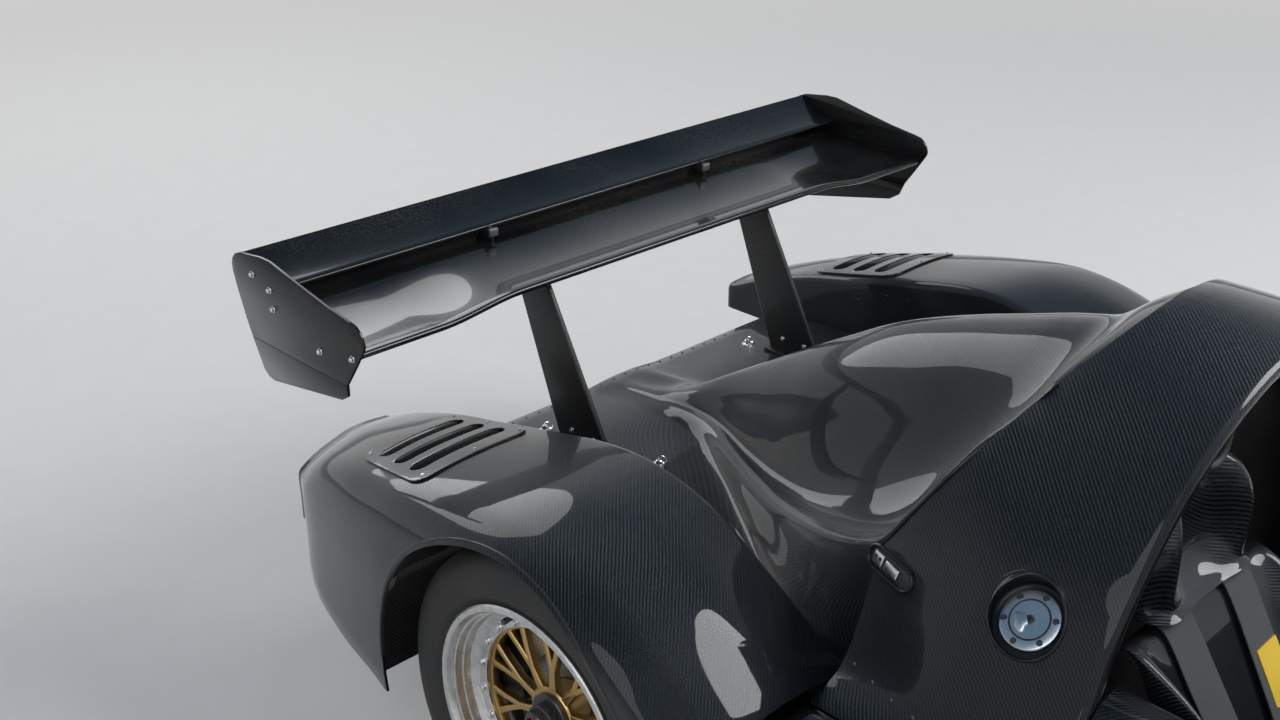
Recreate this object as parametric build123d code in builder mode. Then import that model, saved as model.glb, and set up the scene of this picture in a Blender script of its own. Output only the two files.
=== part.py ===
from build123d import *

# Open sports prototype race car, in millimetres. The front points to -Y, the car's left is +X and
# +Z is up. The origin is on the ground, below the middle of the car's outer box.
import os
from math import atan2, cos, radians, sin

os.makedirs("parts", exist_ok=True)

# Overall sizes
wheelbase = 2450.0
front_overhang = 884.0
rear_overhang = 796.0
body_half_width = 860.0
y_front_axle = (front_overhang - wheelbase - rear_overhang) / 2.0
y_rear_axle = y_front_axle + wheelbase
y_nose_tip = y_front_axle - front_overhang

# Clearances
seam = 0.6
seat_gap = 0.3
bearing_gap = 0.05

# Wheels
front_tyre_radius = 290.0
front_tyre_width = 220.0
rear_tyre_radius = 305.0
rear_tyre_width = 270.0
rim_lip_radius = 216.0
bead_radius = 203.0
rim_well_radius = 178.0
rim_wall = 7.0
rim_step = 52.0
tyre_wall = 13.0
wheel_inset = 58.0
spindle_radius = 26.0
hub_radius = 46.0
hub_depth = 60.0
spoke_count = 10
spoke_width = 13.0
spoke_depth = 18.0
disc_radius = 150.0
disc_width = 28.0
nut_radius = 31.0
nut_length = 42.0

# Body shell
body_wall = 6.0
ground_clearance = 60.0
floor_thickness = 12.0
floor_top = ground_clearance + floor_thickness
body_base = floor_top + seat_gap
fender_tyre_gap = 35.0
arch_gap = 30.0
crown_over_tyre = 76.0
fender_roof = 2.0 * rear_tyre_radius + crown_over_tyre
front_crown_over_tyre = 66.0
front_fender_roof = 2.0 * front_tyre_radius + front_crown_over_tyre
deck_height = 485.0
sill_height = 480.0
fender_front = 410.0
clam_front = y_rear_axle - fender_front
coaming_base = 600.0
cockpit_half_width = 440.0
hoop_rim = 800.0
hoop_top = 1018.0
y_hoop_rim = y_rear_axle - hoop_rim
cockpit_length = 900.0
y_cowl = y_hoop_rim - cockpit_length
front_arch_reach = 440.0
y_nose_joint = y_front_axle + front_arch_reach

# Places that follow from the sizes
rear_tyre_outer = body_half_width - wheel_inset
rear_tyre_inner = rear_tyre_outer - rear_tyre_width
rear_fender_inner = rear_tyre_inner - fender_tyre_gap
front_tyre_outer = body_half_width - wheel_inset - 22.0
front_tyre_inner = front_tyre_outer - front_tyre_width
steering_room = 100.0
front_fender_inner = front_tyre_inner - steering_room
rear_arch_radius = rear_tyre_radius + arch_gap
front_arch_radius = front_tyre_radius + arch_gap


def inset_line(points, wall):
    """The same line moved in by the wall, corner by corner, to the right of its direction."""
    moved = []
    last = len(points) - 1
    for i, (x, z) in enumerate(points):
        before = points[max(i - 1, 0)]
        after = points[min(i + 1, last)]
        in_angle = atan2(z - before[1], x - before[0])
        out_angle = atan2(after[1] - z, after[0] - x)
        if i == 0:
            in_angle = out_angle
        if i == last:
            out_angle = in_angle
        middle = atan2(sin(in_angle) + sin(out_angle), cos(in_angle) + cos(out_angle))
        reach = wall / abs(cos((out_angle - in_angle) / 2.0))
        moved.append((x + reach * sin(middle), z - reach * cos(middle)))
    return moved


def skin(ribs, wall):
    """A thin shell lofted along Y. Each rib is a place and its outer line, left to right over the top."""
    with BuildPart() as shell:
        for y, line in ribs:
            with BuildSketch(Plane.XZ.offset(-y)):
                with BuildLine():
                    Polyline(*line, *reversed(inset_line(line, wall)), close=True)
                make_face()
        loft(ruled=True)
    return shell.part


def filled(ribs):
    """The full volume that a skin's outer lines enclose."""
    with BuildPart() as volume:
        for y, line in ribs:
            with BuildSketch(Plane.XZ.offset(-y)):
                with BuildLine():
                    Polyline(*line, close=True)
                make_face()
        loft(ruled=True)
    return volume.part


def both_halves(half_line):
    """Mirrors a half line, given from the middle outwards, into a whole one from left to right."""
    return [(-x, z) for x, z in reversed(half_line[1:])] + half_line


def mirrored(part):
    """The same piece on the other side of the car."""
    return mirror(part, about=Plane.YZ, mode=Mode.PRIVATE)


def finish(part, name):
    """Names a piece and writes its file."""
    part.label = name
    export_step(part, f"parts/{name}.step")
    return part


# Floor: flat plate with a front splitter, a diffuser that rises behind it, and its fences
splitter_half_width = body_half_width - 25.0
splitter_sweep = 90.0
floor_waist = 440.0
diffuser_half_width = 430.0
diffuser_start = y_rear_axle - 150.0
diffuser_length = 640.0
diffuser_rise = 170.0
fence_thickness = 5.0
fence_height = 90.0
splitter_back = y_front_axle - front_tyre_radius - 60.0
side_floor_front = y_front_axle + front_arch_reach
side_floor_back = y_rear_axle - rear_arch_radius - 5.0
side_floor_half_width = splitter_half_width
with BuildPart() as floor:
    with BuildSketch(Plane.XY.offset(ground_clearance)):
        with BuildLine():
            Polyline(
                (splitter_half_width, y_nose_tip + splitter_sweep),
                (splitter_half_width, splitter_back),
                (floor_waist, splitter_back),
                (floor_waist, side_floor_front),
                (side_floor_half_width, side_floor_front),
                (side_floor_half_width, side_floor_back),
                (floor_waist, side_floor_back),
                (floor_waist, diffuser_start),
                (-floor_waist, diffuser_start),
                (-floor_waist, side_floor_back),
                (-side_floor_half_width, side_floor_back),
                (-side_floor_half_width, side_floor_front),
                (-floor_waist, side_floor_front),
                (-floor_waist, splitter_back),
                (-splitter_half_width, splitter_back),
                (-splitter_half_width, y_nose_tip + splitter_sweep),
            )
            ThreePointArc(
                (-splitter_half_width, y_nose_tip + splitter_sweep),
                (0, y_nose_tip),
                (splitter_half_width, y_nose_tip + splitter_sweep),
            )
        make_face()
    extrude(amount=floor_thickness)
    with BuildSketch(Plane.YZ.offset(-diffuser_half_width)):
        with BuildLine():
            Polyline(
                (diffuser_start, ground_clearance),
                (diffuser_start + diffuser_length, ground_clearance + diffuser_rise),
                (diffuser_start + diffuser_length, ground_clearance + diffuser_rise + floor_thickness),
                (diffuser_start, floor_top),
                close=True,
            )
        make_face()
    extrude(amount=2.0 * diffuser_half_width)
    for fence_place in (-1.0, -0.34, 0.34, 1.0):
        fence_x = fence_place * (diffuser_half_width - fence_thickness)
        with BuildSketch(Plane.YZ.offset(fence_x)):
            with BuildLine():
                Polyline(
                    (diffuser_start + 60.0, ground_clearance + 1.0),
                    (diffuser_start + diffuser_length, ground_clearance + diffuser_rise + 1.0),
                    (diffuser_start + diffuser_length, ground_clearance + diffuser_rise - fence_height),
                    (diffuser_start + 0.5 * diffuser_length, ground_clearance),
                    close=True,
                )
            make_face()
        extrude(amount=fence_thickness, both=True)
finish(floor.part, "floor")

# Tub: the open box that holds the cockpit, with a narrow foot well in front
tub_wall = 40.0
tub_floor = 20.0
tub_height = 559.7
foot_well_half_width = 300.0
foot_well_height = 360.0
foot_well_front = y_front_axle - 200.0
foot_well_back = y_front_axle + 425.0
firewall_place = 620.0
y_firewall = y_rear_axle - firewall_place
tub_outer = cockpit_half_width + tub_wall
with BuildPart() as tub:
    with BuildSketch(Plane.XY.offset(body_base)):
        with Locations((0, (foot_well_back + y_firewall) / 2.0)):
            Rectangle(2.0 * tub_outer, y_firewall - foot_well_back)
    extrude(amount=tub_height - body_base)
    with BuildSketch(Plane.XY.offset(body_base)):
        with Locations((0, (foot_well_front + foot_well_back) / 2.0)):
            Rectangle(2.0 * foot_well_half_width, foot_well_back - foot_well_front)
    extrude(amount=foot_well_height - body_base)
    with BuildSketch(Plane.XY.offset(foot_well_height)):
        with Locations((0, (foot_well_back + y_cowl) / 2.0 - 5.0)):
            Rectangle(2.0 * tub_outer + 10.0, y_cowl - foot_well_back + 10.0)
    extrude(amount=tub_height, mode=Mode.SUBTRACT)
    with BuildSketch(Plane.XY.offset(body_base + tub_floor)):
        with Locations((0, (foot_well_back + y_firewall) / 2.0)):
            Rectangle(2.0 * cockpit_half_width, y_firewall - foot_well_back - 2.0 * tub_wall)
        with Locations((0, (foot_well_front + foot_well_back) / 2.0 + tub_wall)):
            Rectangle(2.0 * (foot_well_half_width - tub_wall), foot_well_back - foot_well_front)
    extrude(amount=tub_height, mode=Mode.SUBTRACT)
finish(tub.part, "tub")

# Firewall: upright panel that closes the hoop fairing behind the seat
firewall_thickness = 12.0
firewall_columns = [
    # half width, height
    (430.0, tub_height + seat_gap),
    (430.0, 690.0),
    (380.0, 790.0),
    (285.0, 880.0),
    (140.0, 950.0),
    (0.0, 975.0),
]
with BuildPart() as firewall:
    with BuildSketch(Plane.XZ.offset(-(y_firewall - tub_wall))):
        with BuildLine():
            Polyline(*both_halves(list(reversed(firewall_columns))), close=True)
        make_face()
    extrude(amount=-firewall_thickness)
finish(firewall.part, "firewall")

# Hoop fairing: the tall arch round the back of the cockpit, with its flank down to the sill
rim_roll = 34.0
rim_roll_depth = 46.0
clam_ahead = fender_front + seam
hoop_ribs = [
    # in front of the rear axle, then half width and height from the top down to the sill
    (hoop_rim, [(0, -18), (150, -40), (300, -113), (400, -203), (465, -288), (507, -378), (560, -478)]),
    (600.0, [(0, 0), (150, -30), (300, -106), (400, -190), (465, -270), (510, -368), (562, -473)]),
    (clam_ahead, [(0, 0), (150, -30), (300, -106), (392, -190), (447, -318), (482, -418), (528, -508)]),
]
hoop_lines = [
    (
        y_rear_axle - ahead,
        both_halves([(x, hoop_top + drop) for x, drop in line] + [(coaming_base, sill_height - 2.0)]),
    )
    for ahead, line in hoop_ribs
]
slope_foot = (clam_front - seam, 680.0)
slope_head = (y_rear_axle - 620.0, hoop_top + 22.0)
slope_far = (2.0 * slope_head[0] - slope_foot[0], 2.0 * slope_head[1] - slope_foot[1])
cut_reach = 900.0
hoop_shell = skin(hoop_lines, body_wall)


def flank_points(ahead):
    """Ends of the flat stretch of the fairing's flank at a place ahead of the rear axle."""
    for (far, far_line), (near, near_line) in zip(hoop_ribs, hoop_ribs[1:]):
        if near <= ahead <= far:
            share = (far - ahead) / (far - near)
            return [
                (a[0] + share * (b[0] - a[0]), hoop_top + a[1] + share * (b[1] - a[1]))
                for a, b in list(zip(far_line, near_line))[4:6]
            ]
    return []


# The fuel cap lies at the bottom of a round bowl, and both face further up than the flank
cap_radius = 44.0
cap_sink = 10.0
cap_stand = 6.0
cap_neck_radius = 30.0
cap_neck_length = 12.0
cap_ahead = 675.0
cap_depth = 24.0
cap_tilt = 22.0
bowl_radius = cap_radius + 10.0
bowl_wall = 4.0
bowl_reach = 90.0
cap_upper, cap_lower = flank_points(cap_ahead)
flank_lean = atan2(cap_lower[0] - cap_upper[0], cap_upper[1] - cap_lower[1])
cap_lean = flank_lean + radians(cap_tilt)
cap_plane = Plane(
    origin=(
        -(cap_upper[0] + cap_lower[0]) / 2.0 + cap_depth * cos(flank_lean),
        y_rear_axle - cap_ahead,
        (cap_upper[1] + cap_lower[1]) / 2.0 - cap_depth * sin(flank_lean),
    ),
    x_dir=(0, 1, 0),
    z_dir=(-cos(cap_lean), 0, sin(cap_lean)),
)
hoop_volume = filled(hoop_lines)
with BuildPart() as cap_bowl:
    add(hoop_volume)
    with BuildSketch(cap_plane.offset(-bowl_wall)):
        Circle(bowl_radius + bowl_wall)
        Circle(cap_radius + seam, mode=Mode.SUBTRACT)
    extrude(amount=bowl_reach, mode=Mode.INTERSECT)
    with BuildSketch(cap_plane):
        Circle(bowl_radius)
    extrude(amount=bowl_reach, mode=Mode.SUBTRACT)
roll_line = hoop_lines[0][1][1:-1]
with BuildPart() as hoop_fairing:
    add(hoop_shell)
    with BuildSketch(Plane.XZ.offset(-y_hoop_rim)):
        with BuildLine():
            Polyline(*roll_line, *reversed(inset_line(roll_line, rim_roll)), close=True)
        make_face()
    extrude(amount=-rim_roll_depth)
    with BuildSketch(Plane.YZ.offset(-body_half_width)):
        with BuildLine():
            Polyline(
                slope_foot,
                slope_far,
                (slope_foot[0] + cut_reach, slope_far[1]),
                (slope_foot[0] + cut_reach, slope_foot[1]),
                close=True,
            )
        make_face()
    extrude(amount=2.0 * body_half_width, mode=Mode.SUBTRACT)
    with BuildSketch(cap_plane):
        Circle(bowl_radius)
    extrude(amount=bowl_reach, mode=Mode.SUBTRACT)
    add(cap_bowl.part)
finish(hoop_fairing.part, "hoop_fairing")

# Fuel cap: round flange with its filler neck behind it
with BuildPart() as fuel_cap:
    with BuildSketch(cap_plane.offset(-cap_sink)):
        Circle(cap_radius)
    extrude(amount=cap_sink + cap_stand)
    with BuildSketch(cap_plane.offset(-cap_sink)):
        Circle(cap_neck_radius)
    extrude(amount=-cap_neck_length)
    with BuildSketch(cap_plane.offset(cap_stand)):
        Circle(cap_radius - 14.0)
    extrude(amount=-3.0, mode=Mode.SUBTRACT)
finish(fuel_cap.part, "fuel_cap")

# Latches: one each side, on the fairing next to the joint with the rear clam
latch_front = 500.0
latch_back = 424.0
latch_stand = 7.0
latch_high = 0.22
latch_low = 0.5
latch_lines = []
for ahead in (latch_front, latch_back):
    upper, lower = flank_points(ahead)
    ends = [
        (upper[0] + share * (lower[0] - upper[0]), upper[1] + share * (lower[1] - upper[1]))
        for share in (latch_high, latch_low)
    ]
    latch_lines.append((y_rear_axle - ahead, inset_line(ends, -seat_gap - latch_stand)))
latch_shell = skin(latch_lines, latch_stand)
with BuildPart() as latches:
    add(latch_shell)
    mirror(about=Plane.YZ)
finish(latches.part, "latches")

# Rear clam: the deck between the rear fenders and the engine cover that grows out of it
clam_edge = rear_fender_inner - seam
clam_ribs = [
    # behind the rear axle, then half width and height over the deck from the spine outwards
    (-600.0, [(0, 527), (150, 495), (300, 420), (400, 335), (465, 255), (485, 35)]),
    (-560.0, [(0, 497), (130, 477), (262, 447), (335, 375), (420, 280), (486, 35)]),
    (-530.0, [(0, 470), (120, 442), (232, 407), (336, 394), (420, 275), (486, 35)]),
    (-500.0, [(0, 450), (120, 415), (220, 358), (320, 341), (402, 339), (487, 35)]),
    (-460.0, [(0, 438), (120, 397), (220, 305), (328, 255), (431, 268), (487, 32)]),
    (-420.0, [(0, 427), (120, 383), (220, 260), (335, 183), (445, 205), (487, 30)]),
    (-340.0, [(0, 407), (120, 360), (220, 215), (330, 143), (425, 170), (478, 25)]),
    (-230.0, [(0, 372), (120, 320), (200, 180), (290, 100), (385, 130), (440, 10)]),
    (-100.0, [(0, 323), (110, 270), (175, 135), (235, 55), (303, 80), (350, 3)]),
    (10.0, [(0, 263), (90, 215), (145, 105), (185, 38), (232, 57), (262, 2)]),
    (120.0, [(0, 198), (70, 155), (110, 75), (145, 23), (180, 43), (214, 2)]),
    (290.0, [(0, 93), (30, 75), (45, 45), (55, 15), (68, 12), (110, 0)]),
    (440.0, [(0, 9), (20, 8.6), (30, 7.8), (45, 5.8), (60, 3), (110, 0)]),
    (600.0, [(0, -9), (20, -9.2), (30, -9.6), (45, -10.4), (60, -11.6), (110, -16)]),
]
clam_lines = []
for behind, line in clam_ribs:
    raised = [(x, deck_height + up) for x, up in line]
    edge_height = deck_height + min(line[-1][1], 0)
    clam_lines.append((y_rear_axle + behind, both_halves(raised + [(clam_edge, edge_height)])))
clam_shell = skin(clam_lines, body_wall)
with BuildPart() as rear_clam:
    add(clam_shell)
    with BuildSketch(Plane.YZ.offset(-body_half_width)):
        with BuildLine():
            Polyline(
                (slope_foot[0] + seam, slope_foot[1]),
                (slope_far[0] + seam, slope_far[1]),
                (slope_foot[0] - cut_reach, slope_far[1]),
                (slope_foot[0] - cut_reach, 0),
                (slope_foot[0] + seam, 0),
                close=True,
            )
        make_face()
    extrude(amount=2.0 * body_half_width, mode=Mode.SUBTRACT)
finish(rear_clam.part, "rear_clam")


def fender_line(inner, outer, low_in, crease, crown, low_out):
    """Outline of a fender from its inner foot over the crown to the foot of its outer skin."""
    shoulder = crown - 26.0
    side = shoulder - low_out
    return [
        (inner, low_in),
        (inner, crease - 14.0),
        (inner + 12.0, crease),
        ((inner + outer) / 2.0 - 20.0, crown),
        (outer - 85.0, crown - 11.0),
        (outer - 42.0, shoulder),
        (outer - 14.0, shoulder - 0.07 * side),
        (outer, shoulder - 0.22 * side),
        (outer, low_out),
    ]


def liner_sheet(axle, inner, height, radius, ends, lines):
    """Round liner over a wheel, as wide as the fender, down to one height ahead and one behind."""
    feet = [
        (y, [(line[0][0], ground_clearance)] + line + [(line[-1][0], ground_clearance)])
        for y, line in lines
    ]
    volume = filled(feet)
    with BuildPart() as liner:
        add(volume)
        with BuildSketch(Plane.YZ.offset(inner)):
            with Locations((axle, height)):
                Circle(radius + liner_wall)
                Circle(radius, mode=Mode.SUBTRACT)
            for way, low in zip((-1.0, 1.0), ends):
                with Locations((axle + way * radius, low - radius)):
                    Rectangle(2.0 * radius, 2.0 * radius, mode=Mode.SUBTRACT)
        extrude(amount=body_half_width - inner, mode=Mode.INTERSECT)
    return liner.part


def fender(axle, roof, inner, wheel_radius, arch_radius, liner_radius, liner_ends, ribs):
    """Shell of a left fender with its wheel arch cut through the outer skin and a liner over the wheel."""
    lines = []
    for behind, crown, crease, tuck, low_in, low_out in ribs:
        outer = body_half_width - tuck
        lines.append((axle + behind, fender_line(inner, outer, low_in, roof - crease, roof - crown, low_out)))
    shell = skin(lines, body_wall)
    liner = liner_sheet(axle, inner, wheel_radius, liner_radius, liner_ends, lines)
    with BuildPart() as left:
        add(shell)
        with BuildSketch(Plane.YZ.offset(inner + 150.0)):
            with Locations((axle, wheel_radius)):
                Circle(arch_radius)
        extrude(amount=body_half_width, mode=Mode.SUBTRACT)
        add(liner)
    return left.part


liner_wall = 4.0
steering_gap = 15.0
fender_foot = 440.0
rear_fender_ribs = [
    # behind the axle, crown and crease below the roof, tuck of the outer skin, inner and outer foot
    (-fender_front, 182, 200, 4, fender_foot, fender_foot),
    (-310.0, 103, 146, 0, fender_foot, fender_foot),
    (-240.0, 59, 102, 0, fender_foot, fender_foot),
    (-120.0, 15, 36, 0, fender_foot, fender_foot),
    (0.0, 0, 8, 0, fender_foot, fender_foot),
    (120.0, 14, 13, 4, fender_foot, fender_foot),
    (285.0, 46, 49, 15, fender_foot, 235),
    (520.0, 99, 104, 60, fender_foot, 238),
    (650.0, 143, 148, 95, fender_foot, 265),
    (750.0, 190, 194, 150, fender_foot, 370),
]
rear_fender_left = fender(
    y_rear_axle, fender_roof, rear_fender_inner, rear_tyre_radius, rear_arch_radius,
    rear_arch_radius, (fender_foot, rear_tyre_radius), rear_fender_ribs,
)
finish(rear_fender_left, "rear_fender_left")
finish(mirrored(rear_fender_left), "rear_fender_right")

front_fender_ribs = [
    # behind the axle, crown and crease below the roof, tuck of the outer skin, inner and outer foot
    (-868.0, 496, 500, 95, 90, body_base),
    (-830.0, 430, 436, 60, 100, body_base),
    (-750.0, 316, 322, 25, 140, body_base),
    (-600.0, 206, 214, 8, 200, body_base),
    (-400.0, 96, 104, 0, 290, body_base),
    (-200.0, 22, 28, 0, 370, body_base),
    (0.0, 0, 4, 0, 400, 400),
    (200.0, 20, 22, 0, 400, 430),
    (330.0, 60, 62, 0, 410, 440),
    (front_arch_reach - seam, 130, 132, 0, 430, 438),
]
front_fender_left = fender(
    y_front_axle, front_fender_roof, front_fender_inner, front_tyre_radius, front_arch_radius,
    front_arch_radius + steering_gap, (front_tyre_radius, fender_foot - 10.0), front_fender_ribs,
)
finish(front_fender_left, "front_fender_left")
finish(mirrored(front_fender_left), "front_fender_right")

# Nose: low panel between the front fenders, and the cowl in front of the cockpit
nose_edge = front_fender_inner - seam
nose_ribs = [
    # behind the front axle, then half width and height from the middle outwards
    (-868.0, [(0, 118), (200, 115), (380, 105)], 98),
    (-830.0, [(0, 190), (200, 185), (380, 168)], 158),
    (-600.0, [(0, 292), (200, 284), (380, 262)], 250),
    (-300.0, [(0, 385), (200, 376), (380, 352)], 338),
    (0.0, [(0, 448), (200, 438), (380, 414)], 402),
    (y_nose_joint - y_front_axle - seam, [(0, 512), (200, 504), (380, 482)], 468),
]
nose_lines = [
    (y_front_axle + behind, both_halves(line + [(nose_edge, edge)])) for behind, line, edge in nose_ribs
]
nose_shell = skin(nose_lines, body_wall)
finish(nose_shell, "nose")

sill_foot = sill_height - 2.0
cowl_ribs = [
    (y_nose_joint, [(0, 513), (200, 505), (380, 483), (nose_edge, 469), (530, 452)], 436.0),
    (y_cowl, [(0, 585), (200, 577), (380, 562), (470, 545), (535, 520)], sill_foot),
]
cowl_lines = [(y, both_halves(line + [(coaming_base, foot)])) for y, line, foot in cowl_ribs]
cowl_shell = skin(cowl_lines, body_wall)
coaming_foot = tub_height + 2.3
coaming_ribs = [
    # place, then distance from the cockpit's side and height over the foot
    (y_cowl + seam, [(0, 0), (0, 8), (14, 15), (52, 8), (100, -27)]),
    (y_cowl + 300.0, [(0, 0), (0, 36), (14, 46), (56, 38), (112, -17)]),
    (y_hoop_rim - seam, [(0, 0), (0, 60), (14, 72), (62, 62), (122, -14)]),
]
coaming_lines = [
    (y, [(cockpit_half_width + x, coaming_foot + up) for x, up in line] + [(coaming_base, sill_foot)])
    for y, line in coaming_ribs
]
coaming_shell = skin(coaming_lines, body_wall)
finish(cowl_shell, "cowl")
with BuildPart() as coamings:
    add(coaming_shell)
    mirror(about=Plane.YZ)
finish(coamings.part, "coamings")

# Sidepods: closed boxes along the cockpit with a duct mouth behind each front wheel
sidepod_inner = coaming_base + seam
sidepod_front = y_front_axle + front_arch_reach
mouth_inner = 640.0
mouth_outer = 800.0
mouth_low = 170.0
mouth_high = 400.0
mouth_depth = 320.0
sidepod_ribs = [
    # place, top, tuck of the outer side
    (sidepod_front, 438.0, 30.0),
    (sidepod_front + 220.0, 462.0, 10.0),
    ((sidepod_front + clam_front) / 2.0, 478.0, 6.0),
    (clam_front - seam, sill_height, 2.0),
]
with BuildPart() as sidepod:
    for y, top, tuck in sidepod_ribs:
        outer = body_half_width - tuck
        with BuildSketch(Plane.XZ.offset(-y)):
            with BuildLine():
                Polyline(
                    (sidepod_inner, body_base),
                    (sidepod_inner, top),
                    (outer - 50.0, top - 6.0),
                    (outer - 12.0, top - 32.0),
                    (outer, top - 80.0),
                    (outer - 10.0, 220.0),
                    (outer - 55.0, body_base),
                    close=True,
                )
            make_face()
    loft(ruled=True)
    with BuildSketch(Plane.XZ.offset(-(clam_front - 2.0))):
        with BuildLine():
            Polyline(
                (sidepod_inner, body_base),
                (sidepod_inner, fender_foot - 2.0 * seam),
                (body_half_width - 6.0, fender_foot - 2.0 * seam),
                (body_half_width - 6.0, 300.0),
                (body_half_width - 12.0, 220.0),
                (body_half_width - 57.0, body_base),
                close=True,
            )
        make_face()
    extrude(amount=-110.0)
    with BuildSketch(Plane.YZ.offset(sidepod_inner - 10.0)):
        with Locations((y_rear_axle, rear_tyre_radius)):
            Circle(rear_arch_radius)
    extrude(amount=body_half_width, mode=Mode.SUBTRACT)
    with BuildSketch(Plane.XZ.offset(-(sidepod_front - 1.0))):
        with BuildLine():
            Polyline(
                (mouth_inner, mouth_low),
                (mouth_inner, mouth_high),
                (mouth_outer, mouth_high),
                (mouth_outer, mouth_low),
                close=True,
            )
        make_face()
    extrude(amount=-mouth_depth, mode=Mode.SUBTRACT)
finish(sidepod.part, "sidepod_left")
finish(mirrored(sidepod.part), "sidepod_right")

# Engine and gearbox: one plain block behind the tub that carries the rear suspension
engine_half_width = 225.0
engine_top = deck_height + 45.0
gearbox_half_width = 130.0
gearbox_top = 420.0
gearbox_back = y_rear_axle + 230.0
gearbox_lift = 60.0
engine_back = y_rear_axle - 120.0
drive_base = floor_top + 60.0
with BuildPart() as engine:
    with BuildSketch(Plane.XY.offset(drive_base)):
        with Locations((0, (y_firewall + seat_gap + engine_back) / 2.0)):
            Rectangle(2.0 * engine_half_width, engine_back - y_firewall - seat_gap)
    extrude(amount=engine_top - drive_base)
    with BuildSketch(Plane.XY.offset(drive_base + gearbox_lift)):
        with Locations((0, (engine_back + gearbox_back) / 2.0)):
            Rectangle(2.0 * gearbox_half_width, gearbox_back - engine_back)
    extrude(amount=gearbox_top - drive_base - gearbox_lift)
finish(engine.part, "engine_and_gearbox")

# Wing, seen from the side as places behind the rear axle and heights
wing_half_span = 775.0
endplate_thickness = 6.0
main_lead = (426.0, 832.0)
main_trail = (700.0, 850.0)
main_sag = 20.0
main_depth = 34.0
flap_lead = (667.0, 863.0)
flap_trail = (772.0, 905.0)
flap_depth = 12.0
tip_drop = 17.0
bend_outer = 600.0
bend_inner = 420.0


def blade(lead, trail, sag, depth, nose):
    """Side outline of a wing blade: hollow on top, full below, with a round leading edge."""
    chord = Vector(trail[0] - lead[0], trail[1] - lead[1])
    across = Vector(-chord.Y, chord.X).normalized()
    start = Vector(lead[0], lead[1])
    end = start + chord
    top_start = start + across * nose
    low_start = start - across * nose
    Line(end, end - across * 2.0)
    ThreePointArc(end - across * 2.0, start + chord * 0.42 - across * depth, low_start)
    ThreePointArc(low_start, start - chord.normalized() * nose, top_start)
    ThreePointArc(top_start, start + chord * 0.45 - across * sag, end)


main_stations = [(wing_half_span - seat_gap, 1), (bend_outer, 1), (bend_inner, 0)]
main_stations = [(-x, drop) for x, drop in main_stations] + list(reversed(main_stations))
with BuildPart() as main_plane:
    for x, drop in main_stations:
        with BuildSketch(Plane.YZ.offset(x)) as station:
            with BuildLine(Plane.YZ.offset(x)):
                blade(
                    (y_rear_axle + main_lead[0], main_lead[1] - tip_drop * drop),
                    (y_rear_axle + main_trail[0], main_trail[1]),
                    main_sag,
                    main_depth,
                    6.0,
                )
            make_face()
    loft(ruled=True)
finish(main_plane.part, "wing_main_plane")

# Flap: upper wing blade, with two small brackets that hold its front edge to the main plane
bracket_place = 300.0
bracket_width = 8.0
bracket_front = 618.0
bracket_back = 690.0
bracket_top = 18.0
bracket_slope = 4.0
bracket_sink = 5.5
bracket_nose_sink = 26.0
with BuildPart() as flap:
    with BuildSketch(Plane.YZ.offset(-wing_half_span + seat_gap)):
        with BuildLine(Plane.YZ.offset(-wing_half_span + seat_gap)):
            blade(
                (y_rear_axle + flap_lead[0], flap_lead[1]),
                (y_rear_axle + flap_trail[0], flap_trail[1]),
                5.0,
                flap_depth,
                3.5,
            )
        make_face()
    extrude(amount=2.0 * (wing_half_span - seat_gap))
    for side in (-1.0, 1.0):
        with BuildSketch(Plane.YZ.offset(side * bracket_place)):
            with BuildLine():
                Polyline(
                    (y_rear_axle + bracket_back, main_trail[1] + bracket_top),
                    (y_rear_axle + bracket_front, main_trail[1] + bracket_top - bracket_slope),
                    (y_rear_axle + bracket_front, main_trail[1] - bracket_nose_sink),
                    (y_rear_axle + bracket_back, main_trail[1] - bracket_sink),
                    close=True,
                )
            make_face()
        extrude(amount=bracket_width / 2.0, both=True)
    add(main_plane.part, mode=Mode.SUBTRACT)
finish(flap.part, "wing_flap")

# Endplates: upright plates at the wing tips whose lower part leans inwards from a bend
bend_height = 752.0
lean = 12.0
endplate_points = [
    (459, 752), (426, 799), (404, 832), (403, 850), (423, 872), (505, 884), (584, 899), (671, 917),
    (764, 909), (792, 893), (796, 870), (783, 830), (764, 782), (750, 752),
]
lower_points = [(459, 2), (467, -25), (490, -40), (608, -63), (721, -86), (745, -70), (750, 2)]
lean_plane = Plane(
    origin=(wing_half_span, 0, bend_height),
    x_dir=(0, 1, 0),
    z_dir=(cos(radians(lean)), 0, -sin(radians(lean))),
)
with BuildPart() as endplates:
    with BuildSketch(Plane.YZ.offset(wing_half_span)):
        with BuildLine():
            Polyline(*[(y_rear_axle + y, z) for y, z in endplate_points], close=True)
        make_face()
    extrude(amount=endplate_thickness)
    with BuildSketch(lean_plane):
        with BuildLine():
            Polyline(*[(y_rear_axle + y, z) for y, z in lower_points], close=True)
        make_face()
    extrude(amount=endplate_thickness)
    mirror(about=Plane.YZ)
finish(endplates.part, "endplates")

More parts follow.
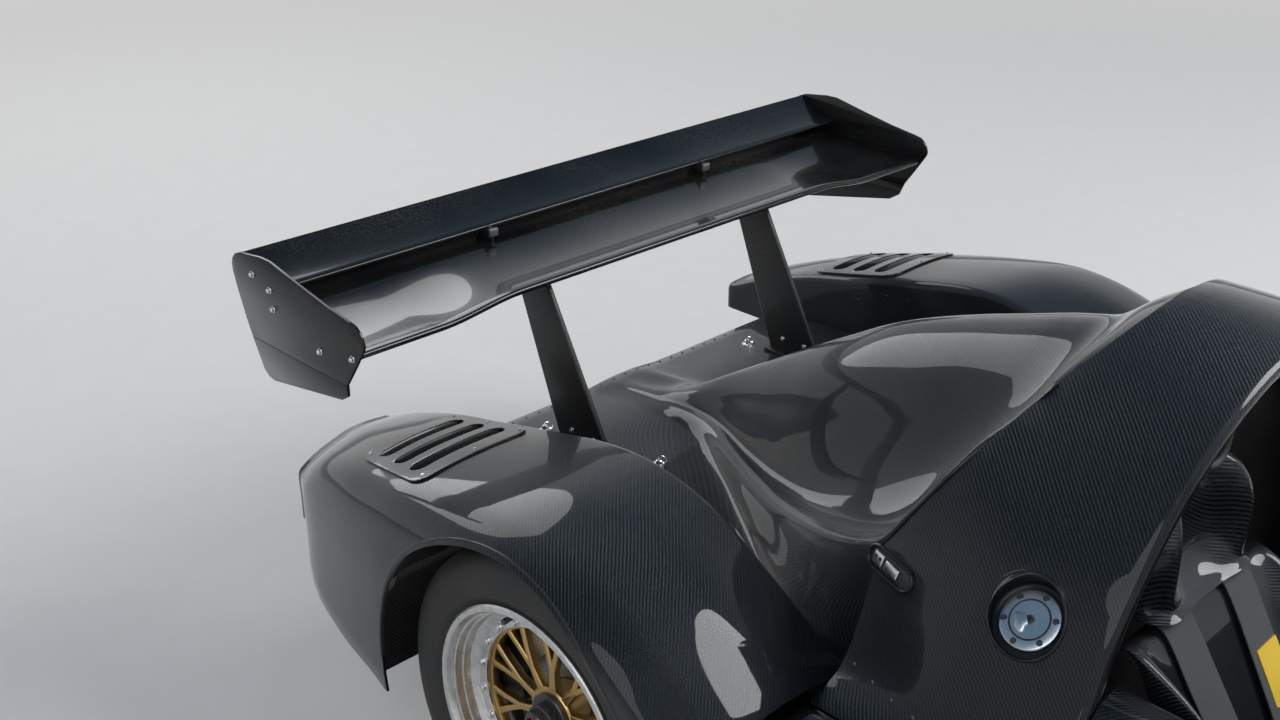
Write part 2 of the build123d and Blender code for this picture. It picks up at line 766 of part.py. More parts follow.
# Pylons: two thin uprights that stand on the deck and carry the main plane
pylon_place = 310.0
pylon_thickness = 12.0
pylon_top_drop = 17.0
with BuildPart() as pylons:
    for side in (-1.0, 1.0):
        with BuildSketch(Plane.YZ.offset(side * pylon_place)):
            with BuildLine():
                Polyline(
                    (y_rear_axle + 305.0, deck_height + seat_gap),
                    (y_rear_axle + 484.0, main_lead[1] - pylon_top_drop),
                    (y_rear_axle + 572.0, main_lead[1] - pylon_top_drop),
                    (y_rear_axle + 445.0, deck_height + seat_gap),
                    close=True,
                )
            make_face()
        extrude(amount=pylon_thickness / 2.0, both=True)
    with BuildSketch(Plane.YZ.offset(-bend_inner)):
        with BuildLine(Plane.YZ.offset(-bend_inner)):
            blade(
                (y_rear_axle + main_lead[0], main_lead[1]),
                (y_rear_axle + main_trail[0], main_trail[1]),
                main_sag,
                main_depth + seat_gap,
                6.0,
            )
        make_face()
    extrude(amount=2.0 * bend_inner, mode=Mode.SUBTRACT)
finish(pylons.part, "wing_pylons")

# Wheels: each has a tyre, a stepped barrel rim, and a spoked centre with its hub, disc and nut
rim_edge = 12.0
flange_width = 9.0


def wheel_names(end, side):
    """Names of one corner's pieces, such as tyre_front_left."""
    return [f"{piece}_{end}_{side}" for piece in ("tyre", "rim", "wheel_centre")]


def wheel_corner(side_sign, y, radius, width, outer):
    """Tyre, rim and centre of one wheel, whose outer face is that far from the car's middle."""
    plane = Plane(origin=(0, y, radius), x_dir=(side_sign, 0, 0), z_dir=(0, 0, side_sign))
    axle = Axis((0, y, radius), (1, 0, 0))
    inner = outer - width
    tread = width / 2.0 - 18.0
    middle = (inner + outer) / 2.0
    bead_in = inner + rim_edge
    bead_out = outer - rim_edge
    with BuildPart() as tyre:
        with BuildSketch(plane):
            with BuildLine():
                Line((bead_in, bead_radius + 1.0), (bead_in, bead_radius + 16.0))
                ThreePointArc(
                    (bead_in, bead_radius + 16.0),
                    (inner, (radius + bead_radius) / 2.0),
                    (middle - tread, radius - 8.0),
                )
                ThreePointArc(
                    (middle - tread, radius - 8.0),
                    (middle - tread + 10.0, radius - 2.4),
                    (middle - tread + 22.0, radius),
                )
                Line((middle - tread + 22.0, radius), (middle + tread - 22.0, radius))
                ThreePointArc(
                    (middle + tread - 22.0, radius),
                    (middle + tread - 10.0, radius - 2.4),
                    (middle + tread, radius - 8.0),
                )
                ThreePointArc(
                    (middle + tread, radius - 8.0),
                    (outer, (radius + bead_radius) / 2.0),
                    (bead_out, bead_radius + 16.0),
                )
                Line((bead_out, bead_radius + 16.0), (bead_out, bead_radius + 1.0))
                Line((bead_out, bead_radius + 1.0), (bead_out - tyre_wall, bead_radius + 1.0))
                Line((bead_out - tyre_wall, bead_radius + 1.0), (bead_out - tyre_wall, bead_radius + 16.0))
                ThreePointArc(
                    (bead_out - tyre_wall, bead_radius + 16.0),
                    (outer - tyre_wall, (radius + bead_radius) / 2.0),
                    (middle + tread - tyre_wall, radius - tyre_wall),
                )
                Line(
                    (middle + tread - tyre_wall, radius - tyre_wall),
                    (middle - tread + tyre_wall, radius - tyre_wall),
                )
                ThreePointArc(
                    (middle - tread + tyre_wall, radius - tyre_wall),
                    (inner + tyre_wall, (radius + bead_radius) / 2.0),
                    (bead_in + tyre_wall, bead_radius + 16.0),
                )
                Line((bead_in + tyre_wall, bead_radius + 16.0), (bead_in + tyre_wall, bead_radius + 1.0))
                Line((bead_in + tyre_wall, bead_radius + 1.0), (bead_in, bead_radius + 1.0))
            make_face()
        revolve(axis=axle)
    flange = outer - rim_step
    with BuildPart() as rim:
        with BuildSketch(plane):
            with BuildLine():
                Polyline(
                    (bead_in - seat_gap - flange_width, rim_lip_radius),
                    (bead_in - seat_gap, rim_lip_radius),
                    (bead_in - seat_gap, bead_radius + 1.0 - seat_gap),
                    (inner + 55.0, bead_radius + 1.0 - seat_gap),
                    (inner + 70.0, rim_well_radius),
                    (flange - 22.0, rim_well_radius),
                    (flange + 6.0, bead_radius + 1.0 - seat_gap),
                    (bead_out + seat_gap, bead_radius + 1.0 - seat_gap),
                    (bead_out + seat_gap, rim_lip_radius),
                    (bead_out + seat_gap + flange_width, rim_lip_radius),
                    (bead_out + seat_gap + flange_width, bead_radius - 1.0),
                    (flange + 8.0, bead_radius - rim_wall),
                    (flange, rim_well_radius - 4.0),
                    (flange, rim_well_radius - 22.0),
                    (flange - rim_wall, rim_well_radius - 22.0),
                    (flange - rim_wall, rim_well_radius - rim_wall),
                    (inner + 66.0, rim_well_radius - rim_wall),
                    (inner + 50.0, bead_radius - rim_wall),
                    (bead_in - seat_gap - flange_width, bead_radius - rim_wall),
                    close=True,
                )
            make_face()
        revolve(axis=axle)
    face = flange - rim_wall - seat_gap
    face_plane = Plane(origin=(side_sign * face, y, radius), x_dir=(0, 1, 0), z_dir=(-side_sign, 0, 0))
    ring_radius = rim_well_radius - rim_wall - 2.0
    disc_face = face - 56.0
    with BuildPart() as centre:
        with BuildSketch(face_plane):
            Circle(ring_radius)
            Circle(ring_radius - 18.0, mode=Mode.SUBTRACT)
            Circle(hub_radius)
            for lead in (-1.0, 1.0):
                with PolarLocations(0, spoke_count, start_angle=lead * 5.0):
                    with Locations(Location((0, 0, 0), (0, 0, lead * 5.0))):
                        with Locations(((hub_radius + ring_radius - 6.0) / 2.0, 0)):
                            Rectangle(ring_radius - hub_radius + 2.0, spoke_width)
        extrude(amount=spoke_depth)
        with BuildSketch(face_plane.offset(spoke_depth)):
            Circle(hub_radius)
        extrude(amount=hub_depth)
        with BuildSketch(face_plane.offset(56.0 - disc_width / 2.0)):
            Circle(disc_radius)
        extrude(amount=disc_width)
        with BuildSketch(face_plane):
            RegularPolygon(nut_radius, 6)
        extrude(amount=-nut_length)
        with BuildSketch(face_plane.offset(spoke_depth + hub_depth)):
            Circle(spindle_radius)
        extrude(amount=-hub_depth, mode=Mode.SUBTRACT)
    return tyre.part, rim.part, centre.part, face - spoke_depth - hub_depth


corners = [
    # end, axle place, tyre radius, tyre width, outer face
    ("front", y_front_axle, front_tyre_radius, front_tyre_width, front_tyre_outer),
    ("rear", y_rear_axle, rear_tyre_radius, rear_tyre_width, rear_tyre_outer),
]
hub_back = {}
for end, y, radius, width, outer in corners:
    for side, side_sign in (("left", 1.0), ("right", -1.0)):
        tyre, rim, centre, back = wheel_corner(side_sign, y, radius, width, outer)
        for piece, name in zip((tyre, rim, centre), wheel_names(end, side)):
            finish(piece, name)
        hub_back[end] = back

# Front knuckles and rear uprights: each carries a wheel on its spindle and a brake caliper
kingpin_inset = 40.0
kingpin_radius = 20.0
kingpin_reach = 95.0
collar_radius = 38.0
caliper_inner = 100.0
caliper_clearance = 5.0
caliper_outer = rim_well_radius - rim_wall - caliper_clearance
caliper_half_angle = 20.0
caliper_wall_in = 24.0
caliper_wall_out = 13.0
disc_middle = 56.0


def sector(inner_radius, outer_radius, half_angle):
    """Ring sector about the local origin, centred on the local X axis."""
    for radius in (inner_radius, outer_radius):
        CenterArc((0, 0), radius, -half_angle, 2.0 * half_angle)
    for sign in (-1.0, 1.0):
        turn = radians(sign * half_angle)
        Line(
            (inner_radius * cos(turn), inner_radius * sin(turn)),
            (outer_radius * cos(turn), outer_radius * sin(turn)),
        )


def knuckle_piece(side_sign, y, height, back):
    """Upright on its kingpin, with the spindle that runs in the hub and the caliper over the disc."""
    kingpin_x = side_sign * (back - kingpin_inset)
    face = back + hub_depth + spoke_depth
    outward = Plane(origin=(kingpin_x, y, height), x_dir=(0, 1, 0), z_dir=(side_sign, 0, 0))
    disc_x = side_sign * (face - disc_middle)
    disc_plane = Plane(origin=(disc_x, y, height), x_dir=(0, 1, 0), z_dir=(side_sign, 0, 0))
    half_disc = disc_width / 2.0
    with BuildPart() as knuckle:
        with BuildSketch(Plane.XY.offset(height - kingpin_reach)):
            with Locations((kingpin_x, y)):
                Circle(kingpin_radius)
        extrude(amount=2.0 * kingpin_reach)
        with BuildSketch(outward):
            Circle(collar_radius)
        extrude(amount=kingpin_inset - 1.0)
        with BuildSketch(outward):
            Circle(spindle_radius - bearing_gap)
        extrude(amount=kingpin_inset + hub_depth - 2.0)
        with BuildSketch(outward.offset(-kingpin_radius)):
            with Locations((65.0, 0)):
                Rectangle(130.0, 60.0)
        extrude(amount=2.0 * kingpin_radius)
        with BuildSketch(disc_plane.offset(-half_disc - caliper_clearance)):
            with BuildLine():
                sector(caliper_inner, caliper_outer, caliper_half_angle)
            make_face()
        extrude(amount=-caliper_wall_in)
        with BuildSketch(disc_plane.offset(half_disc + caliper_clearance)):
            with BuildLine():
                sector(caliper_inner, caliper_outer, caliper_half_angle)
            make_face()
        extrude(amount=caliper_wall_out)
        with BuildSketch(disc_plane.offset(-half_disc - caliper_clearance - 1.0)):
            with BuildLine():
                sector(disc_radius + caliper_clearance, caliper_outer, caliper_half_angle)
            make_face()
        extrude(amount=disc_width + 2.0 * caliper_clearance + 2.0)
    return knuckle.part


knuckle_left = knuckle_piece(1.0, y_front_axle, front_tyre_radius, hub_back["front"])
finish(knuckle_left, "knuckle_front_left")
finish(mirrored(knuckle_left), "knuckle_front_right")
upright_left = knuckle_piece(1.0, y_rear_axle, rear_tyre_radius, hub_back["rear"])
with BuildPart() as uprights:
    add(upright_left)
    mirror(about=Plane.YZ)
finish(uprights.part, "rear_uprights")

# Wishbones: four on each side, from a ball-joint boss at a knuckle to lugs on tub or gearbox
arm_radius = 9.0
boss_radius = 18.0
boss_height = 30.0
lug_length = 24.0
lug_height = 30.0
lug_depth = 24.0
arm_rows = [
    # end, up or down, height of the inner lugs, then place and half width of each lug
    ("front", 1.0, 335.0, ((-150.0, foot_well_half_width), (150.0, foot_well_half_width))),
    ("front", -1.0, 150.0, ((-150.0, foot_well_half_width), (150.0, foot_well_half_width))),
    ("rear", 1.0, 395.0, ((-160.0, engine_half_width), (150.0, gearbox_half_width))),
    ("rear", -1.0, 215.0, ((-160.0, engine_half_width), (150.0, gearbox_half_width))),
]
corner_place = {end: (y, radius) for end, y, radius, width, outer in corners}


def arm(start, end, radius):
    """Straight round tube between two points."""
    run = Vector(*end) - Vector(*start)
    with BuildPart() as tube:
        with BuildSketch(Plane(origin=start, z_dir=run)):
            Circle(radius)
        extrude(amount=run.length)
    return tube.part


wishbone_parts = []
for end, up, lug_z, lugs in arm_rows:
    y, radius = corner_place[end]
    kingpin_x = hub_back[end] - kingpin_inset
    boss_z = radius + up * (kingpin_reach + seat_gap + boss_height / 2.0)
    tubes = [
        arm((kingpin_x, y, boss_z), (half + seat_gap + lug_depth / 2.0, y + place, lug_z), arm_radius)
        for place, half in lugs
    ]
    with BuildPart() as wishbone:
        with BuildSketch(Plane.XY.offset(boss_z - boss_height / 2.0)):
            with Locations((kingpin_x, y)):
                Circle(boss_radius)
        extrude(amount=boss_height)
        for tube in tubes:
            add(tube)
        for place, half in lugs:
            with BuildSketch(Plane.XY.offset(lug_z - lug_height / 2.0)):
                with Locations((half + seat_gap + lug_depth / 2.0, y + place)):
                    Rectangle(lug_depth, lug_length)
            extrude(amount=lug_height)
    wishbone_parts.append(wishbone.part)
with BuildPart() as wishbones:
    for piece in wishbone_parts:
        add(piece)
    mirror(about=Plane.YZ)
finish(wishbones.part, "wishbones")

# Louvre panels: thin slotted covers that lie on the tails of the rear fenders
louvre_thickness = 4.0
louvre_margin_in = 26.0
louvre_margin_out = 96.0
louvre_count = 4
louvre_slot = 12.0
louvre_pitch = 44.0
louvre_slot_length = 170.0
louvre_front = 292.0
louvre_back = 512.0
louvre_middle = (louvre_front + louvre_back) / 2.0


def rib_between(ribs, place):
    """Values of a fender rib at a place between two rows of its table."""
    for low, high in zip(ribs, ribs[1:]):
        if low[0] <= place <= high[0]:
            share = (place - low[0]) / (high[0] - low[0])
            return [a + share * (b - a) for a, b in zip(low, high)]
    return list(ribs[-1])


def fender_patch(axle, roof, inner, ribs, places, margin_in, margin_out, stand, thickness):
    """Thin cover that follows the top of a fender between two margins, a little above it."""
    lines = []
    for place in places:
        behind, crown, crease, tuck, low_in, low_out = rib_between(ribs, place)
        whole = fender_line(inner, body_half_width - tuck, low_in, roof - crease, roof - crown, low_out)
        edge, middle, outer_point = whole[2], whole[3], whole[4]
        x_in = inner + margin_in
        x_out = body_half_width - tuck - margin_out
        z_in = edge[1] + (middle[1] - edge[1]) * (x_in - edge[0]) / (middle[0] - edge[0])
        outer_share = (x_out - middle[0]) / (outer_point[0] - middle[0])
        z_out = middle[1] + (outer_point[1] - middle[1]) * outer_share
        line = [(x_in, z_in), middle, (x_out, z_out)]
        lines.append((axle + place, inset_line(line, -stand - thickness)))
    return skin(lines, thickness)


louvre_shell = fender_patch(
    y_rear_axle, fender_roof, rear_fender_inner, rear_fender_ribs, (louvre_front, louvre_back),
    louvre_margin_in, louvre_margin_out, seat_gap, louvre_thickness,
)
with BuildPart() as louvre_panels:
    add(louvre_shell)
    with BuildSketch(Plane.XY.offset(fender_roof)):
        with Locations((rear_fender_inner + louvre_margin_in + 110.0, y_rear_axle + louvre_middle)):
            with GridLocations(1.0, louvre_pitch, 1, louvre_count):
                SlotOverall(louvre_slot_length, louvre_slot)
    extrude(amount=-300.0, mode=Mode.SUBTRACT)
    mirror(about=Plane.YZ)
finish(louvre_panels.part, "louvre_panels")

# Headlamp covers: clear panes on the front of the front fenders
lamp_thickness = 4.0
lamp_shell = fender_patch(
    y_front_axle, front_fender_roof, front_fender_inner, front_fender_ribs, (-742.0, -612.0),
    70.0, 120.0, seat_gap, lamp_thickness,
)
with BuildPart() as headlamps:
    add(lamp_shell)
    mirror(about=Plane.YZ)
finish(headlamps.part, "headlamp_covers")

# Mirrors: a stalk and a round-edged pod on each front fender
mirror_x = 640.0
mirror_place = 250.0
mirror_stalk = 14.0
mirror_stalk_length = 26.0
mirror_seat = front_fender_roof - rib_between(front_fender_ribs, mirror_place)[1] - 1.5
mirror_height = 700.0
mirror_width = 150.0
mirror_pod_height = 76.0
mirror_pod_depth = 60.0
with BuildPart() as mirrors:
    with BuildSketch(Plane.XY.offset(mirror_seat)):
        with Locations((mirror_x, y_front_axle + mirror_place)):
            SlotOverall(mirror_stalk_length, mirror_stalk, rotation=90)
    extrude(amount=mirror_height - mirror_seat)
    with BuildSketch(Plane.XZ.offset(-(y_front_axle + mirror_place + mirror_pod_depth / 2.0))):
        with Locations((mirror_x, mirror_height)):
            RectangleRounded(mirror_width, mirror_pod_height, 28.0)
    extrude(amount=mirror_pod_depth, taper=14.0)
    add(front_fender_left, mode=Mode.SUBTRACT)
    mirror(about=Plane.YZ)
finish(mirrors.part, "mirrors")

# Windscreen: low curved deflector that stands on the cowl in front of the driver
screen_half_width = 400.0
screen_top = 690.0
screen_thickness = 4.0
screen_front = y_cowl - 110.0
screen_back = y_cowl - 18.0
with BuildPart() as cowl_block:
    for y, line in cowl_lines:
        with BuildSketch(Plane.XZ.offset(-y)):
            with BuildLine():
                Polyline(*line, (coaming_base, 300.0), (-coaming_base, 300.0), close=True)
            make_face()
    loft(ruled=True)
with BuildPart() as windscreen:
    with BuildSketch(Plane.XY.offset(sill_height)):
        with BuildLine():
            ThreePointArc(
                (-screen_half_width, screen_back), (0, screen_front), (screen_half_width, screen_back)
            )
            Line((screen_half_width, screen_back), (screen_half_width, screen_back + screen_thickness))
            ThreePointArc(
                (screen_half_width, screen_back + screen_thickness),
                (0, screen_front + screen_thickness),
                (-screen_half_width, screen_back + screen_thickness),
            )
            Line((-screen_half_width, screen_back + screen_thickness), (-screen_half_width, screen_back))
        make_face()
    extrude(amount=screen_top - sill_height)
    add(cowl_block.part, mode=Mode.SUBTRACT)
finish(windscreen.part, "windscreen")

# Dashboard: flat panel across the tub with a round bush for the steering column
dash_thickness = 14.0
dash_low = 400.0
dash_high = 540.0
dash_place = y_cowl + dash_thickness + 2.0
seat_x = -190.0
column_height = 440.0
with BuildPart() as dashboard:
    with BuildSketch(Plane.XZ.offset(-dash_place)):
        with BuildLine():
            Polyline(
                (-cockpit_half_width + seat_gap, dash_low),
                (-cockpit_half_width + seat_gap, dash_high - 15.0),
                (-300.0, dash_high),
                (300.0, dash_high),
                (cockpit_half_width - seat_gap, dash_high - 15.0),
                (cockpit_half_width - seat_gap, dash_low),
                close=True,
            )
        make_face()
    extrude(amount=dash_thickness)
finish(dashboard.part, "dashboard")

# Steering wheel on its column, which runs down to the dashboard
column_tilt = 12.0
column_radius = 14.0
column_length = 400.0
wheel_rim_radius = 130.0
wheel_grip_radius = 13.0
wheel_hub_radius = 34.0
wheel_spoke_width = 30.0
wheel_spoke_depth = 8.0
column_foot = (seat_x, dash_place + seat_gap + 3.0, column_height)
column_way = (0, cos(radians(column_tilt)), sin(radians(column_tilt)))
column_plane = Plane(origin=column_foot, x_dir=(1, 0, 0), z_dir=column_way)
grip_plane = Plane(
    origin=column_plane.offset(column_length - wheel_spoke_depth / 2.0).origin,
    x_dir=(1, 0, 0),
    z_dir=Vector(1, 0, 0).cross(Vector(*column_way)),
)
with BuildPart() as steering_wheel:
    with BuildSketch(column_plane):
        Circle(column_radius)
    extrude(amount=column_length)
    with BuildSketch(column_plane.offset(column_length - wheel_spoke_depth)):
        Circle(wheel_hub_radius)
        with PolarLocations(0, 3, start_angle=90.0):
            with Locations((wheel_rim_radius / 2.0, 0)):
                Rectangle(wheel_rim_radius - 4.0, wheel_spoke_width)
    extrude(amount=wheel_spoke_depth)
    with BuildSketch(grip_plane):
        with Locations((wheel_rim_radius, 0)):
            Circle(wheel_grip_radius)
    revolve(axis=Axis(column_foot, column_way))
finish(steering_wheel.part, "steering_wheel")

# Seat: bucket shell with side bolsters, on the driver's side of the tub
seat_half_width = 200.0
bolster_width = 24.0
seat_back_y = y_firewall - tub_wall - 3.0
seat_floor = body_base + tub_floor + seat_gap
seat_line = [
    # distance from the firewall and height, over the top, down the back and along the pan
    (-60, 650), (-132, 650), (-400, 205), (-435, 160), (-690, 165), (-745, 208), (-764, 200),
    (-735, seat_floor), (-340, seat_floor),
]
bolster_line = [
    (-60, 650), (-165, 640), (-430, 320), (-500, 262), (-715, 240), (-764, 200),
    (-735, seat_floor), (-340, seat_floor),
]
with BuildPart() as seat:
    with BuildSketch(Plane.YZ.offset(seat_x)):
        with BuildLine():
            Polyline(*[(seat_back_y + y, z) for y, z in seat_line], close=True)
        make_face()
    extrude(amount=seat_half_width, both=True)
    for side in (-1.0, 1.0):
        with BuildSketch(Plane.YZ.offset(seat_x + side * (seat_half_width - bolster_width / 2.0))):
            with BuildLine():
                Polyline(*[(seat_back_y + y, z) for y, z in bolster_line], close=True)
            make_face()
        extrude(amount=bolster_width / 2.0, both=True)
finish(seat.part, "seat")

# Headrest: deep moulded surround on the firewall behind the driver's head and shoulders
headrest_half_width = 148.0
headrest_low = 662.0
headrest_high = 848.0
headrest_depth = 145.0
headrest_corner = 60.0
with BuildPart() as headrest:
    with BuildSketch(Plane.XZ.offset(-(y_firewall - tub_wall - seat_gap))):
        with Locations((seat_x, (headrest_low + headrest_high) / 2.0)):
            RectangleRounded(2.0 * headrest_half_width, headrest_high - headrest_low, headrest_corner)
    extrude(amount=headrest_depth)
finish(headrest.part, "headrest")

# Harness: two flat shoulder straps from the firewall over the seat back and down its face
strap_width = 76.0
strap_place = 86.0
strap_line = [
    (0, 650.4), (-132.2, 650.4), (-390.3, 221.9), (-392.9, 223.5), (-133.9, 653.4), (0, 653.4),
]
with BuildPart() as harness:
    for side in (-1.0, 1.0):
        with BuildSketch(Plane.YZ.offset(seat_x + side * strap_place)):
            with BuildLine():
                Polyline(*[(seat_back_y + y, z) for y, z in strap_line], close=True)
            make_face()
        extrude(amount=strap_width / 2.0, both=True)
finish(harness.part, "harness")
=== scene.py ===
# %% [markdown]
# # An open sports prototype, dressed in Blender
# The car comes in as solids with real sizes: every panel, wheel and arm already has its place.
# This lesson gives each of them the surface that the real one has. Flat-sided solids become smooth
# clear-coated panels, the plain wheels get their bolts and spokes, and the cockpit gets its pads and
# straps. Everything is in metres, the nose points to -Y, the car's left is +X and +Z is up.

# %% Load the solids
from math import cos, pi, radians, sin, tan

import bpy
import numpy as np
from mathutils import Matrix, Vector


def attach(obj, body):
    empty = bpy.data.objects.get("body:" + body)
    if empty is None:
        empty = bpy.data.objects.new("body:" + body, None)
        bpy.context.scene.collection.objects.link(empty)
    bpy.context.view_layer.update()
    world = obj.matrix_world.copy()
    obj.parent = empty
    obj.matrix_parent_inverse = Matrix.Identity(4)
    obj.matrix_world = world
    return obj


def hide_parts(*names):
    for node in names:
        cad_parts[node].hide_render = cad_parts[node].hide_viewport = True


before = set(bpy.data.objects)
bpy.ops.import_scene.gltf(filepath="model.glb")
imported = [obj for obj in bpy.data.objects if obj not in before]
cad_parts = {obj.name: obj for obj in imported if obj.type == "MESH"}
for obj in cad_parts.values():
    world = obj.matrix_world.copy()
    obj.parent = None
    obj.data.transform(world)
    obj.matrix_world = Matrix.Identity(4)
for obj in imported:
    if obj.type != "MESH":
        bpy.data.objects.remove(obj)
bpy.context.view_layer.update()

MM = 0.001
SIDE_NAMES = {-1: "right", 1: "left"}
MERGE_WITHIN = 0.00002
# Rays start this far out at the side, and this high above the car
RAY_SIDE, RAY_TOP = 1.5, 1.3

# %% [markdown]
# ## The camera
# The photograph looks down on the right rear quarter from a little above head height. Its place and
# lens were worked out from points that the car has on both sides. A camera looks along its own -Z,
# so its turning matrix is made from three directions: right, up and backwards.

# %% The photograph's camera
YAW, PITCH, ROLL = radians(44.93), radians(24.62), radians(-0.32)
CAMERA_PLACE = (-2.077, -0.267, 1.870)
PHOTO_WIDTH, FOCAL_PIXELS, SENSOR_WIDTH = 1280.0, 1539.6, 36.0
looking = Vector((sin(YAW) * cos(PITCH), cos(YAW) * cos(PITCH), -sin(PITCH)))
level_right = Vector((cos(YAW), -sin(YAW), 0.0))
level_down = looking.cross(level_right)
camera_right = level_right * cos(ROLL) + level_down * sin(ROLL)
camera_up = looking.cross(camera_right) * -1.0
bpy.ops.object.camera_add()
camera = bpy.context.object
turn = Matrix((camera_right, camera_up, -looking)).transposed()
camera.matrix_world = Matrix.Translation(CAMERA_PLACE) @ turn.to_4x4()
camera.data.sensor_width = SENSOR_WIDTH
camera.data.lens = SENSOR_WIDTH * FOCAL_PIXELS / PHOTO_WIDTH
bpy.context.scene.camera = camera
bpy.context.scene.view_settings.view_transform = "Standard"
print("lens", round(camera.data.lens, 1), "mm")

# %% [markdown]
# ## Small helpers for nodes
# Materials are networks of small boxes. Two helpers keep the cells short: one adds a box with its
# settings, the other does sums on values. A link is given as the output of another box.


# %% Helpers that build node networks
# Numbers of the colour mix box's sockets
MIX_FACTOR, MIX_FIRST, MIX_SECOND, MIX_RESULT = 0, 6, 7, 2


def add_node(tree, kind, inputs=None, **settings):
    """Adds a box to a network. Inputs are constants or the outputs of other boxes."""
    box = tree.nodes.new(kind)
    for name, value in settings.items():
        setattr(box, name, value)
    for key, value in (inputs or {}).items():
        if isinstance(value, bpy.types.NodeSocket):
            tree.links.new(value, box.inputs[key])
        else:
            box.inputs[key].default_value = value
    return box


def sums(tree, operation, *values, clamp=False):
    """One arithmetic box. Returns its output."""
    box = add_node(tree, "ShaderNodeMath", dict(enumerate(values)), operation=operation)
    box.use_clamp = clamp
    return box.outputs[0]


def shade_between(tree, factor, low, high):
    """A colour between two colours."""
    box = add_node(tree, "ShaderNodeMix", data_type="RGBA")
    for key, value in ((MIX_FACTOR, factor), (MIX_FIRST, low), (MIX_SECOND, high)):
        if isinstance(value, bpy.types.NodeSocket):
            tree.links.new(value, box.inputs[key])
        elif key == MIX_FACTOR:
            box.inputs[key].default_value = value
        else:
            box.inputs[key].default_value = (*value, 1.0)
    return box.outputs[MIX_RESULT]


def new_group(name, inputs, outputs):
    """An empty effect that several materials can share."""
    group = bpy.data.node_groups.new(name, "ShaderNodeTree")
    for label, kind, value in inputs:
        socket = group.interface.new_socket(label, in_out="INPUT", socket_type=kind)
        if value is not None:
            socket.default_value = value
    for label, kind in outputs:
        group.interface.new_socket(label, in_out="OUTPUT", socket_type=kind)
    return group, group.nodes.new("NodeGroupInput").outputs, group.nodes.new("NodeGroupOutput").inputs


FLOAT, VECTOR = "NodeSocketFloat", "NodeSocketVector"

# %% [markdown]
# ## Carbon weave as a shared effect
# Carbon cloth in a two-by-two twill runs over two tows and under two, and each row starts one tow
# further along. That gives the diagonal lines that show on every panel of this car. An image would
# blur up close, so the weave is worked out: whole numbers count the tows, and what is left over says
# how far across a tow a point is. The effect puts out a height for the tows' round tops, and a tone
# with a painted sheen: the tows that run one way are painted lighter, for the light that they catch,
# and each tow also differs a little at random.

# %% The weave effect
weave, source, result = new_group(
    "carbon weave",
    [("Place", VECTOR, None), ("Tow", FLOAT, 0.0022), ("Spread", FLOAT, 0.25)],
    [("Height", FLOAT), ("Sheen and tone", FLOAT)],
)
shaken = add_node(weave, "ShaderNodeTexNoise", {"Vector": source["Place"], "Scale": 6.0, "Detail": 1.0})
drift = add_node(
    weave, "ShaderNodeVectorMath", {0: shaken.outputs["Color"], "Scale": 0.006}, operation="SCALE"
)
draped = add_node(weave, "ShaderNodeVectorMath", {0: source["Place"], 1: drift.outputs[0]}, operation="ADD")
parts = add_node(weave, "ShaderNodeSeparateXYZ", {0: draped.outputs[0]})
across = sums(weave, "DIVIDE", parts.outputs["X"], source["Tow"])
along = sums(weave, "DIVIDE", parts.outputs["Y"], source["Tow"])
column, row = sums(weave, "FLOOR", across), sums(weave, "FLOOR", along)
run_up = sums(weave, "FLOORED_MODULO", sums(weave, "ADD", along, column), 4.0)
run_side = sums(weave, "FLOORED_MODULO", sums(weave, "ADD", across, row), 4.0)
is_up = sums(weave, "LESS_THAN", run_up, 2.0)


def round_top(place, run, middle):
    """Height of a tow: round across, and a little lower at both ends of its run."""
    side = sums(weave, "MULTIPLY_ADD", sums(weave, "FRACT", place), 2.0, -1.0)
    crown = sums(weave, "SUBTRACT", 1.0, sums(weave, "POWER", sums(weave, "ABSOLUTE", side), 2.5))
    end = sums(weave, "SUBTRACT", run, middle)
    dip = sums(weave, "MULTIPLY_ADD", sums(weave, "MULTIPLY", end, end), -0.5, 1.0)
    return sums(weave, "MULTIPLY", crown, dip)


up_height = round_top(across, run_up, 1.0)
side_height = round_top(along, run_side, 3.0)
height = sums(weave, "MULTIPLY", up_height, is_up)
height = sums(weave, "MULTIPLY_ADD", side_height, sums(weave, "SUBTRACT", 1.0, is_up), height)
cells = add_node(weave, "ShaderNodeCombineXYZ", {0: column, 1: row})
luck = add_node(weave, "ShaderNodeTexWhiteNoise", {"Vector": cells.outputs[0]}, noise_dimensions="2D")
# The tone: tows that run up are painted lighter, a painted sheen, and each tow differs a little at random
tone_and_sheen = sums(weave, "MULTIPLY_ADD", sums(weave, "SUBTRACT", luck.outputs["Value"], 0.5), source["Spread"], is_up)
weave.links.new(height, result["Height"])
weave.links.new(tone_and_sheen, result["Sheen and tone"])
print("weave boxes:", len(weave.nodes))

# %% [markdown]
# ## Wear, dust and grain as shared effects
# A race car is clean but used. Dust settles thinly and in patches, so one effect mixes two sizes of
# noise into a mask. Moulded and cast surfaces have fine grain, and turned metal has rings. Each
# effect puts out a plain value, and each material says how strong it is there.

# %% Dust, grain and turned rings
dust, source, result = new_group(
    "dust", [("Place", VECTOR, None), ("Amount", FLOAT, 0.2)], [("Mask", FLOAT)]
)
broad = add_node(dust, "ShaderNodeTexNoise", {"Vector": source["Place"], "Scale": 3.5, "Detail": 5.0})
fine = add_node(dust, "ShaderNodeTexNoise", {"Vector": source["Place"], "Scale": 240.0, "Detail": 2.0})
patch = sums(dust, "MULTIPLY_ADD", broad.outputs["Fac"], 3.0, -1.1, clamp=True)
speck = sums(dust, "MULTIPLY_ADD", fine.outputs["Fac"], 4.0, -1.6, clamp=True)
dust.links.new(sums(dust, "MULTIPLY", sums(dust, "MULTIPLY", patch, speck), source["Amount"]), result["Mask"])

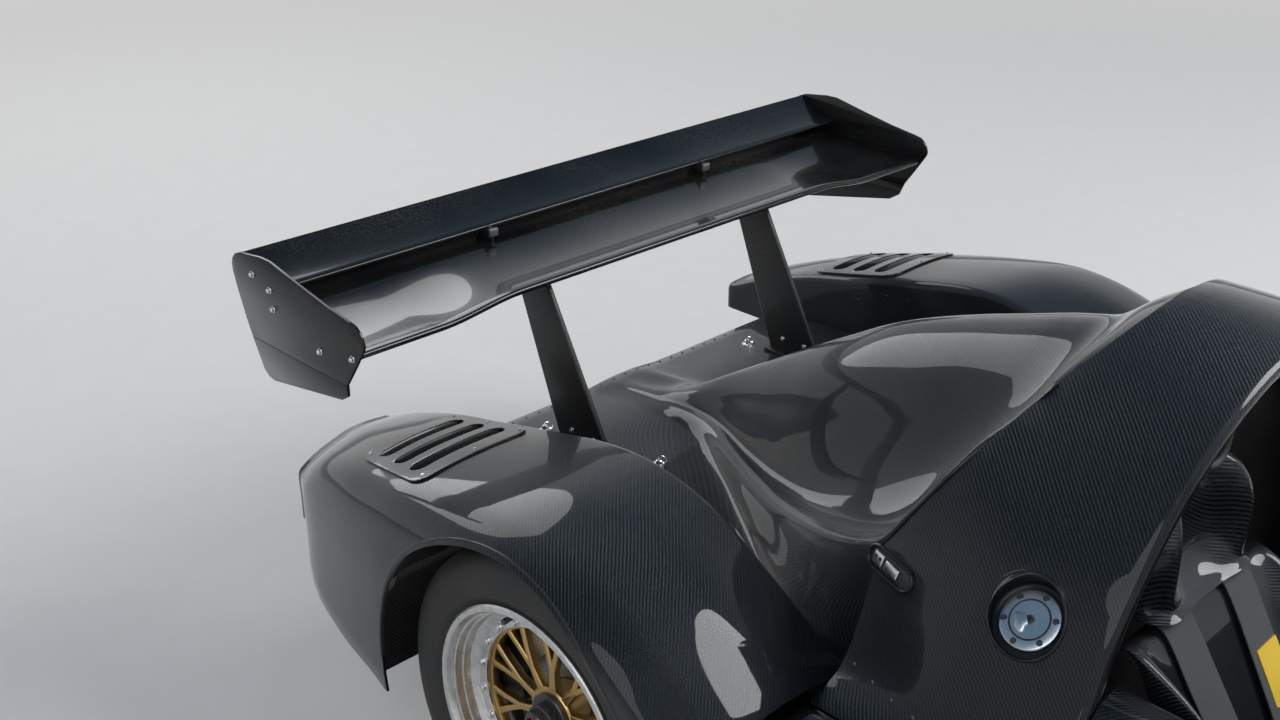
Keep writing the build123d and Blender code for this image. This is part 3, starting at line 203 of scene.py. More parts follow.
grain, source, result = new_group(
    "grain", [("Place", VECTOR, None), ("Size", FLOAT, 400.0)], [("Height", FLOAT), ("Cloud", FLOAT)]
)
fine = add_node(
    grain, "ShaderNodeTexNoise", {"Vector": source["Place"], "Scale": source["Size"], "Detail": 3.0}
)
broad = add_node(grain, "ShaderNodeTexNoise", {"Vector": source["Place"], "Scale": 9.0, "Detail": 4.0})
grain.links.new(fine.outputs["Fac"], result["Height"])
grain.links.new(broad.outputs["Fac"], result["Cloud"])

rings, source, result = new_group(
    "turned rings", [("Place", VECTOR, None), ("Rings", FLOAT, 2200.0)], [("Height", FLOAT), ("Radius", FLOAT)]
)
parts = add_node(rings, "ShaderNodeSeparateXYZ", {0: source["Place"]})
flat_place = add_node(rings, "ShaderNodeCombineXYZ", {0: parts.outputs["Y"], 1: parts.outputs["Z"]})
radius = add_node(
    rings, "ShaderNodeVectorMath", {0: flat_place.outputs[0]}, operation="LENGTH"
).outputs["Value"]
step = add_node(
    rings, "ShaderNodeCombineXYZ",
    {
        0: sums(rings, "MULTIPLY", radius, source["Rings"]),
        1: sums(rings, "MULTIPLY", parts.outputs["X"], source["Rings"])
    },
)
groove = add_node(rings, "ShaderNodeTexNoise", {"Vector": step.outputs[0], "Scale": 1.0, "Detail": 2.0})
rings.links.new(groove.outputs["Fac"], result["Height"])
rings.links.new(radius, result["Radius"])
print("shared effects:", [group.name for group in bpy.data.node_groups])

# %% [markdown]
# ## A starting point for every material
# The shader itself stays in the material. The helper sets its plain values and hands back what the
# next cells need: the network, the shader, and the place on the object.


# %% Helper that starts a material
def start_material(name, colour, roughness, metallic=0.0, coat=0.0, coat_roughness=0.03, **more):
    """A material with plain values on its shader. Returns the material, network, shader and place."""
    made = bpy.data.materials.new(name)
    made.use_nodes = True
    tree = made.node_tree
    shader = tree.nodes["Principled BSDF"]
    shader.inputs["Base Color"].default_value = (*colour, 1.0)
    shader.inputs["Roughness"].default_value = roughness
    shader.inputs["Metallic"].default_value = metallic
    shader.inputs["Coat Weight"].default_value = coat
    shader.inputs["Coat Roughness"].default_value = coat_roughness
    for key, value in more.items():
        shader.inputs[key.replace("_", " ").title().replace("Ior", "IOR")].default_value = value
    made.diffuse_color = (*colour, 1.0)
    place = tree.nodes.new("ShaderNodeTexCoord").outputs["Object"]
    return made, tree, shader, place


def use_effect(tree, group, **values):
    """Places a shared effect in a material."""
    box = tree.nodes.new("ShaderNodeGroup")
    box.node_tree = group
    for key, value in values.items():
        if isinstance(value, bpy.types.NodeSocket):
            tree.links.new(value, box.inputs[key])
        else:
            box.inputs[key].default_value = value
    return box.outputs


def feed(tree, shader, **links):
    """Links outputs to the shader's inputs by name."""
    for key, output in links.items():
        tree.links.new(output, shader.inputs[key.replace("_", " ").title()])


def bumped(tree, height, depth, strength=1.0):
    """Turns a height into a normal."""
    box = add_node(tree, "ShaderNodeBump", {"Height": height, "Distance": depth, "Strength": strength})
    return box.outputs["Normal"]


# %% [markdown]
# ## Carbon body panels
# The bodywork is bare carbon cloth under glossy clear lacquer. The cloth lies on the panel as it was
# draped in the mould, so its pattern follows the panel's own UV map, which is in metres. The coat of
# lacquer stays smooth while the tows below have their bump, which gives sharp reflections over a
# sparkling weave. Plain solids have no UV map, so there the weave reads the place on the object.


# %% Carbon materials
def carbon(name, low, high, roughness, coat, tow=0.00195, by_map=True, dusty=0.15, slope=0.0, shine=1.32):
    """Woven carbon with lacquer. Slope turns the cloth about the panel."""
    made, tree, shader, place = start_material(
        name, low, roughness, metallic=0.4, coat=coat, specular_ior_level=0.2, coat_ior=shine
    )
    if by_map:
        spot = add_node(tree, "ShaderNodeUVMap", uv_map="cloth").outputs[0]
    else:
        parts = add_node(tree, "ShaderNodeSeparateXYZ", {0: place})
        side = sums(tree, "ADD", parts.outputs["X"], parts.outputs["Z"])
        spot = add_node(tree, "ShaderNodeCombineXYZ", {0: side, 1: parts.outputs["Y"]}).outputs[0]
    turned = add_node(tree, "ShaderNodeMapping", {"Vector": spot})
    turned.inputs["Rotation"].default_value = (0.0, 0.0, slope)
    cloth = use_effect(tree, weave, Place=turned.outputs[0], Tow=tow, Spread=0.35)
    settled = use_effect(tree, dust, Place=place, Amount=dusty)
    # The cloth's colour: lighter on the tows of one direction, a painted sheen, with random tone between tows
    fibre_with_sheen = shade_between(tree, cloth["Sheen and tone"], low, high)
    worn = shade_between(tree, settled["Mask"], (0.0, 0.0, 0.0), (0.20, 0.175, 0.145))
    colour = add_node(tree, "ShaderNodeMix", data_type="RGBA", blend_type="ADD")
    colour.inputs[MIX_FACTOR].default_value = 1.0
    tree.links.new(fibre_with_sheen, colour.inputs[MIX_FIRST])
    tree.links.new(worn, colour.inputs[MIX_SECOND])
    rough = sums(tree, "MULTIPLY_ADD", settled["Mask"], 0.4, roughness)
    feed(
        tree, shader, base_color=colour.outputs[MIX_RESULT], roughness=rough,
        normal=bumped(tree, cloth["Height"], 0.0005, 0.8),
    )
    return made


body_carbon = carbon(
    "body_carbon_clear_coated", (0.0012, 0.0017, 0.0026), (0.012, 0.016, 0.021), 0.28, 1.0, dusty=0.03,
    slope=pi / 2
)
structure_carbon = carbon(
    "structure_carbon_satin", (0.006, 0.006, 0.007), (0.022, 0.022, 0.024), 0.42, 0.25, by_map=False, dusty=0.12
)
seat_carbon = carbon(
    "seat_carbon_gloss", (0.004, 0.005, 0.006), (0.022, 0.025, 0.030), 0.24, 1.0, by_map=False, dusty=0.02
)
print("carbon materials:", body_carbon.name, structure_carbon.name, seat_carbon.name)

# %% [markdown]
# ## Paint, metal, rubber, cloth and clear parts
# The wing is smooth black composite with the faint waviness of a sprayed finish. Metal differs by how
# it was made: turned rims have rings, castings have grain, anodised spokes are even. Rubber is dark
# and dull, with brown scuffs where it touched the road. Each of these gets its detail from the
# effects above, at the size that it has on the real car.


# %% Smooth and grained materials
def plain_finish(
    name, colour, roughness, metallic=0.0, coat=0.0, size=400.0, depth=0.0001, cloud=0.25, dusty=0.1, **more
):
    """Paint, plastic or cast metal: grain in the surface, clouds in the colour and a little dust."""
    made, tree, shader, place = start_material(name, colour, roughness, metallic, coat, **more)
    surface = use_effect(tree, grain, Place=place, Size=size)
    settled = use_effect(tree, dust, Place=place, Amount=dusty)
    dark = tuple(value * (1.0 - cloud) for value in colour)
    light = tuple(min(value * (1.0 + cloud), 1.0) for value in colour)
    clouded = shade_between(tree, surface["Cloud"], dark, light)
    colours = shade_between(tree, settled["Mask"], clouded, (0.30, 0.27, 0.23))
    rough = sums(tree, "MULTIPLY_ADD", surface["Cloud"], 0.16, roughness - 0.08)
    feed(tree, shader, base_color=colours, roughness=rough, normal=bumped(tree, surface["Height"], depth, 0.5))
    return made


wing_black = plain_finish(
    "wing_black_composite", (0.0040, 0.0042, 0.0048), 0.20, coat=0.7, size=90.0, depth=0.0002,
    specular_ior_level=0.2, coat_ior=1.32
)
louvre_black = plain_finish(
    "louvre_black_gloss", (0.0060, 0.0070, 0.0085), 0.20, coat=0.8, size=120.0, dusty=0.15,
    specular_ior_level=0.3, coat_ior=1.35
)
satin_black = plain_finish(
    "satin_black_paint", (0.0080, 0.0082, 0.0090), 0.38, coat=0.2, size=500.0, specular_ior_level=0.35,
    coat_ior=1.35
)
bright_metal = plain_finish("bright_machined_metal", (0.74, 0.74, 0.75), 0.24, 1.0, size=900.0, cloud=0.08)
cap_metal = plain_finish("fuel_cap_anodised", (0.60, 0.63, 0.66), 0.26, 1.0, size=900.0, cloud=0.06)
dark_bolt = plain_finish("dark_bolt_steel", (0.10, 0.10, 0.105), 0.35, 0.9, size=700.0)
cast_metal = plain_finish("cast_metal", (0.20, 0.20, 0.205), 0.50, 0.85, size=260.0, depth=0.0006, dusty=0.35)
gold_anodised = plain_finish(
    "wheel_gold_anodised", (0.56, 0.37, 0.15), 0.30, 1.0, size=600.0, cloud=0.12, dusty=0.15
)
caliper_paint = plain_finish("caliper_dark_anodised", (0.07, 0.07, 0.075), 0.35, 0.7, size=500.0, dusty=0.4)
red_anodised = plain_finish("red_anodised", (0.55, 0.03, 0.02), 0.3, 0.6)
black_rubber = plain_finish("black_rubber_trim", (0.018, 0.018, 0.018), 0.65, size=600.0, depth=0.0003)
suede = plain_finish(
    "grip_suede", (0.030, 0.028, 0.028), 0.9, size=1500.0, depth=0.0008, cloud=0.4, sheen_weight=0.5
)
tag_yellow = plain_finish("yellow_release_tab", (0.75, 0.50, 0.03), 0.6, size=1200.0, depth=0.0004)
mirror_glass = plain_finish("mirror_glass", (0.85, 0.87, 0.88), 0.05, 1.0, depth=0.0, dusty=0.03, cloud=0.02)
dial_face = plain_finish("dial_black_face", (0.012, 0.012, 0.012), 0.5)
dial_white = plain_finish("dial_white_marks", (0.75, 0.75, 0.72), 0.5, cloud=0.05)
light_red = plain_finish("rain_light_red", (0.40, 0.008, 0.006), 0.12, coat=1.0, dusty=0.05)
cooler_fins = plain_finish("cooler_fins", (0.06, 0.06, 0.062), 0.45, 0.8, size=900.0, depth=0.0004)

# %% Wheel materials, whose rings run round each axle
AXLES = {"front": (-1.181, 0.290), "rear": (1.269, 0.305)}


def about_axle(tree, place, end):
    """Place measured from the wheel's axle."""
    y, z = AXLES[end]
    return add_node(tree, "ShaderNodeVectorMath", {0: place, 1: (0.0, y, z)}, operation="SUBTRACT").outputs[0]


def turned_metal(name, end, colour, roughness, stain):
    """Metal off a lathe: fine rings round the axle, with stains."""
    made, tree, shader, place = start_material(name, colour, roughness, metallic=1.0)
    ring = use_effect(tree, rings, Place=about_axle(tree, place, end), Rings=1500.0)
    surface = use_effect(tree, grain, Place=place, Size=60.0)
    dirty = sums(tree, "MULTIPLY_ADD", surface["Height"], 3.0, -1.3, clamp=True)
    mark = sums(tree, "MULTIPLY", dirty, stain)
    colours = shade_between(tree, mark, colour, (0.16, 0.12, 0.09))
    rough = sums(tree, "MULTIPLY_ADD", ring["Height"], 0.22, roughness - 0.08)
    feed(tree, shader, base_color=colours, roughness=rough, normal=bumped(tree, ring["Height"], 0.00012, 0.5))
    return made


def slick_rubber(name, end, tread_radius):
    """Racing slick: dull rubber, brown scuffs on the tread and rings in the sidewall."""
    made, tree, shader, place = start_material(name, (0.018, 0.0175, 0.017), 0.62)
    ring = use_effect(tree, rings, Place=about_axle(tree, place, end), Rings=260.0)
    surface = use_effect(tree, grain, Place=place, Size=700.0)
    tread = sums(tree, "GREATER_THAN", ring["Radius"], tread_radius - 0.010)
    scuff = sums(tree, "MULTIPLY_ADD", surface["Cloud"], 4.0, -1.7, clamp=True)
    worn = sums(tree, "MULTIPLY", scuff, sums(tree, "MULTIPLY_ADD", tread, 0.5, 0.22))
    colours = shade_between(tree, worn, (0.017, 0.0168, 0.0165), (0.085, 0.066, 0.050))
    rough = sums(tree, "MULTIPLY_ADD", surface["Cloud"], 0.3, 0.48)
    both = sums(tree, "MULTIPLY_ADD", ring["Height"], 0.5, surface["Height"])
    feed(tree, shader, base_color=colours, roughness=rough, normal=bumped(tree, both, 0.0004, 0.6))
    return made


rim_metal = {end: turned_metal("rim_polished_" + end, end, (0.74, 0.73, 0.72), 0.24, 0.35) for end in AXLES}
disc_metal = {end: turned_metal("brake_disc_" + end, end, (0.36, 0.35, 0.34), 0.36, 0.2) for end in AXLES}
rubber = {
    "front": slick_rubber("slick_rubber_front", "front", 0.290),
    "rear": slick_rubber("slick_rubber_rear", "rear", 0.305),
}

# %% [markdown]
# ### Webbing, padding and clear plastic
# Harness webbing is woven with ribs across its width, so its pattern follows the strap's own map.
# The pads are covered in fine cloth. The screen and lamp covers are thin clear plastic, a little
# smoky, for which the shader's plain transmission is enough.


# %% Cloth and clear materials
def ribbed_cloth(name, colour, pitch, by_map):
    """Cloth with fine ribs across it."""
    made, tree, shader, place = start_material(name, colour, 0.8, sheen_weight=0.3)
    spot = add_node(tree, "ShaderNodeUVMap", uv_map="cloth").outputs[0] if by_map else place
    parts = add_node(tree, "ShaderNodeSeparateXYZ", {0: spot})
    up = parts.outputs["Y"] if by_map else parts.outputs["Z"]
    rib = sums(tree, "ABSOLUTE", sums(tree, "SINE", sums(tree, "MULTIPLY", up, pi / pitch)))
    thread = sums(
        tree, "ABSOLUTE", sums(tree, "SINE", sums(tree, "MULTIPLY", parts.outputs["X"], pi / (0.6 * pitch)))
    )
    both = sums(tree, "MULTIPLY_ADD", thread, 0.4, rib)
    surface = use_effect(tree, grain, Place=place, Size=300.0)
    worn = sums(tree, "MULTIPLY_ADD", surface["Cloud"], 1.6, -0.4, clamp=True)
    colours = shade_between(
        tree, worn, tuple(0.7 * value for value in colour), tuple(1.5 * value for value in colour)
    )
    feed(tree, shader, base_color=colours, normal=bumped(tree, both, 0.0005, 0.8))
    return made


def clear_plastic(name, colour, roughness):
    """Thin clear plastic with fine wiping marks."""
    made, tree, shader, place = start_material(name, colour, roughness, transmission_weight=1.0, ior=1.45)
    surface = use_effect(tree, grain, Place=place, Size=30.0)
    feed(tree, shader, roughness=sums(tree, "MULTIPLY_ADD", surface["Cloud"], 0.06, roughness))
    return made


webbing = ribbed_cloth("strap_webbing", (0.028, 0.028, 0.030), 0.0016, True)
pad_cloth = ribbed_cloth("pad_cloth", (0.022, 0.022, 0.024), 0.0020, False)
clear_screen = clear_plastic("clear_screen", (0.80, 0.84, 0.86), 0.02)
lamp_clear = clear_plastic("lamp_cover_clear", (0.90, 0.92, 0.93), 0.02)
print("materials:", len(bpy.data.materials))

# %% [markdown]
# ## Floor, world and lamps
# A black glossy car shows mostly what surrounds it. The floor and the sky are pale and plain, and
# the sky is a little darker and cooler overhead, so the upper panels turn blue-black as in open air.
# One big soft lamp stands where the sun stood, ahead on the car's left, and a weaker one fills in.

# %% Set the stage
bpy.ops.object.select_all(action="DESELECT")
bpy.ops.mesh.primitive_circle_add(vertices=96, radius=30.0, fill_type="NGON", location=(0, 0, -0.001))
ground = bpy.context.object
ground.name = "ground"
ground_pale, tree, shader, place = start_material("ground_pale", (0.66, 0.63, 0.60), 0.85)
surface = use_effect(tree, grain, Place=place, Size=120.0)
near = shade_between(tree, surface["Cloud"], (0.64, 0.61, 0.575), (0.68, 0.655, 0.63))
distance = add_node(tree, "ShaderNodeVectorMath", {0: place}, operation="LENGTH").outputs["Value"]
far = sums(tree, "MULTIPLY_ADD", distance, 0.16, -0.55, clamp=True)
far = sums(tree, "MULTIPLY", far, tree.nodes.new("ShaderNodeLightPath").outputs["Is Camera Ray"])
feed(
    tree, shader, base_color=shade_between(tree, far, near, (0.0, 0.0, 0.0)),
    emission_color=shade_between(tree, far, (0.0, 0.0, 0.0), (0.63, 0.62, 0.61)),
)
shader.inputs["Emission Strength"].default_value = 1.0
ground.data.materials.append(ground_pale)

world = bpy.data.worlds.new("open sky")
bpy.context.scene.world = world
world.use_nodes = True
sky = world.node_tree
way = sky.nodes.new("ShaderNodeTexCoord").outputs["Generated"]
parts = add_node(sky, "ShaderNodeSeparateXYZ", {0: way})
upward = sums(sky, "MULTIPLY_ADD", parts.outputs["Z"], 1.6, -0.05, clamp=True)
seen = sums(sky, "SUBTRACT", 1.0, sky.nodes.new("ShaderNodeLightPath").outputs["Is Camera Ray"])
tint = shade_between(sky, sums(sky, "MULTIPLY", upward, seen), (0.80, 0.79, 0.78), (0.12, 0.20, 0.29))
sky.links.new(tint, sky.nodes["Background"].inputs["Color"])
sky.nodes["Background"].inputs["Strength"].default_value = 0.9


def soft_lamp(name, place, size, power):
    """A round soft lamp that points at the middle of the car."""
    bpy.ops.object.light_add(type="AREA", location=place)
    lamp = bpy.context.object
    lamp.data.shape = "DISK"
    lamp.name = name
    lamp.data.size = size
    lamp.data.energy = power
    lamp.rotation_euler = (Vector((0.0, 0.4, 0.5)) - Vector(place)).to_track_quat("-Z", "Y").to_euler()


soft_lamp("main_lamp", (4.6, -3.2, 6.2), 4.5, 540.0)
soft_lamp("fill_lamp", (-6.0, -1.0, 5.0), 6.0, 160.0)
soft_lamp("back_lamp", (1.0, 7.0, 4.5), 5.0, 170.0)

# %% [markdown]
# ## Helpers for modelling
# The panels of this car are free curves, too large to shape face by face. Each is measured as ribs,
# outlines at stated places along the car, and a grid is laid over them. The grid starts as Blender's
# own grid primitive with the right number of rows and columns, and its corners move to a smooth
# surface through the ribs. The same grid carries the cloth's map: how far across and how far along,
# in metres. A wall, cut-outs and small bevels then come from modifiers that are applied.


# %% Helpers: clean start, smooth lines, finishing
def start_clean():
    """Back to object mode with nothing selected."""
    if bpy.context.object and bpy.context.object.mode != "OBJECT":
        bpy.ops.object.mode_set(mode="OBJECT")
    bpy.ops.object.select_all(action="DESELECT")


def through(points, cuts):
    """A smooth line through the points, with that many steps from each to the next."""
    points = np.asarray(points, float)
    step = np.diff(points, axis=0)
    chord = np.linalg.norm(step, axis=1).reshape(-1, 1) + 1e-9
    lean = np.empty_like(points)
    lean[1:-1] = (points[2:] - points[:-2]) / (chord[:-1] + chord[1:])
    lean[0], lean[-1] = step[0] / chord[0], step[-1] / chord[-1]
    line = []
    for start, end, out, back, length in zip(points[:-1], points[1:], lean[:-1], lean[1:], chord):
        for t in np.arange(cuts) / cuts:
            line.append(
                start * (2 * t**3 - 3 * t**2 + 1) + end * (3 * t**2 - 2 * t**3)
                + length * (out * (t**3 - 2 * t**2 + t) + back * (t**3 - t**2))
            )
    return np.array(line + [points[-1]])


def activate(piece):
    """Selects one piece and makes it the active one."""
    start_clean()
    piece.select_set(True)
    bpy.context.view_layer.objects.active = piece


def modify(piece, kind, **settings):
    """Adds a modifier and applies it."""
    activate(piece)
    added = piece.modifiers.new(kind.lower(), kind)
    for key, value in settings.items():
        setattr(added, key, value)
    bpy.ops.object.modifier_apply(modifier=added.name)


def soften(piece, width, segments=2, angle=50):
    """Rounds the edges that are sharper than an angle, in degrees."""
    modify(piece, "BEVEL", width=width, segments=segments, limit_method="ANGLE", angle_limit=radians(angle))


def cut_away(piece, cutter):
    """Takes a closed shape out of a piece and deletes the shape."""
    modify(piece, "BOOLEAN", operation="DIFFERENCE", solver="EXACT", object=cutter)
    bpy.data.objects.remove(cutter, do_unlink=True)


def settle(piece, material, body, replaces=(), angle=38.0):
    """Puts a finished piece at the origin, smooths it, and gives it its finish and body."""
    activate(piece)
    bpy.ops.object.transform_apply(location=True, rotation=True, scale=True)
    bpy.ops.object.shade_smooth_by_angle(angle=radians(angle))
    if material:
        piece.data.materials.clear()
        piece.data.materials.append(material)
    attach(piece, body)
    if replaces:
        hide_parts(*replaces)
    start_clean()
    return piece


# %% Helpers: closed ends, grids over ribs
def close_ends(piece):
    """Fills the open ends of a piece and turns its faces outwards."""
    activate(piece)
    bpy.ops.object.mode_set(mode="EDIT")
    bpy.ops.mesh.select_mode(type="VERT")
    bpy.ops.mesh.select_all(action="DESELECT")
    bpy.ops.mesh.select_non_manifold(extend=False)
    bpy.ops.mesh.edge_face_add()
    bpy.ops.mesh.select_all(action="SELECT")
    bpy.ops.mesh.normals_make_consistent(inside=False)
    bpy.ops.object.mode_set(mode="OBJECT")
    return piece


def laid_grid(name, places, outwards=None, loop=False):
    """Blender's grid with its corners moved to the places, rows by columns, and a map in metres."""
    places = np.asarray(places, float)
    rows, columns = places.shape[:2]
    start_clean()
    bpy.ops.mesh.primitive_grid_add(x_subdivisions=columns - 1, y_subdivisions=rows - 1, size=1.0)
    piece = bpy.context.object
    piece.name = name
    piece.data.vertices.foreach_set("co", places.reshape(-1).astype(np.float32))
    across = np.zeros((rows, columns))
    across[:, 1:] = np.cumsum(np.linalg.norm(np.diff(places, axis=1), axis=2), axis=1)
    across -= across[:, columns // 2 : columns // 2 + 1]
    along = np.zeros((rows, columns))
    along[1:] = np.cumsum(np.linalg.norm(np.diff(places, axis=0), axis=2), axis=0)
    flat = np.stack([across, along], axis=2).reshape(-1, 2)
    cloth_map = piece.data.uv_layers[0]
    cloth_map.name = "cloth"
    corner = np.zeros(len(piece.data.loops), dtype=np.int32)
    piece.data.loops.foreach_get("vertex_index", corner)
    cloth_map.data.foreach_set("uv", flat[corner].reshape(-1).astype(np.float32))
    piece.data.update()
    bpy.ops.object.mode_set(mode="EDIT")
    bpy.ops.mesh.select_all(action="SELECT")
    if loop:
        bpy.ops.mesh.remove_doubles(threshold=MERGE_WITHIN)
    if outwards is None:
        bpy.ops.mesh.normals_make_consistent(inside=False)
    bpy.ops.object.mode_set(mode="OBJECT")
    if outwards is not None:
        facing = sum((face.normal * face.area for face in piece.data.polygons), Vector())
        if facing.dot(Vector(outwards)) < 0.0:
            piece.data.flip_normals()
    return piece


def panel(name, ribs, cuts=(4, 4), wall=0.0, outwards=(0, 0, 1), loop=False):
    """A smooth sheet over ribs, with a wall inside it."""
    lines = np.array([through(rib, cuts[0]) for rib in np.asarray(ribs, float)])
    places = np.stack([through(lines[:, i], cuts[1]) for i in range(lines.shape[1])], axis=1)
    piece = laid_grid(name, places, outwards, loop)
    if wall:
        modify(piece, "SOLIDIFY", thickness=wall, offset=-1.0)
    return piece


def plate(name, outline, thickness, bevel=0.0, segments=2):
    """A flat plate: a filled circle whose corners move to the outline, extruded."""
    start_clean()
    bpy.ops.mesh.primitive_circle_add(vertices=len(outline), fill_type="NGON")
    piece = bpy.context.object
    piece.name = name
    piece.data.vertices.foreach_set("co", np.asarray(outline, np.float32).reshape(-1))
    piece.data.update()
    bpy.ops.object.mode_set(mode="EDIT")
    bpy.ops.mesh.select_all(action="SELECT")
    bpy.ops.mesh.extrude_region_move(TRANSFORM_OT_translate={"value": tuple(thickness)})
    bpy.ops.mesh.select_all(action="SELECT")
    bpy.ops.mesh.normals_make_consistent(inside=False)
    bpy.ops.object.mode_set(mode="OBJECT")
    if bevel:
        soften(piece, bevel, segments, 40)
    return piece


def wheel_of(name, profile, centre, steps=96, turn_by=2.0 * pi):
    """Spins a closed outline of (outwards, radius) points about an axle that runs along X."""
    start_clean()
    bpy.ops.mesh.primitive_circle_add(vertices=len(profile), fill_type="NOTHING")
    piece = bpy.context.object
    piece.name = name
    corners = [(x, centre[1], centre[2] + radius) for x, radius in profile]
    piece.data.vertices.foreach_set("co", np.asarray(corners, np.float32).reshape(-1))
    piece.data.update()
    bpy.ops.object.mode_set(mode="EDIT")
    bpy.ops.mesh.select_all(action="SELECT")
    bpy.ops.mesh.spin(steps=steps, angle=turn_by, center=centre, axis=(1, 0, 0))
    bpy.ops.mesh.select_all(action="SELECT")
    bpy.ops.mesh.remove_doubles(threshold=MERGE_WITHIN)
    bpy.ops.mesh.normals_make_consistent(inside=False)
    bpy.ops.object.mode_set(mode="OBJECT")
    return piece


def joined(pieces, name):
    """Joins several meshes into one piece."""
    activate(pieces[0])
    for piece in pieces:
        piece.select_set(True)
    bpy.ops.object.join()
    whole = bpy.context.object
    whole.name = name
    start_clean()
    return whole


def copies(model, name, placings):
    """Copies a small part to many places, each with its own mesh, and joins them."""
    made = []
    for matrix in placings:
        twin = model.copy()
        twin.data = model.data.copy()
        bpy.context.scene.collection.objects.link(twin)
        twin.data.transform(matrix)
        made.append(twin)
    bpy.data.objects.remove(model, do_unlink=True)
    return joined(made, name)


def facing(place, direction, spin=0.0):
    """A matrix that stands a part's own Z along a direction, at a place."""
    turned = Vector(direction).to_track_quat("Z", "Y").to_matrix().to_4x4()
    return Matrix.Translation(Vector(place)) @ turned @ Matrix.Rotation(spin, 4, "Z")


def both_halves(half_line):
    """A half outline, from the middle outwards, made whole from right to left."""
    return [(-x, z) for x, z in reversed(half_line[1:])] + list(half_line)


def across_car(y, line):
    """An outline of (x, z) in millimetres as points at one place along the car, in metres."""
    return [(x * MM, y * MM, z * MM) for x, z in line]


print("modelling helpers ready")

# %% [markdown]
# ## The rear clam
# The deck behind the seats and the engine cover are one moulding. The cover starts as high as the
# hoop and runs out into a low spine on the deck, with a hollow on each side and a soft crest along
# the hollow's outer edge. Fourteen ribs give that shape. Behind the hoop the panel is cut along the
# joint with the fairing: upright at the sides, then leaning forward with the hoop.

# %% Rear clam: deck and engine cover
REAR_AXLE, FRONT_AXLE = 1269.0, -1181.0
FENDER_IN, DECK = 497.0, 485.0
BODY_SIDE, UNDERSIDE, NOSE_TIP = 860.0, 73.0, 868.0
REAR_HUB, FRONT_HUB = AXLES["rear"][1], AXLES["front"][1]
REAR_ARCH, FRONT_ARCH = 0.335, 0.320
clam_ribs = [
    # behind the rear axle, then half width and height over the deck from the spine outwards
    (-600, [(0, 527), (150, 495), (300, 420), (400, 335), (465, 255), (468, 225), (485, 35)]),
    (-553, [(0, 497), (130, 477), (262, 449), (306, 424), (346, 380), (370, 340), (486, 35)]),
    (-520, [(0, 470), (120, 442), (232, 407), (318, 396), (350, 387), (373, 360), (486, 35)]),
    (-488, [(0, 450), (120, 415), (220, 358), (320, 342), (396, 340), (412, 322), (487, 35)]),
    (-446, [(0, 438), (120, 397), (220, 307), (328, 267), (426, 268), (440, 259), (487, 32)]),
    (-404, [(0, 427), (120, 383), (220, 260), (338, 188), (440, 206), (453, 199), (488, 31)]),
    (-340, [(0, 407), (120, 360), (216, 215), (323, 143), (426, 170), (441, 165), (481, 23)]),
    (-230, [(0, 372), (120, 320), (200, 175), (290, 98), (382, 128), (398, 122), (442, 10)]),
    (-100, [(0, 323), (108, 270), (172, 135), (238, 58), (312, 86), (328, 80), (360, 4)]),
    (10, [(0, 263), (90, 215), (142, 102), (189, 36), (244, 60), (260, 54), (286, 2)]),
    (120, [(0, 198), (66, 155), (104, 74), (137, 23), (174, 39), (189, 34), (212, 1)]),
    (290, [(0, 93), (30, 70), (44, 42), (58, 16), (76, 16), (88, 12), (112, 0)]),
    (440, [(0, 9), (20, 8.6), (30, 7.8), (45, 5.8), (60, 3), (75, 1.5), (110, 0)]),
    (600, [(0, -9), (20, -9.2), (30, -9.6), (45, -10.4), (60, -11.6), (75, -13), (110, -16)]),
]
clam_lines = []
for behind, half in clam_ribs:
    edge = DECK + min(half[-1][1], 0)
    line = [(x, DECK + up) for x, up in half] + [((half[-1][0] + 495.0) / 2.0, edge), (495.0, edge)]
    clam_lines.append(across_car(REAR_AXLE + behind, both_halves(line)))
rear_clam = panel("rear_clam_skin", clam_lines, cuts=(5, 5), wall=0.005)

JOINT_Y, JOINT_Z, LEAN_Y, LEAN_Z = 859.0, 680.0, 649.0, 1040.0


def joint_cutter(side, shift):
    """A solid ahead of the joint (side -1) or behind it (side 1), moved by the shift in metres."""
    far = side * 900.0
    outline = [
        (JOINT_Y, 0.0), (JOINT_Y, JOINT_Z), (2 * LEAN_Y - JOINT_Y, 2 * LEAN_Z - JOINT_Z),
        (JOINT_Y + far, 2 * LEAN_Z - JOINT_Z), (JOINT_Y + far, 0.0),
    ]
    corners = [(-1.0, y * MM + shift, z * MM) for y, z in outline]
    return plate("cutter", corners, (2.0, 0, 0))


cut_away(rear_clam, joint_cutter(-1, -0.0020))
soften(rear_clam, 0.0012)
settle(rear_clam, body_carbon, "chassis", ["rear_clam"])
print("rear clam faces:", len(rear_clam.data.polygons))

# %% [markdown]
# ## The hoop fairing
# The tall arch behind the cockpit carries the eye in every view. Its front rim is rolled inwards in
# a fat round lip, so the ribs don't stop at the rim: they go on round the lip and back inside. Each
# lip rib is the rim's own outline moved inwards, corner by corner.


# %% Hoop fairing with its rolled rim
def moved_inwards(line, wall):
    """An outline of (x, z) moved in by a wall, at right angles to itself."""
    line = np.asarray(line, float)
    way = np.gradient(line, axis=0)
    way /= np.linalg.norm(way, axis=1).reshape(-1, 1)
    return line + wall * np.stack([way[:, 1], -way[:, 0]], axis=1)


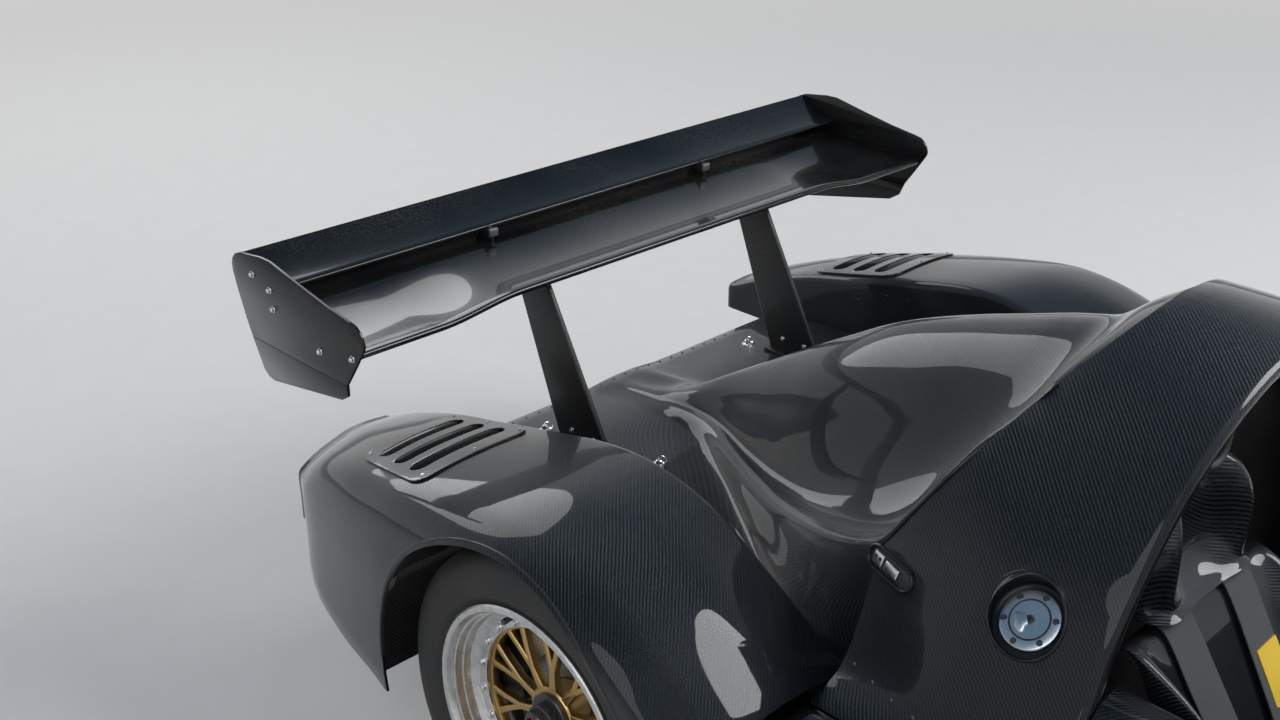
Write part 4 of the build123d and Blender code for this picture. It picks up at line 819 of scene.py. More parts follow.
HOOP_TOP = 1017.3
hoop_ribs = [
    # behind the rear axle, then half width and height from the top down to the sill
    (-800, [(0, -18), (150, -40), (300, -113), (400, -203), (465, -288), (507, -378), (560, -478)]),
    (-700, [(0, -7), (150, -33), (300, -108), (400, -195), (465, -278), (508, -372), (561, -475)]),
    (-600, [(0, 0), (150, -30), (300, -106), (400, -190), (465, -270), (510, -368), (562, -473)]),
    (-409, [(0, 0), (150, -30), (300, -106), (392, -190), (447, -318), (482, -418), (528, -508)]),
]
whole_ribs = [
    (behind, both_halves([(x, HOOP_TOP + up) for x, up in half] + [(600.0, 478.0)]))
    for behind, half in hoop_ribs
]
lip = [(42, 33.0), (24, 33.5), (9, 29.0), (1.5, 21.0), (0.2, 16.0), (2, 9.0), (9, 3.0), (20, 0.6)]
hoop_lines = []
for back, inwards in lip:
    outline = moved_inwards(whole_ribs[0][1], inwards)
    outline[0], outline[-1] = whole_ribs[0][1][0], whole_ribs[0][1][-1]
    hoop_lines.append(across_car(REAR_AXLE - 800 + back, outline))
hoop_lines += [across_car(REAR_AXLE + behind, line) for behind, line in whole_ribs if behind > -780]
hoop_skin = panel("hoop_fairing_skin", hoop_lines, cuts=(6, 3), wall=0.004)
cut_away(hoop_skin, joint_cutter(1, -0.0010))
CAP, CAP_WAY = Vector((-0.4692, 0.5940, 0.6855)), Vector((-0.6846, 0.0, 0.7290))
start_clean()
bpy.ops.mesh.primitive_cylinder_add(vertices=96, radius=0.0540, depth=0.160)
bowl_cutter = bpy.context.object
bowl_cutter.data.transform(facing(CAP + 0.060 * CAP_WAY, CAP_WAY))
cut_away(hoop_skin, bowl_cutter)
soften(hoop_skin, 0.0010)
settle(hoop_skin, body_carbon, "chassis", ["hoop_fairing"])
print("hoop fairing faces:", len(hoop_skin.data.polygons))

# %% [markdown]
# ## The fenders
# Each fender is a long shell with a flat inner wall, a crown, a tight outer shoulder that catches a
# bright line, and a side that closes in behind the wheel. The wheel arch is cut by a drum round the
# axle. A thin return lip, laid on the cut's edge, finishes the arch: its outline is worked out at
# each angle from where the skin really is, by sending a ray at it from the side.


# %% Fender shells with their arches
# A ray from the side that meets nothing further out than this has missed the outer skin
OUTER_SKIN = 0.66
# How far ahead of the nose's tip, or behind the axle, and the share of the outline that is left
NOSE_CURL = ((7.5, 0.90), (12.0, 0.68), (14.0, 0.34), (14.2, 0.06))
TAIL_CURL, TAIL_MIDDLE = ((744, 0.985), (749, 0.955), (750.5, 0.92), (749, 0.89)), (600.0, 440.0)
# Where the flank and the nose start to be drawn in, and by which share of what lies beyond
FLANK_FROM, FLANK_SHARE, NOSE_FROM, NOSE_SHARE = 0.750, 0.029, -1.700, 0.010


def fender_outline(inner, outer, low_in, crease, crown, low_out):
    """Outline of a fender from its inner foot over the crown to the foot of its outer skin."""
    shoulder = crown - 26.0
    side = shoulder - low_out
    return [
        (inner, low_in), (inner, (low_in + crease) / 2.0), (inner, crease - 14.0), (inner + 3.5, crease - 4.0),
        (inner + 14.0, crease + 1.0), ((inner + outer) / 2.0 - 20.0, crown), (outer - 85.0, crown - 11.0),
        (outer - 42.0, shoulder), (outer - 14.0, shoulder - 0.07 * side - 6.0), (outer, shoulder - 0.22 * side),
        (outer, (shoulder - 0.22 * side + low_out) / 2.0), (outer, low_out),
    ]


rear_fender_ribs = [
    # behind the axle, crown and crease below the roof, tuck of the outer skin, inner and outer foot
    (-409, 182, 200, 4, 440, 440), (-310, 103, 146, 0, 440, 440), (-240, 59, 102, 0, 440, 440),
    (-120, 15, 36, 0, 440, 440), (0, 0, 8, 0, 440, 440), (120, 14, 13, 4, 440, 440),
    (285, 46, 49, 15, 440, 235), (400, 72, 76, 34, 440, 236), (520, 99, 104, 60, 440, 238),
    (650, 143, 148, 95, 440, 265), (735, 182, 186, 140, 440, 352),
]
front_fender_ribs = [
    (-868, 496, 500, 95, 90, 73), (-830, 430, 436, 60, 100, 73), (-750, 316, 322, 25, 140, 73),
    (-600, 206, 214, 8, 200, 73), (-400, 96, 104, 0, 290, 73), (-200, 22, 28, 0, 370, 73),
    (0, 0, 4, 0, 400, 400), (200, 20, 22, 0, 400, 430), (330, 60, 62, 0, 410, 440),
    (438, 130, 132, 0, 430, 438),
]


def fender_lines(axle, roof, inner, table):
    """Ribs of a left fender, as places and outlines."""
    return [
        [axle + behind, fender_outline(inner, BODY_SIDE - tuck, low_in, roof - crease, roof - crown, low_out)]
        for behind, crown, crease, tuck, low_in, low_out in table
    ]


def curled(line, share):
    """An outline lowered towards the body's underside, to a share of its height."""
    return [(x, UNDERSIDE + (z - UNDERSIDE) * share) for x, z in line]


def drum(radius, centre, start, end, sides=128):
    """A closed cylinder along X, used for cutting."""
    start_clean()
    bpy.ops.mesh.primitive_cylinder_add(
        vertices=sides, radius=radius, depth=abs(end - start), rotation=(0, pi / 2.0, 0),
        location=((start + end) / 2.0, centre[0], centre[1]),
    )
    cutter = bpy.context.object
    bpy.ops.object.transform_apply(location=True, rotation=True, scale=True)
    return cutter


def arch_lip(name, skin, side, centre, radius, first, last):
    """A thin return lip along a wheel arch, between two angles from the top, in degrees."""
    profile = [
        (-0.0170, -0.0002), (-0.0080, -0.0008), (-0.0030, -0.0010), (0.0002, 0.0006), (0.0010, 0.0040),
        (0.0001, 0.0095), (-0.0016, 0.0100),
    ]
    ribs = []
    for angle in np.radians(np.linspace(first, last, 57)):
        y = centre[0] + (radius + 0.007) * sin(angle)
        z = centre[1] + (radius + 0.007) * cos(angle)
        hit, place, _, _ = skin.ray_cast((side * RAY_SIDE, y, z), (-side, 0.0, 0.0))
        if not hit or abs(place.x) < OUTER_SKIN:
            continue
        ribs.append([
            (
                place.x + side * out,
                centre[0] + (radius + up) * sin(angle),
                centre[1] + (radius + up) * cos(angle),
            )
            for out, up in profile
        ])
    return panel(name, ribs, cuts=(2, 1), wall=0.0014, outwards=(side, 0, 0))


def mirrored(skin):
    """Turns the cloth map over, so that the weave climbs the other way."""
    cloth_map = skin.data.uv_layers["cloth"]
    flat = np.zeros(2 * len(cloth_map.data), dtype=np.float32)
    cloth_map.data.foreach_get("uv", flat)
    flat[0::2] *= -1.0
    cloth_map.data.foreach_set("uv", flat)


def drawn_in(skin):
    """Draws a skin in at the flank and the nose, by at most 4 mm, to stay inside the solids' box."""
    places = np.zeros(3 * len(skin.data.vertices), dtype=np.float32)
    skin.data.vertices.foreach_get("co", places)
    places = places.reshape(-1, 3)
    places[:, 0] -= np.sign(places[:, 0]) * np.maximum(np.abs(places[:, 0]) - FLANK_FROM, 0.0) * FLANK_SHARE
    places[:, 1] -= np.minimum(places[:, 1] - NOSE_FROM, 0.0) * NOSE_SHARE
    skin.data.vertices.foreach_set("co", places.reshape(-1))
    skin.data.update()


def whole_fender(end, side, axle, roof, inner, table, wheel_z, arch, tail):
    """Skin of one fender, cut for its wheel, with its lip."""
    ribs = fender_lines(axle, roof, inner, table)
    if tail:
        last_line, (middle_x, middle_z) = ribs[-1][1], TAIL_MIDDLE
        for back, share in TAIL_CURL:
            shrunk = [
                (middle_x + (x - middle_x) * share, middle_z + (z - middle_z) * share)
                for x, z in last_line
            ]
            ribs.append([axle + back, shrunk])
    else:
        first_line = ribs[0][1]
        for ahead, share in NOSE_CURL:
            ribs.insert(0, [axle - NOSE_TIP - ahead, curled(first_line, share)])
    lines = [[(side * x * MM, y * MM, z * MM) for x, z in line] for y, line in ribs]
    name = SIDE_NAMES[side]
    skin = panel(f"{end}_fender_{name}_skin", lines, cuts=(4, 4), wall=0.005)
    mirrored(skin)
    drawn_in(skin)
    centre = (axle * MM, wheel_z)
    lip_from, lip_to = ((-66.0, 92.0) if tail else (-92.0, 66.0))
    edge = arch_lip(f"{end}_arch_lip_{name}", skin, side, centre, arch, lip_from, lip_to)
    cut_away(skin, drum(arch, centre, side * (inner + 150.0) * MM, side * 1.2))
    soften(skin, 0.0010)
    settle(skin, body_carbon, "chassis", [f"{end}_fender_{name}"])
    settle(edge, body_carbon, "chassis")
    return skin


fender_skins = {}
for side in (-1, 1):
    fender_skins["rear", side] = whole_fender(
        "rear", side, REAR_AXLE, 686.0, FENDER_IN, rear_fender_ribs, REAR_HUB, REAR_ARCH, True
    )
    fender_skins["front", side] = whole_fender(
        "front", side, FRONT_AXLE, 646.0, 460.0, front_fender_ribs, FRONT_HUB, FRONT_ARCH, False
    )
print("fender faces:", [len(skin.data.polygons) for skin in fender_skins.values()])

# %% [markdown]
# ## Nose, cowl and cockpit edges
# The nose is one low panel that curls down to the splitter in front and dives between the fenders.
# The cowl carries on from it up to the cockpit, and two padded-looking coamings run back along the
# cockpit to the hoop. All of them are sheets over ribs, like the clam.

# %% Nose and cowl
NOSE_EDGE = 459.0
nose_ribs = [
    (-868, [(0, 118), (200, 115), (380, 105)], 98), (-830, [(0, 190), (200, 185), (380, 168)], 158),
    (-715, [(0, 246), (200, 240), (380, 220)], 209), (-600, [(0, 292), (200, 284), (380, 262)], 250),
    (-300, [(0, 385), (200, 376), (380, 352)], 338), (0, [(0, 448), (200, 438), (380, 414)], 402),
    (438.5, [(0, 512), (200, 504), (380, 482)], 468),
]
nose_lines = [[FRONT_AXLE + back, both_halves(line + [(NOSE_EDGE, edge)])] for back, line, edge in nose_ribs]
tip_line = nose_lines[0][1]
for ahead, share in NOSE_CURL:
    nose_lines.insert(0, [FRONT_AXLE - NOSE_TIP - ahead, curled(tip_line, share)])
nose_skin = panel("nose_skin", [across_car(y, line) for y, line in nose_lines], cuts=(5, 5), wall=0.005)
soften(nose_skin, 0.0012)
settle(nose_skin, body_carbon, "chassis", ["nose"])

COWL_FRONT, COWL_BACK = -741.0, -431.0
cowl_ribs = [
    (COWL_FRONT + 1.5, [(0, 513), (200, 505), (380, 483), (459, 469), (530, 452)], 436),
    (-590.0, [(0, 549), (200, 541), (380, 522), (465, 508), (533, 488)], 458),
    (COWL_BACK - 12.0, [(0, 584), (200, 576), (380, 561), (470, 544), (535, 519)], 477),
    (COWL_BACK - 3.0, [(0, 582), (200, 574), (380, 559), (469, 542), (534, 517)], 477),
    (COWL_BACK, [(0, 575), (200, 567), (380, 552), (466, 535), (530, 511)], 477),
]
cowl_lines = [across_car(y, both_halves(line + [(600.0, foot)])) for y, line, foot in cowl_ribs]
cowl_skin = panel("cowl_skin", cowl_lines, cuts=(5, 5), wall=0.005)
soften(cowl_skin, 0.0010)
settle(cowl_skin, body_carbon, "chassis", ["cowl"])

coaming_ribs = [
    (COWL_BACK + 1.5, [(0, 562), (-0.5, 568), (4, 574.5), (16, 577), (52, 570), (100, 535)]),
    (-281.0, [(0, 562), (-0.5, 583), (4, 590.5), (17, 593), (54, 586), (106, 540)]),
    (-131.0, [(0, 562), (-0.5, 600), (4, 607), (18, 609), (56, 600), (112, 545)]),
    (169.0, [(0, 562), (-0.5, 612), (4, 620), (18, 622), (60, 613), (117, 547)]),
    (468.0, [(0, 562), (-0.5, 623), (4, 632), (18, 635), (62, 624), (122, 548)]),
]
coaming_sides = []
for side in (-1, 1):
    lines = [
        [(side * (440.0 + x) * MM, y * MM, z * MM) for x, z in line + [(160.0, 478.0)]]
        for y, line in coaming_ribs
    ]
    coaming_sides.append(panel("coaming", lines, cuts=(5, 5), wall=0.005, outwards=(side * 0.3, 0, 1)))
coaming_skins = joined(coaming_sides, "coaming_skins")
soften(coaming_skins, 0.0010)
settle(coaming_skins, body_carbon, "chassis", ["coamings"])
print("front panels ready")

# %% [markdown]
# ## Sidepods
# A sidepod is a long box with rounded shoulders and an air mouth behind the front wheel. Its ribs are
# closed outlines, and at the front they shrink into the mouth and run on inside as the duct, so skin,
# lip and duct are one surface. Behind, a lower piece reaches to the rear wheel and is cut by its arch.


# %% Sidepods with their ducts
def pod_outline(top, tuck, inwards=0.0):
    """Closed outline of a sidepod, from the inner bottom corner up and round."""
    outer = BODY_SIDE - tuck - inwards
    inner, low, top = 601.0 + inwards, UNDERSIDE + inwards, top - inwards
    return [
        (inner, low), (inner, low + 90.0), (inner, (low + top) / 2.0), (inner, top - 12.0),
        (inner + 6.0, top - 1.0), (inner + 60.0, top - 1.0), (outer - 50.0, top - 6.0),
        (outer - 12.0, top - 32.0), (outer, top - 80.0), (outer - 2.0, (top + 120.0) / 2.0),
        (outer - 10.0, 220.0), (outer - 24.0, low + 60.0), (outer - 50.0, low + 8.0), (outer - 64.0, low),
        (inner + 40.0, low), (inner, low),
    ]


mouth = [
    (643, 173), (640, 186), (640, 290), (640, 384), (646, 398), (668, 400), (772, 400), (792, 392), (800, 370),
    (800, 290), (800, 210), (797, 185), (786, 172), (770, 170), (680, 170), (643, 173),
]


def sidepod(side):
    """One sidepod: skin with its mouth and duct, and the cooler at the duct's end."""
    ribs = [(-422.0, mouth), (-600.0, mouth), (-725.0, mouth), (-736.0, mouth)]
    shrunk = pod_outline(438.0, 30.0, 10.0)
    ribs += [(-741.0, [((a[0] + b[0] * 2) / 3.0, (a[1] + b[1] * 2) / 3.0) for a, b in zip(shrunk, mouth)])]
    ribs += [(-740.6, [((a[0] * 3 + b[0]) / 4.0, (a[1] * 3 + b[1]) / 4.0) for a, b in zip(shrunk, mouth)])]
    ribs += [(-739.5, pod_outline(438.0, 30.0, 4.0)), (-735.0, pod_outline(438.5, 29.5, 0.6))]
    ribs += [(-700.0, pod_outline(442.0, 26.0)), (-630.0, pod_outline(450.0, 18.0))]
    ribs += [
        (-521.0, pod_outline(462.0, 10.0)), (-230.0, pod_outline(470.0, 7.0)),
        (60.0, pod_outline(478.0, 6.0))
    ]
    ribs += [
        (460.0, pod_outline(479.0, 4.0)), (853.0, pod_outline(480.0, 2.0)),
        (857.5, pod_outline(480.0, 2.0, 1.6))
    ]
    lines = [[(side * x * MM, y * MM, z * MM) for x, z in line] for y, line in ribs]
    name = SIDE_NAMES[side]
    skin = panel(f"sidepod_skin_{name}", lines, cuts=(3, 3), outwards=None, loop=True)
    close_ends(skin)
    cut_away(skin, drum(REAR_ARCH, (REAR_AXLE * MM, REAR_HUB), side * 0.55, side * 0.95))
    settle(skin, body_carbon, "chassis", [f"sidepod_{name}"])
    low = [(x, min(z, 438.5)) for x, z in pod_outline(438.5, 6.0)]
    sill_lines = [[(side * x * MM, y * MM, z * MM) for x, z in low] for y in (858.5, 900.0, 966.0)]
    sill = panel(f"sidepod_sill_{name}", sill_lines, cuts=(3, 2), outwards=None, loop=True)
    close_ends(sill)
    cut_away(sill, drum(REAR_ARCH, (REAR_AXLE * MM, REAR_HUB), side * 0.55, side * 0.95))
    settle(sill, body_carbon, "chassis")
    fins = []
    for i in range(22):
        z = 0.180 + i * 0.0101
        fin = [
            (side * 0.645, -0.4235, z), (side * 0.797, -0.4235, z), (side * 0.797, -0.4235, z + 0.0030),
            (side * 0.645, -0.4235, z + 0.0030),
        ]
        fins.append(plate("fin", fin, (0, -0.014, 0)))
    settle(joined(fins, f"cooler_{name}"), cooler_fins, "chassis")


for side in (-1, 1):
    sidepod(side)
print("sidepods ready")

# %% [markdown]
# ## The wing
# Both blades are hollow on top. The main plane's front edge drops towards the tips in a soft S, so its
# section is repeated at many places across the car, each a little lower. The section is a closed
# outline with a round nose and a thin tail. The endplates are plates whose lower part leans inwards.


# %% Wing blades
def blade_outline(lead, trail, sag, depth, nose, steps=9):
    """Closed side outline of a blade from its tail over the top, round the nose and back below."""
    lead, trail = np.array(lead, float), np.array(trail, float)
    chord = trail - lead
    up = np.array([-chord[1], chord[0]]) / np.linalg.norm(chord)
    share = np.linspace(1.0, 0.0, steps)[:, None]
    top = lead + chord * share + up * (nose * (1 - share) - 4 * sag * share * (1 - share))
    round_nose = [
        lead + up * nose * cos(a) - chord / np.linalg.norm(chord) * nose * sin(a)
        for a in np.linspace(0, pi, 7)[1:-1]
    ]
    back = share[::-1]
    low = lead + chord * back - up * (
        nose * (1 - back) + 2.0 * back + 3.5 * (depth - 4) * back * (1 - back) ** 1.2
    )
    return np.vstack([top, round_nose, low])


def blade_piece(name, stations, replaced):
    """A blade over stations of (place across the car, outline), closed at both ends."""
    ribs = [[(x * MM, (REAR_AXLE + y) * MM, z * MM) for y, z in list(line) + [line[0]]] for x, line in stations]
    piece = laid_grid(name, ribs, None, loop=True)
    close_ends(piece)
    return settle(piece, wing_black, "chassis", [replaced], angle=50.0)


def tip_share(x):
    """0 in the middle of the main plane, 1 at its tips, with a soft change between."""
    t = min(max((abs(x) - 420.0) / 180.0, 0.0), 1.0)
    return t * t * (3 - 2 * t)


places = [-774.5, -700, -650] + list(np.linspace(-610, -410, 13)) + [-300, -150, 0, 150, 300]
places += list(np.linspace(410, 610, 13)) + [650, 700, 774.5]
main_stations = [
    (x, blade_outline((426.0, 832.0 - 17.0 * tip_share(x)), (700.0, 850.0), 20.0, 34.0, 6.0, 17))
    for x in places
]
blade_piece("wing_main_blade", main_stations, "wing_main_plane")
flap_stations = [
    (x, blade_outline((667.0, 863.0), (772.0, 905.0), 5.0, 13.0, 3.0, 11))
    for x in (-774.5, -300.0, 0.0, 300.0, 774.5)
]
blade_piece("wing_flap_blade", flap_stations, "wing_flap")

# %% Endplates, slot tabs and pylons
endplate_points = [
    (459, 752), (442, 776), (426, 799), (404, 832), (401.5, 841), (405, 852), (411, 862), (423, 871),
    (440, 874.5), (505, 884), (584, 899), (671, 917), (700, 917), (764, 909), (782, 902), (792, 892),
    (796, 880), (795, 866), (783, 830), (764, 782), (750, 752),
]
low_points = [
    (459, 751.6), (467, 727), (490, 712), (608, 689), (700, 671), (721, 667), (736, 671), (746, 684),
    (750, 751.6),
]
plates = []
for side in (-1, 1):
    upper = [(side * 0.7750, (REAR_AXLE + y) * MM, z * MM) for y, z in endplate_points]
    plates.append(plate("endplate", upper, (side * 0.006, 0, 0), bevel=0.0012))
    lower = [
        (side * (0.7750 - (752 - z) * MM * tan(radians(12.0))), (REAR_AXLE + y) * MM, z * MM)
        for y, z in low_points
    ]
    plates.append(plate("endplate_low", lower, (side * 0.006, 0, 0), bevel=0.0010))
settle(joined(plates, "endplate_pair"), wing_black, "chassis", ["endplates"])

tabs, bright_tabs = [], []
for x in (-300.0, 300.0):
    outline = [(REAR_AXLE + y, z) for y, z in ((650, 864), (690, 868), (690, 847), (676, 842), (650, 836))]
    tabs.append(
        plate("tab", [((x - 3.0) * MM, y * MM, z * MM) for y, z in outline], (0.006, 0, 0), bevel=0.0008)
    )
    foot = [(REAR_AXLE + y, z) for y, z in ((645, 848), (644, 862), (649.5, 864), (649.5, 848))]
    bright_tabs.append(
        plate("tab_face", [((x - 10.0) * MM, y * MM, z * MM) for y, z in foot], (0.020, 0, 0), bevel=0.0008)
    )
settle(joined(tabs, "slot_tabs"), satin_black, "chassis")
settle(joined(bright_tabs, "slot_tab_faces"), cast_metal, "chassis")

pylons = []
for x in (-310.0, 310.0):
    outline = [(305, 485.4), (395, 650), (484, 813), (572, 813), (509, 650), (445, 485.4)]
    corners = [((x - 6.0) * MM, (REAR_AXLE + y) * MM, z * MM) for y, z in outline]
    pylons.append(plate("pylon", corners, (0.012, 0, 0), bevel=0.0035, segments=4))
    foot = [(295, 485.4), (292, 492.0), (452, 492.0), (455, 485.4)]
    corners = [((x - 19.0) * MM, (REAR_AXLE + y) * MM, z * MM) for y, z in foot]
    pylons.append(plate("pylon_foot", corners, (0.038, 0, 0), bevel=0.0015))
settle(joined(pylons, "pylon_pair"), satin_black, "chassis", ["wing_pylons"])
print("wing ready")

# %% [markdown]
# ## The wheels
# Everything round on a wheel is spun from a closed outline: the slick tyre, the stepped polished
# barrel and the brake disc. The gold centre has ten forked spokes, each a plate with rounded edges,
# copied round the hub. Twenty small bolts hold barrel and centre together, and one big centre nut
# with its red clip holds the wheel on the car.

# %% Tyre, barrel and disc outlines
WHEELS = {
    # end: axle place, axle height, tyre radius, inner and outer face, in millimetres
    "front": (FRONT_AXLE, 290.0, 290.0, 560.0, 780.0),
    "rear": (REAR_AXLE, 305.0, 305.0, 532.0, 802.0),
}
BEAD, LIP_RADIUS, WELL, RIM_DEPTH = 203.0, 216.0, 178.0, 52.0


def tyre_outline(radius, inner, outer):
    """Closed outline of a slick: sidewalls that bulge, round shoulders and a flat tread."""
    middle, tread = (inner + outer) / 2.0, (outer - inner) / 2.0 - 18.0
    half = [
        (outer - 12.0 - middle, BEAD + 1.0), (outer - 11.0 - middle, BEAD + 11.0),
        (outer - 9.5 - middle, BEAD + 17.0), (outer - 3.6 - middle, BEAD + 26.0),
        (outer - 0.6 - middle, (radius + BEAD) / 2.0 - 4.0),
        (outer - 0.6 - middle, (radius + BEAD) / 2.0 + 8.0), (outer - 5.0 - middle, radius - 24.0),
        (tread + 5.0, radius - 12.0), (tread - 1.0, radius - 7.0), (tread - 10.0, radius - 2.6),
        (tread - 24.0, radius - 0.3),
    ]
    top = [tuple(point) for point in through(half, 3)]
    over = [(middle + x, r) for x, r in top] + [(middle - x, r) for x, r in reversed(top)]
    under = [(inner + 25.0, BEAD + 1.0), (inner + 14.0, BEAD + 40.0), (inner + 34.0, radius - 14.0)]
    under += [(outer - 34.0, radius - 14.0), (outer - 14.0, BEAD + 40.0), (outer - 25.0, BEAD + 1.0)]
    return over + under


def barrel_outline(inner, outer):
    """Closed outline of the stepped barrel, with rolled lips at both edges."""
    flange = outer - RIM_DEPTH
    return [
        (inner + 2.8, LIP_RADIUS - 3.0), (inner + 5.0, LIP_RADIUS - 0.4), (inner + 9.0, LIP_RADIUS - 0.4),
        (inner + 11.6, LIP_RADIUS - 3.0), (inner + 11.6, BEAD + 0.6), (inner + 55.0, BEAD + 0.6),
        (inner + 70.0, WELL), (flange - 22.0, WELL), (flange + 6.0, BEAD + 0.6), (outer - 11.6, BEAD + 0.6),
        (outer - 11.6, LIP_RADIUS - 3.0), (outer - 9.0, LIP_RADIUS - 0.4), (outer - 5.0, LIP_RADIUS - 0.2),
        (outer - 2.8, LIP_RADIUS - 3.2), (outer - 2.8, BEAD + 1.0), (outer - 6.0, BEAD - 2.0),
        (outer - 16.0, BEAD - 4.5), (outer - 17.0, BEAD - 7.5), (outer - 30.0, BEAD - 9.5),
        (outer - 31.0, BEAD - 12.5), (flange + 8.0, BEAD - 15.0), (flange + 1.5, WELL - 2.0),
        (flange, WELL - 4.0), (flange, WELL - 21.0), (flange - 1.0, WELL - 22.0), (flange - 7.0, WELL - 22.0),
        (flange - 7.0, WELL - 7.0), (inner + 66.0, WELL - 7.0), (inner + 50.0, BEAD - 7.0),
        (inner + 2.8, BEAD - 7.0),
    ]


def spun(name, outline, side, y, z, steps=96):
    """A spun piece whose outline is given outwards from the car's middle, in millimetres."""
    return wheel_of(name, [(side * x * MM, r * MM) for x, r in outline], (0.0, y * MM, z * MM), steps)


# %% Spokes, bolts, nut and clip
SPOKES, RING_BOLTS = 10, 20
fork = [
    (43, -9), (60, -7.0), (84, -6.2), (118, -15.5), (156, -29.5), (159, -17.0), (126, -6.5), (101, 0),
    (126, 6.5), (159, 17.0), (156, 29.5), (118, 15.5), (84, 6.2), (60, 7.0), (43, 9),
]
# Closed outlines of (outwards, radius) in millimetres, from the spokes' face or from the disc's middle
RING_OUTLINE = [(0.0, 168.0), (0.0, 152.0), (-2.0, 150.5), (-16.0, 150.5), (-17.5, 152.0), (-17.5, 168.0)]
HUB_OUTLINE = [
    (1.0, 34.0), (1.0, 47.0), (-2.0, 50.0), (-15.0, 51.0), (-24.0, 46.0), (-72.0, 44.0), (-72.0, 30.0)
]
DISC_OUTLINE = [
    (-14, 148), (-13, 150), (-5, 150), (-4, 147), (4, 147), (5, 150), (13, 150), (14, 148), (14, 92), (9, 88),
    (9, 46), (-9, 46), (-9, 88), (-14, 92),
]
COLLAR_OUTLINE = [(1, 40), (6, 40), (8, 38), (8, 12), (1, 12)]
CONE_OUTLINE = [(24, 25), (38, 23), (41, 20), (41, 15), (30, 14), (30, 1), (24, 1)]
CLIP_OUTLINE = [(30, 13.5), (34, 13.5), (35, 12.0), (35, 9.0), (30, 9.0)]


def moved_out(outline, by):
    """An outline of (outwards, radius) moved outwards by a distance."""
    return [(by + x, r) for x, r in outline]


def around(side, x, y, z, angle):
    """A matrix that puts a part's own Z outwards at a place on a wheel and turns it by an angle."""
    turned = Matrix.Rotation(side * pi / 2.0, 4, "Y") @ Matrix.Rotation(angle, 4, "Z")
    return Matrix.Translation((side * x * MM, y * MM, z * MM)) @ turned


def small_bolt(radius, height):
    """A hexagon head on a washer, standing on its own XY plane."""
    start_clean()
    bpy.ops.mesh.primitive_cylinder_add(
        vertices=14, radius=radius * 1.28, depth=height * 0.3, location=(0, 0, height * 0.15)
    )
    washer = bpy.context.object
    bpy.ops.mesh.primitive_cylinder_add(vertices=6, radius=radius, depth=height, location=(0, 0, height * 0.7))
    head = bpy.context.object
    for part in (washer, head):
        modify(part, "BEVEL", width=radius * 0.12, segments=1)
        activate(part)
        bpy.ops.object.transform_apply(location=True, rotation=True, scale=True)
    return joined([washer, head], "bolt")


def whole_wheel(end, side):
    """Makes all the pieces of one wheel, on its own body."""
    y, z, radius, inner, outer = WHEELS[end]
    name = f"{end}_{SIDE_NAMES[side]}"
    body = f"wheel_{name}"
    flange = outer - RIM_DEPTH
    face = flange - 7.6
    tyre = spun(f"slick_{name}", tyre_outline(radius, inner, outer), side, y, z, 112)
    settle(tyre, rubber[end], body, [f"tyre_{name}"], angle=50.0)
    barrel = spun(f"barrel_{name}", barrel_outline(inner, outer), side, y, z, 112)
    settle(barrel, rim_metal[end], body, [f"rim_{name}"], angle=32.0)
    ring = spun("ring", moved_out(RING_OUTLINE, face), side, y, z)
    hub = spun("hub", moved_out(HUB_OUTLINE, face), side, y, z)
    spokes = []
    for i in range(SPOKES):
        spoke = plate(
            "spoke", [(r * MM, t * MM, 0.0) for r, t in fork], (0, 0, -0.016), bevel=0.0028, segments=3
        )
        spoke.data.transform(around(side, face - 0.6, y, z, 2 * pi * i / SPOKES))
        spokes.append(spoke)
    for spoke in spokes:
        activate(spoke)
        bpy.ops.object.mode_set(mode="EDIT")
        bpy.ops.mesh.select_all(action="SELECT")
        bpy.ops.mesh.normals_make_consistent(inside=False)
        bpy.ops.object.mode_set(mode="OBJECT")
    settle(
        joined([ring, hub] + spokes, f"spokes_{name}"),
        gold_anodised, body, [f"wheel_centre_{name}"],
    )
    bolt_ring = around(side, flange + 0.1, y, z, 0.0)
    bolt_turns = [2 * pi * (i + 0.5) / RING_BOLTS for i in range(RING_BOLTS)]
    bolts = [
        bolt_ring @ Matrix.Rotation(by, 4, "Z") @ Matrix.Translation((0.165, 0, 0))
        for by in bolt_turns
    ]
    settle(
        copies(small_bolt(0.0062, 0.0055), f"ring_bolts_{name}", bolts),
        bright_metal, body,
    )
    disc = spun(f"disc_{name}", moved_out(DISC_OUTLINE, face - 56.0), side, y, z)
    settle(disc, disc_metal[end], body)
    corners = [(31.0 * MM * cos(a), 31.0 * MM * sin(a), 0.0) for a in np.linspace(0, 2 * pi, 7)[:-1]]
    nut = plate("nut", corners, (0, 0, 0.024), bevel=0.003, segments=3)
    nut.data.transform(around(side, face + 1.0, y, z, 0.2))
    collar = spun("collar", moved_out(COLLAR_OUTLINE, face), side, y, z, 48)
    cone = spun("cone", moved_out(CONE_OUTLINE, face), side, y, z, 48)
    settle(joined([nut, collar, cone], f"centre_nut_{name}"), caliper_paint, body, angle=30.0)
    clip = spun(f"nut_clip_{name}", moved_out(CLIP_OUTLINE, face), side, y, z, 48)
    settle(clip, red_anodised, body)
    stem = spun_valve(side, flange, y, z)
    settle(stem, dark_bolt, body)
    stem.name = f"valve_{name}"


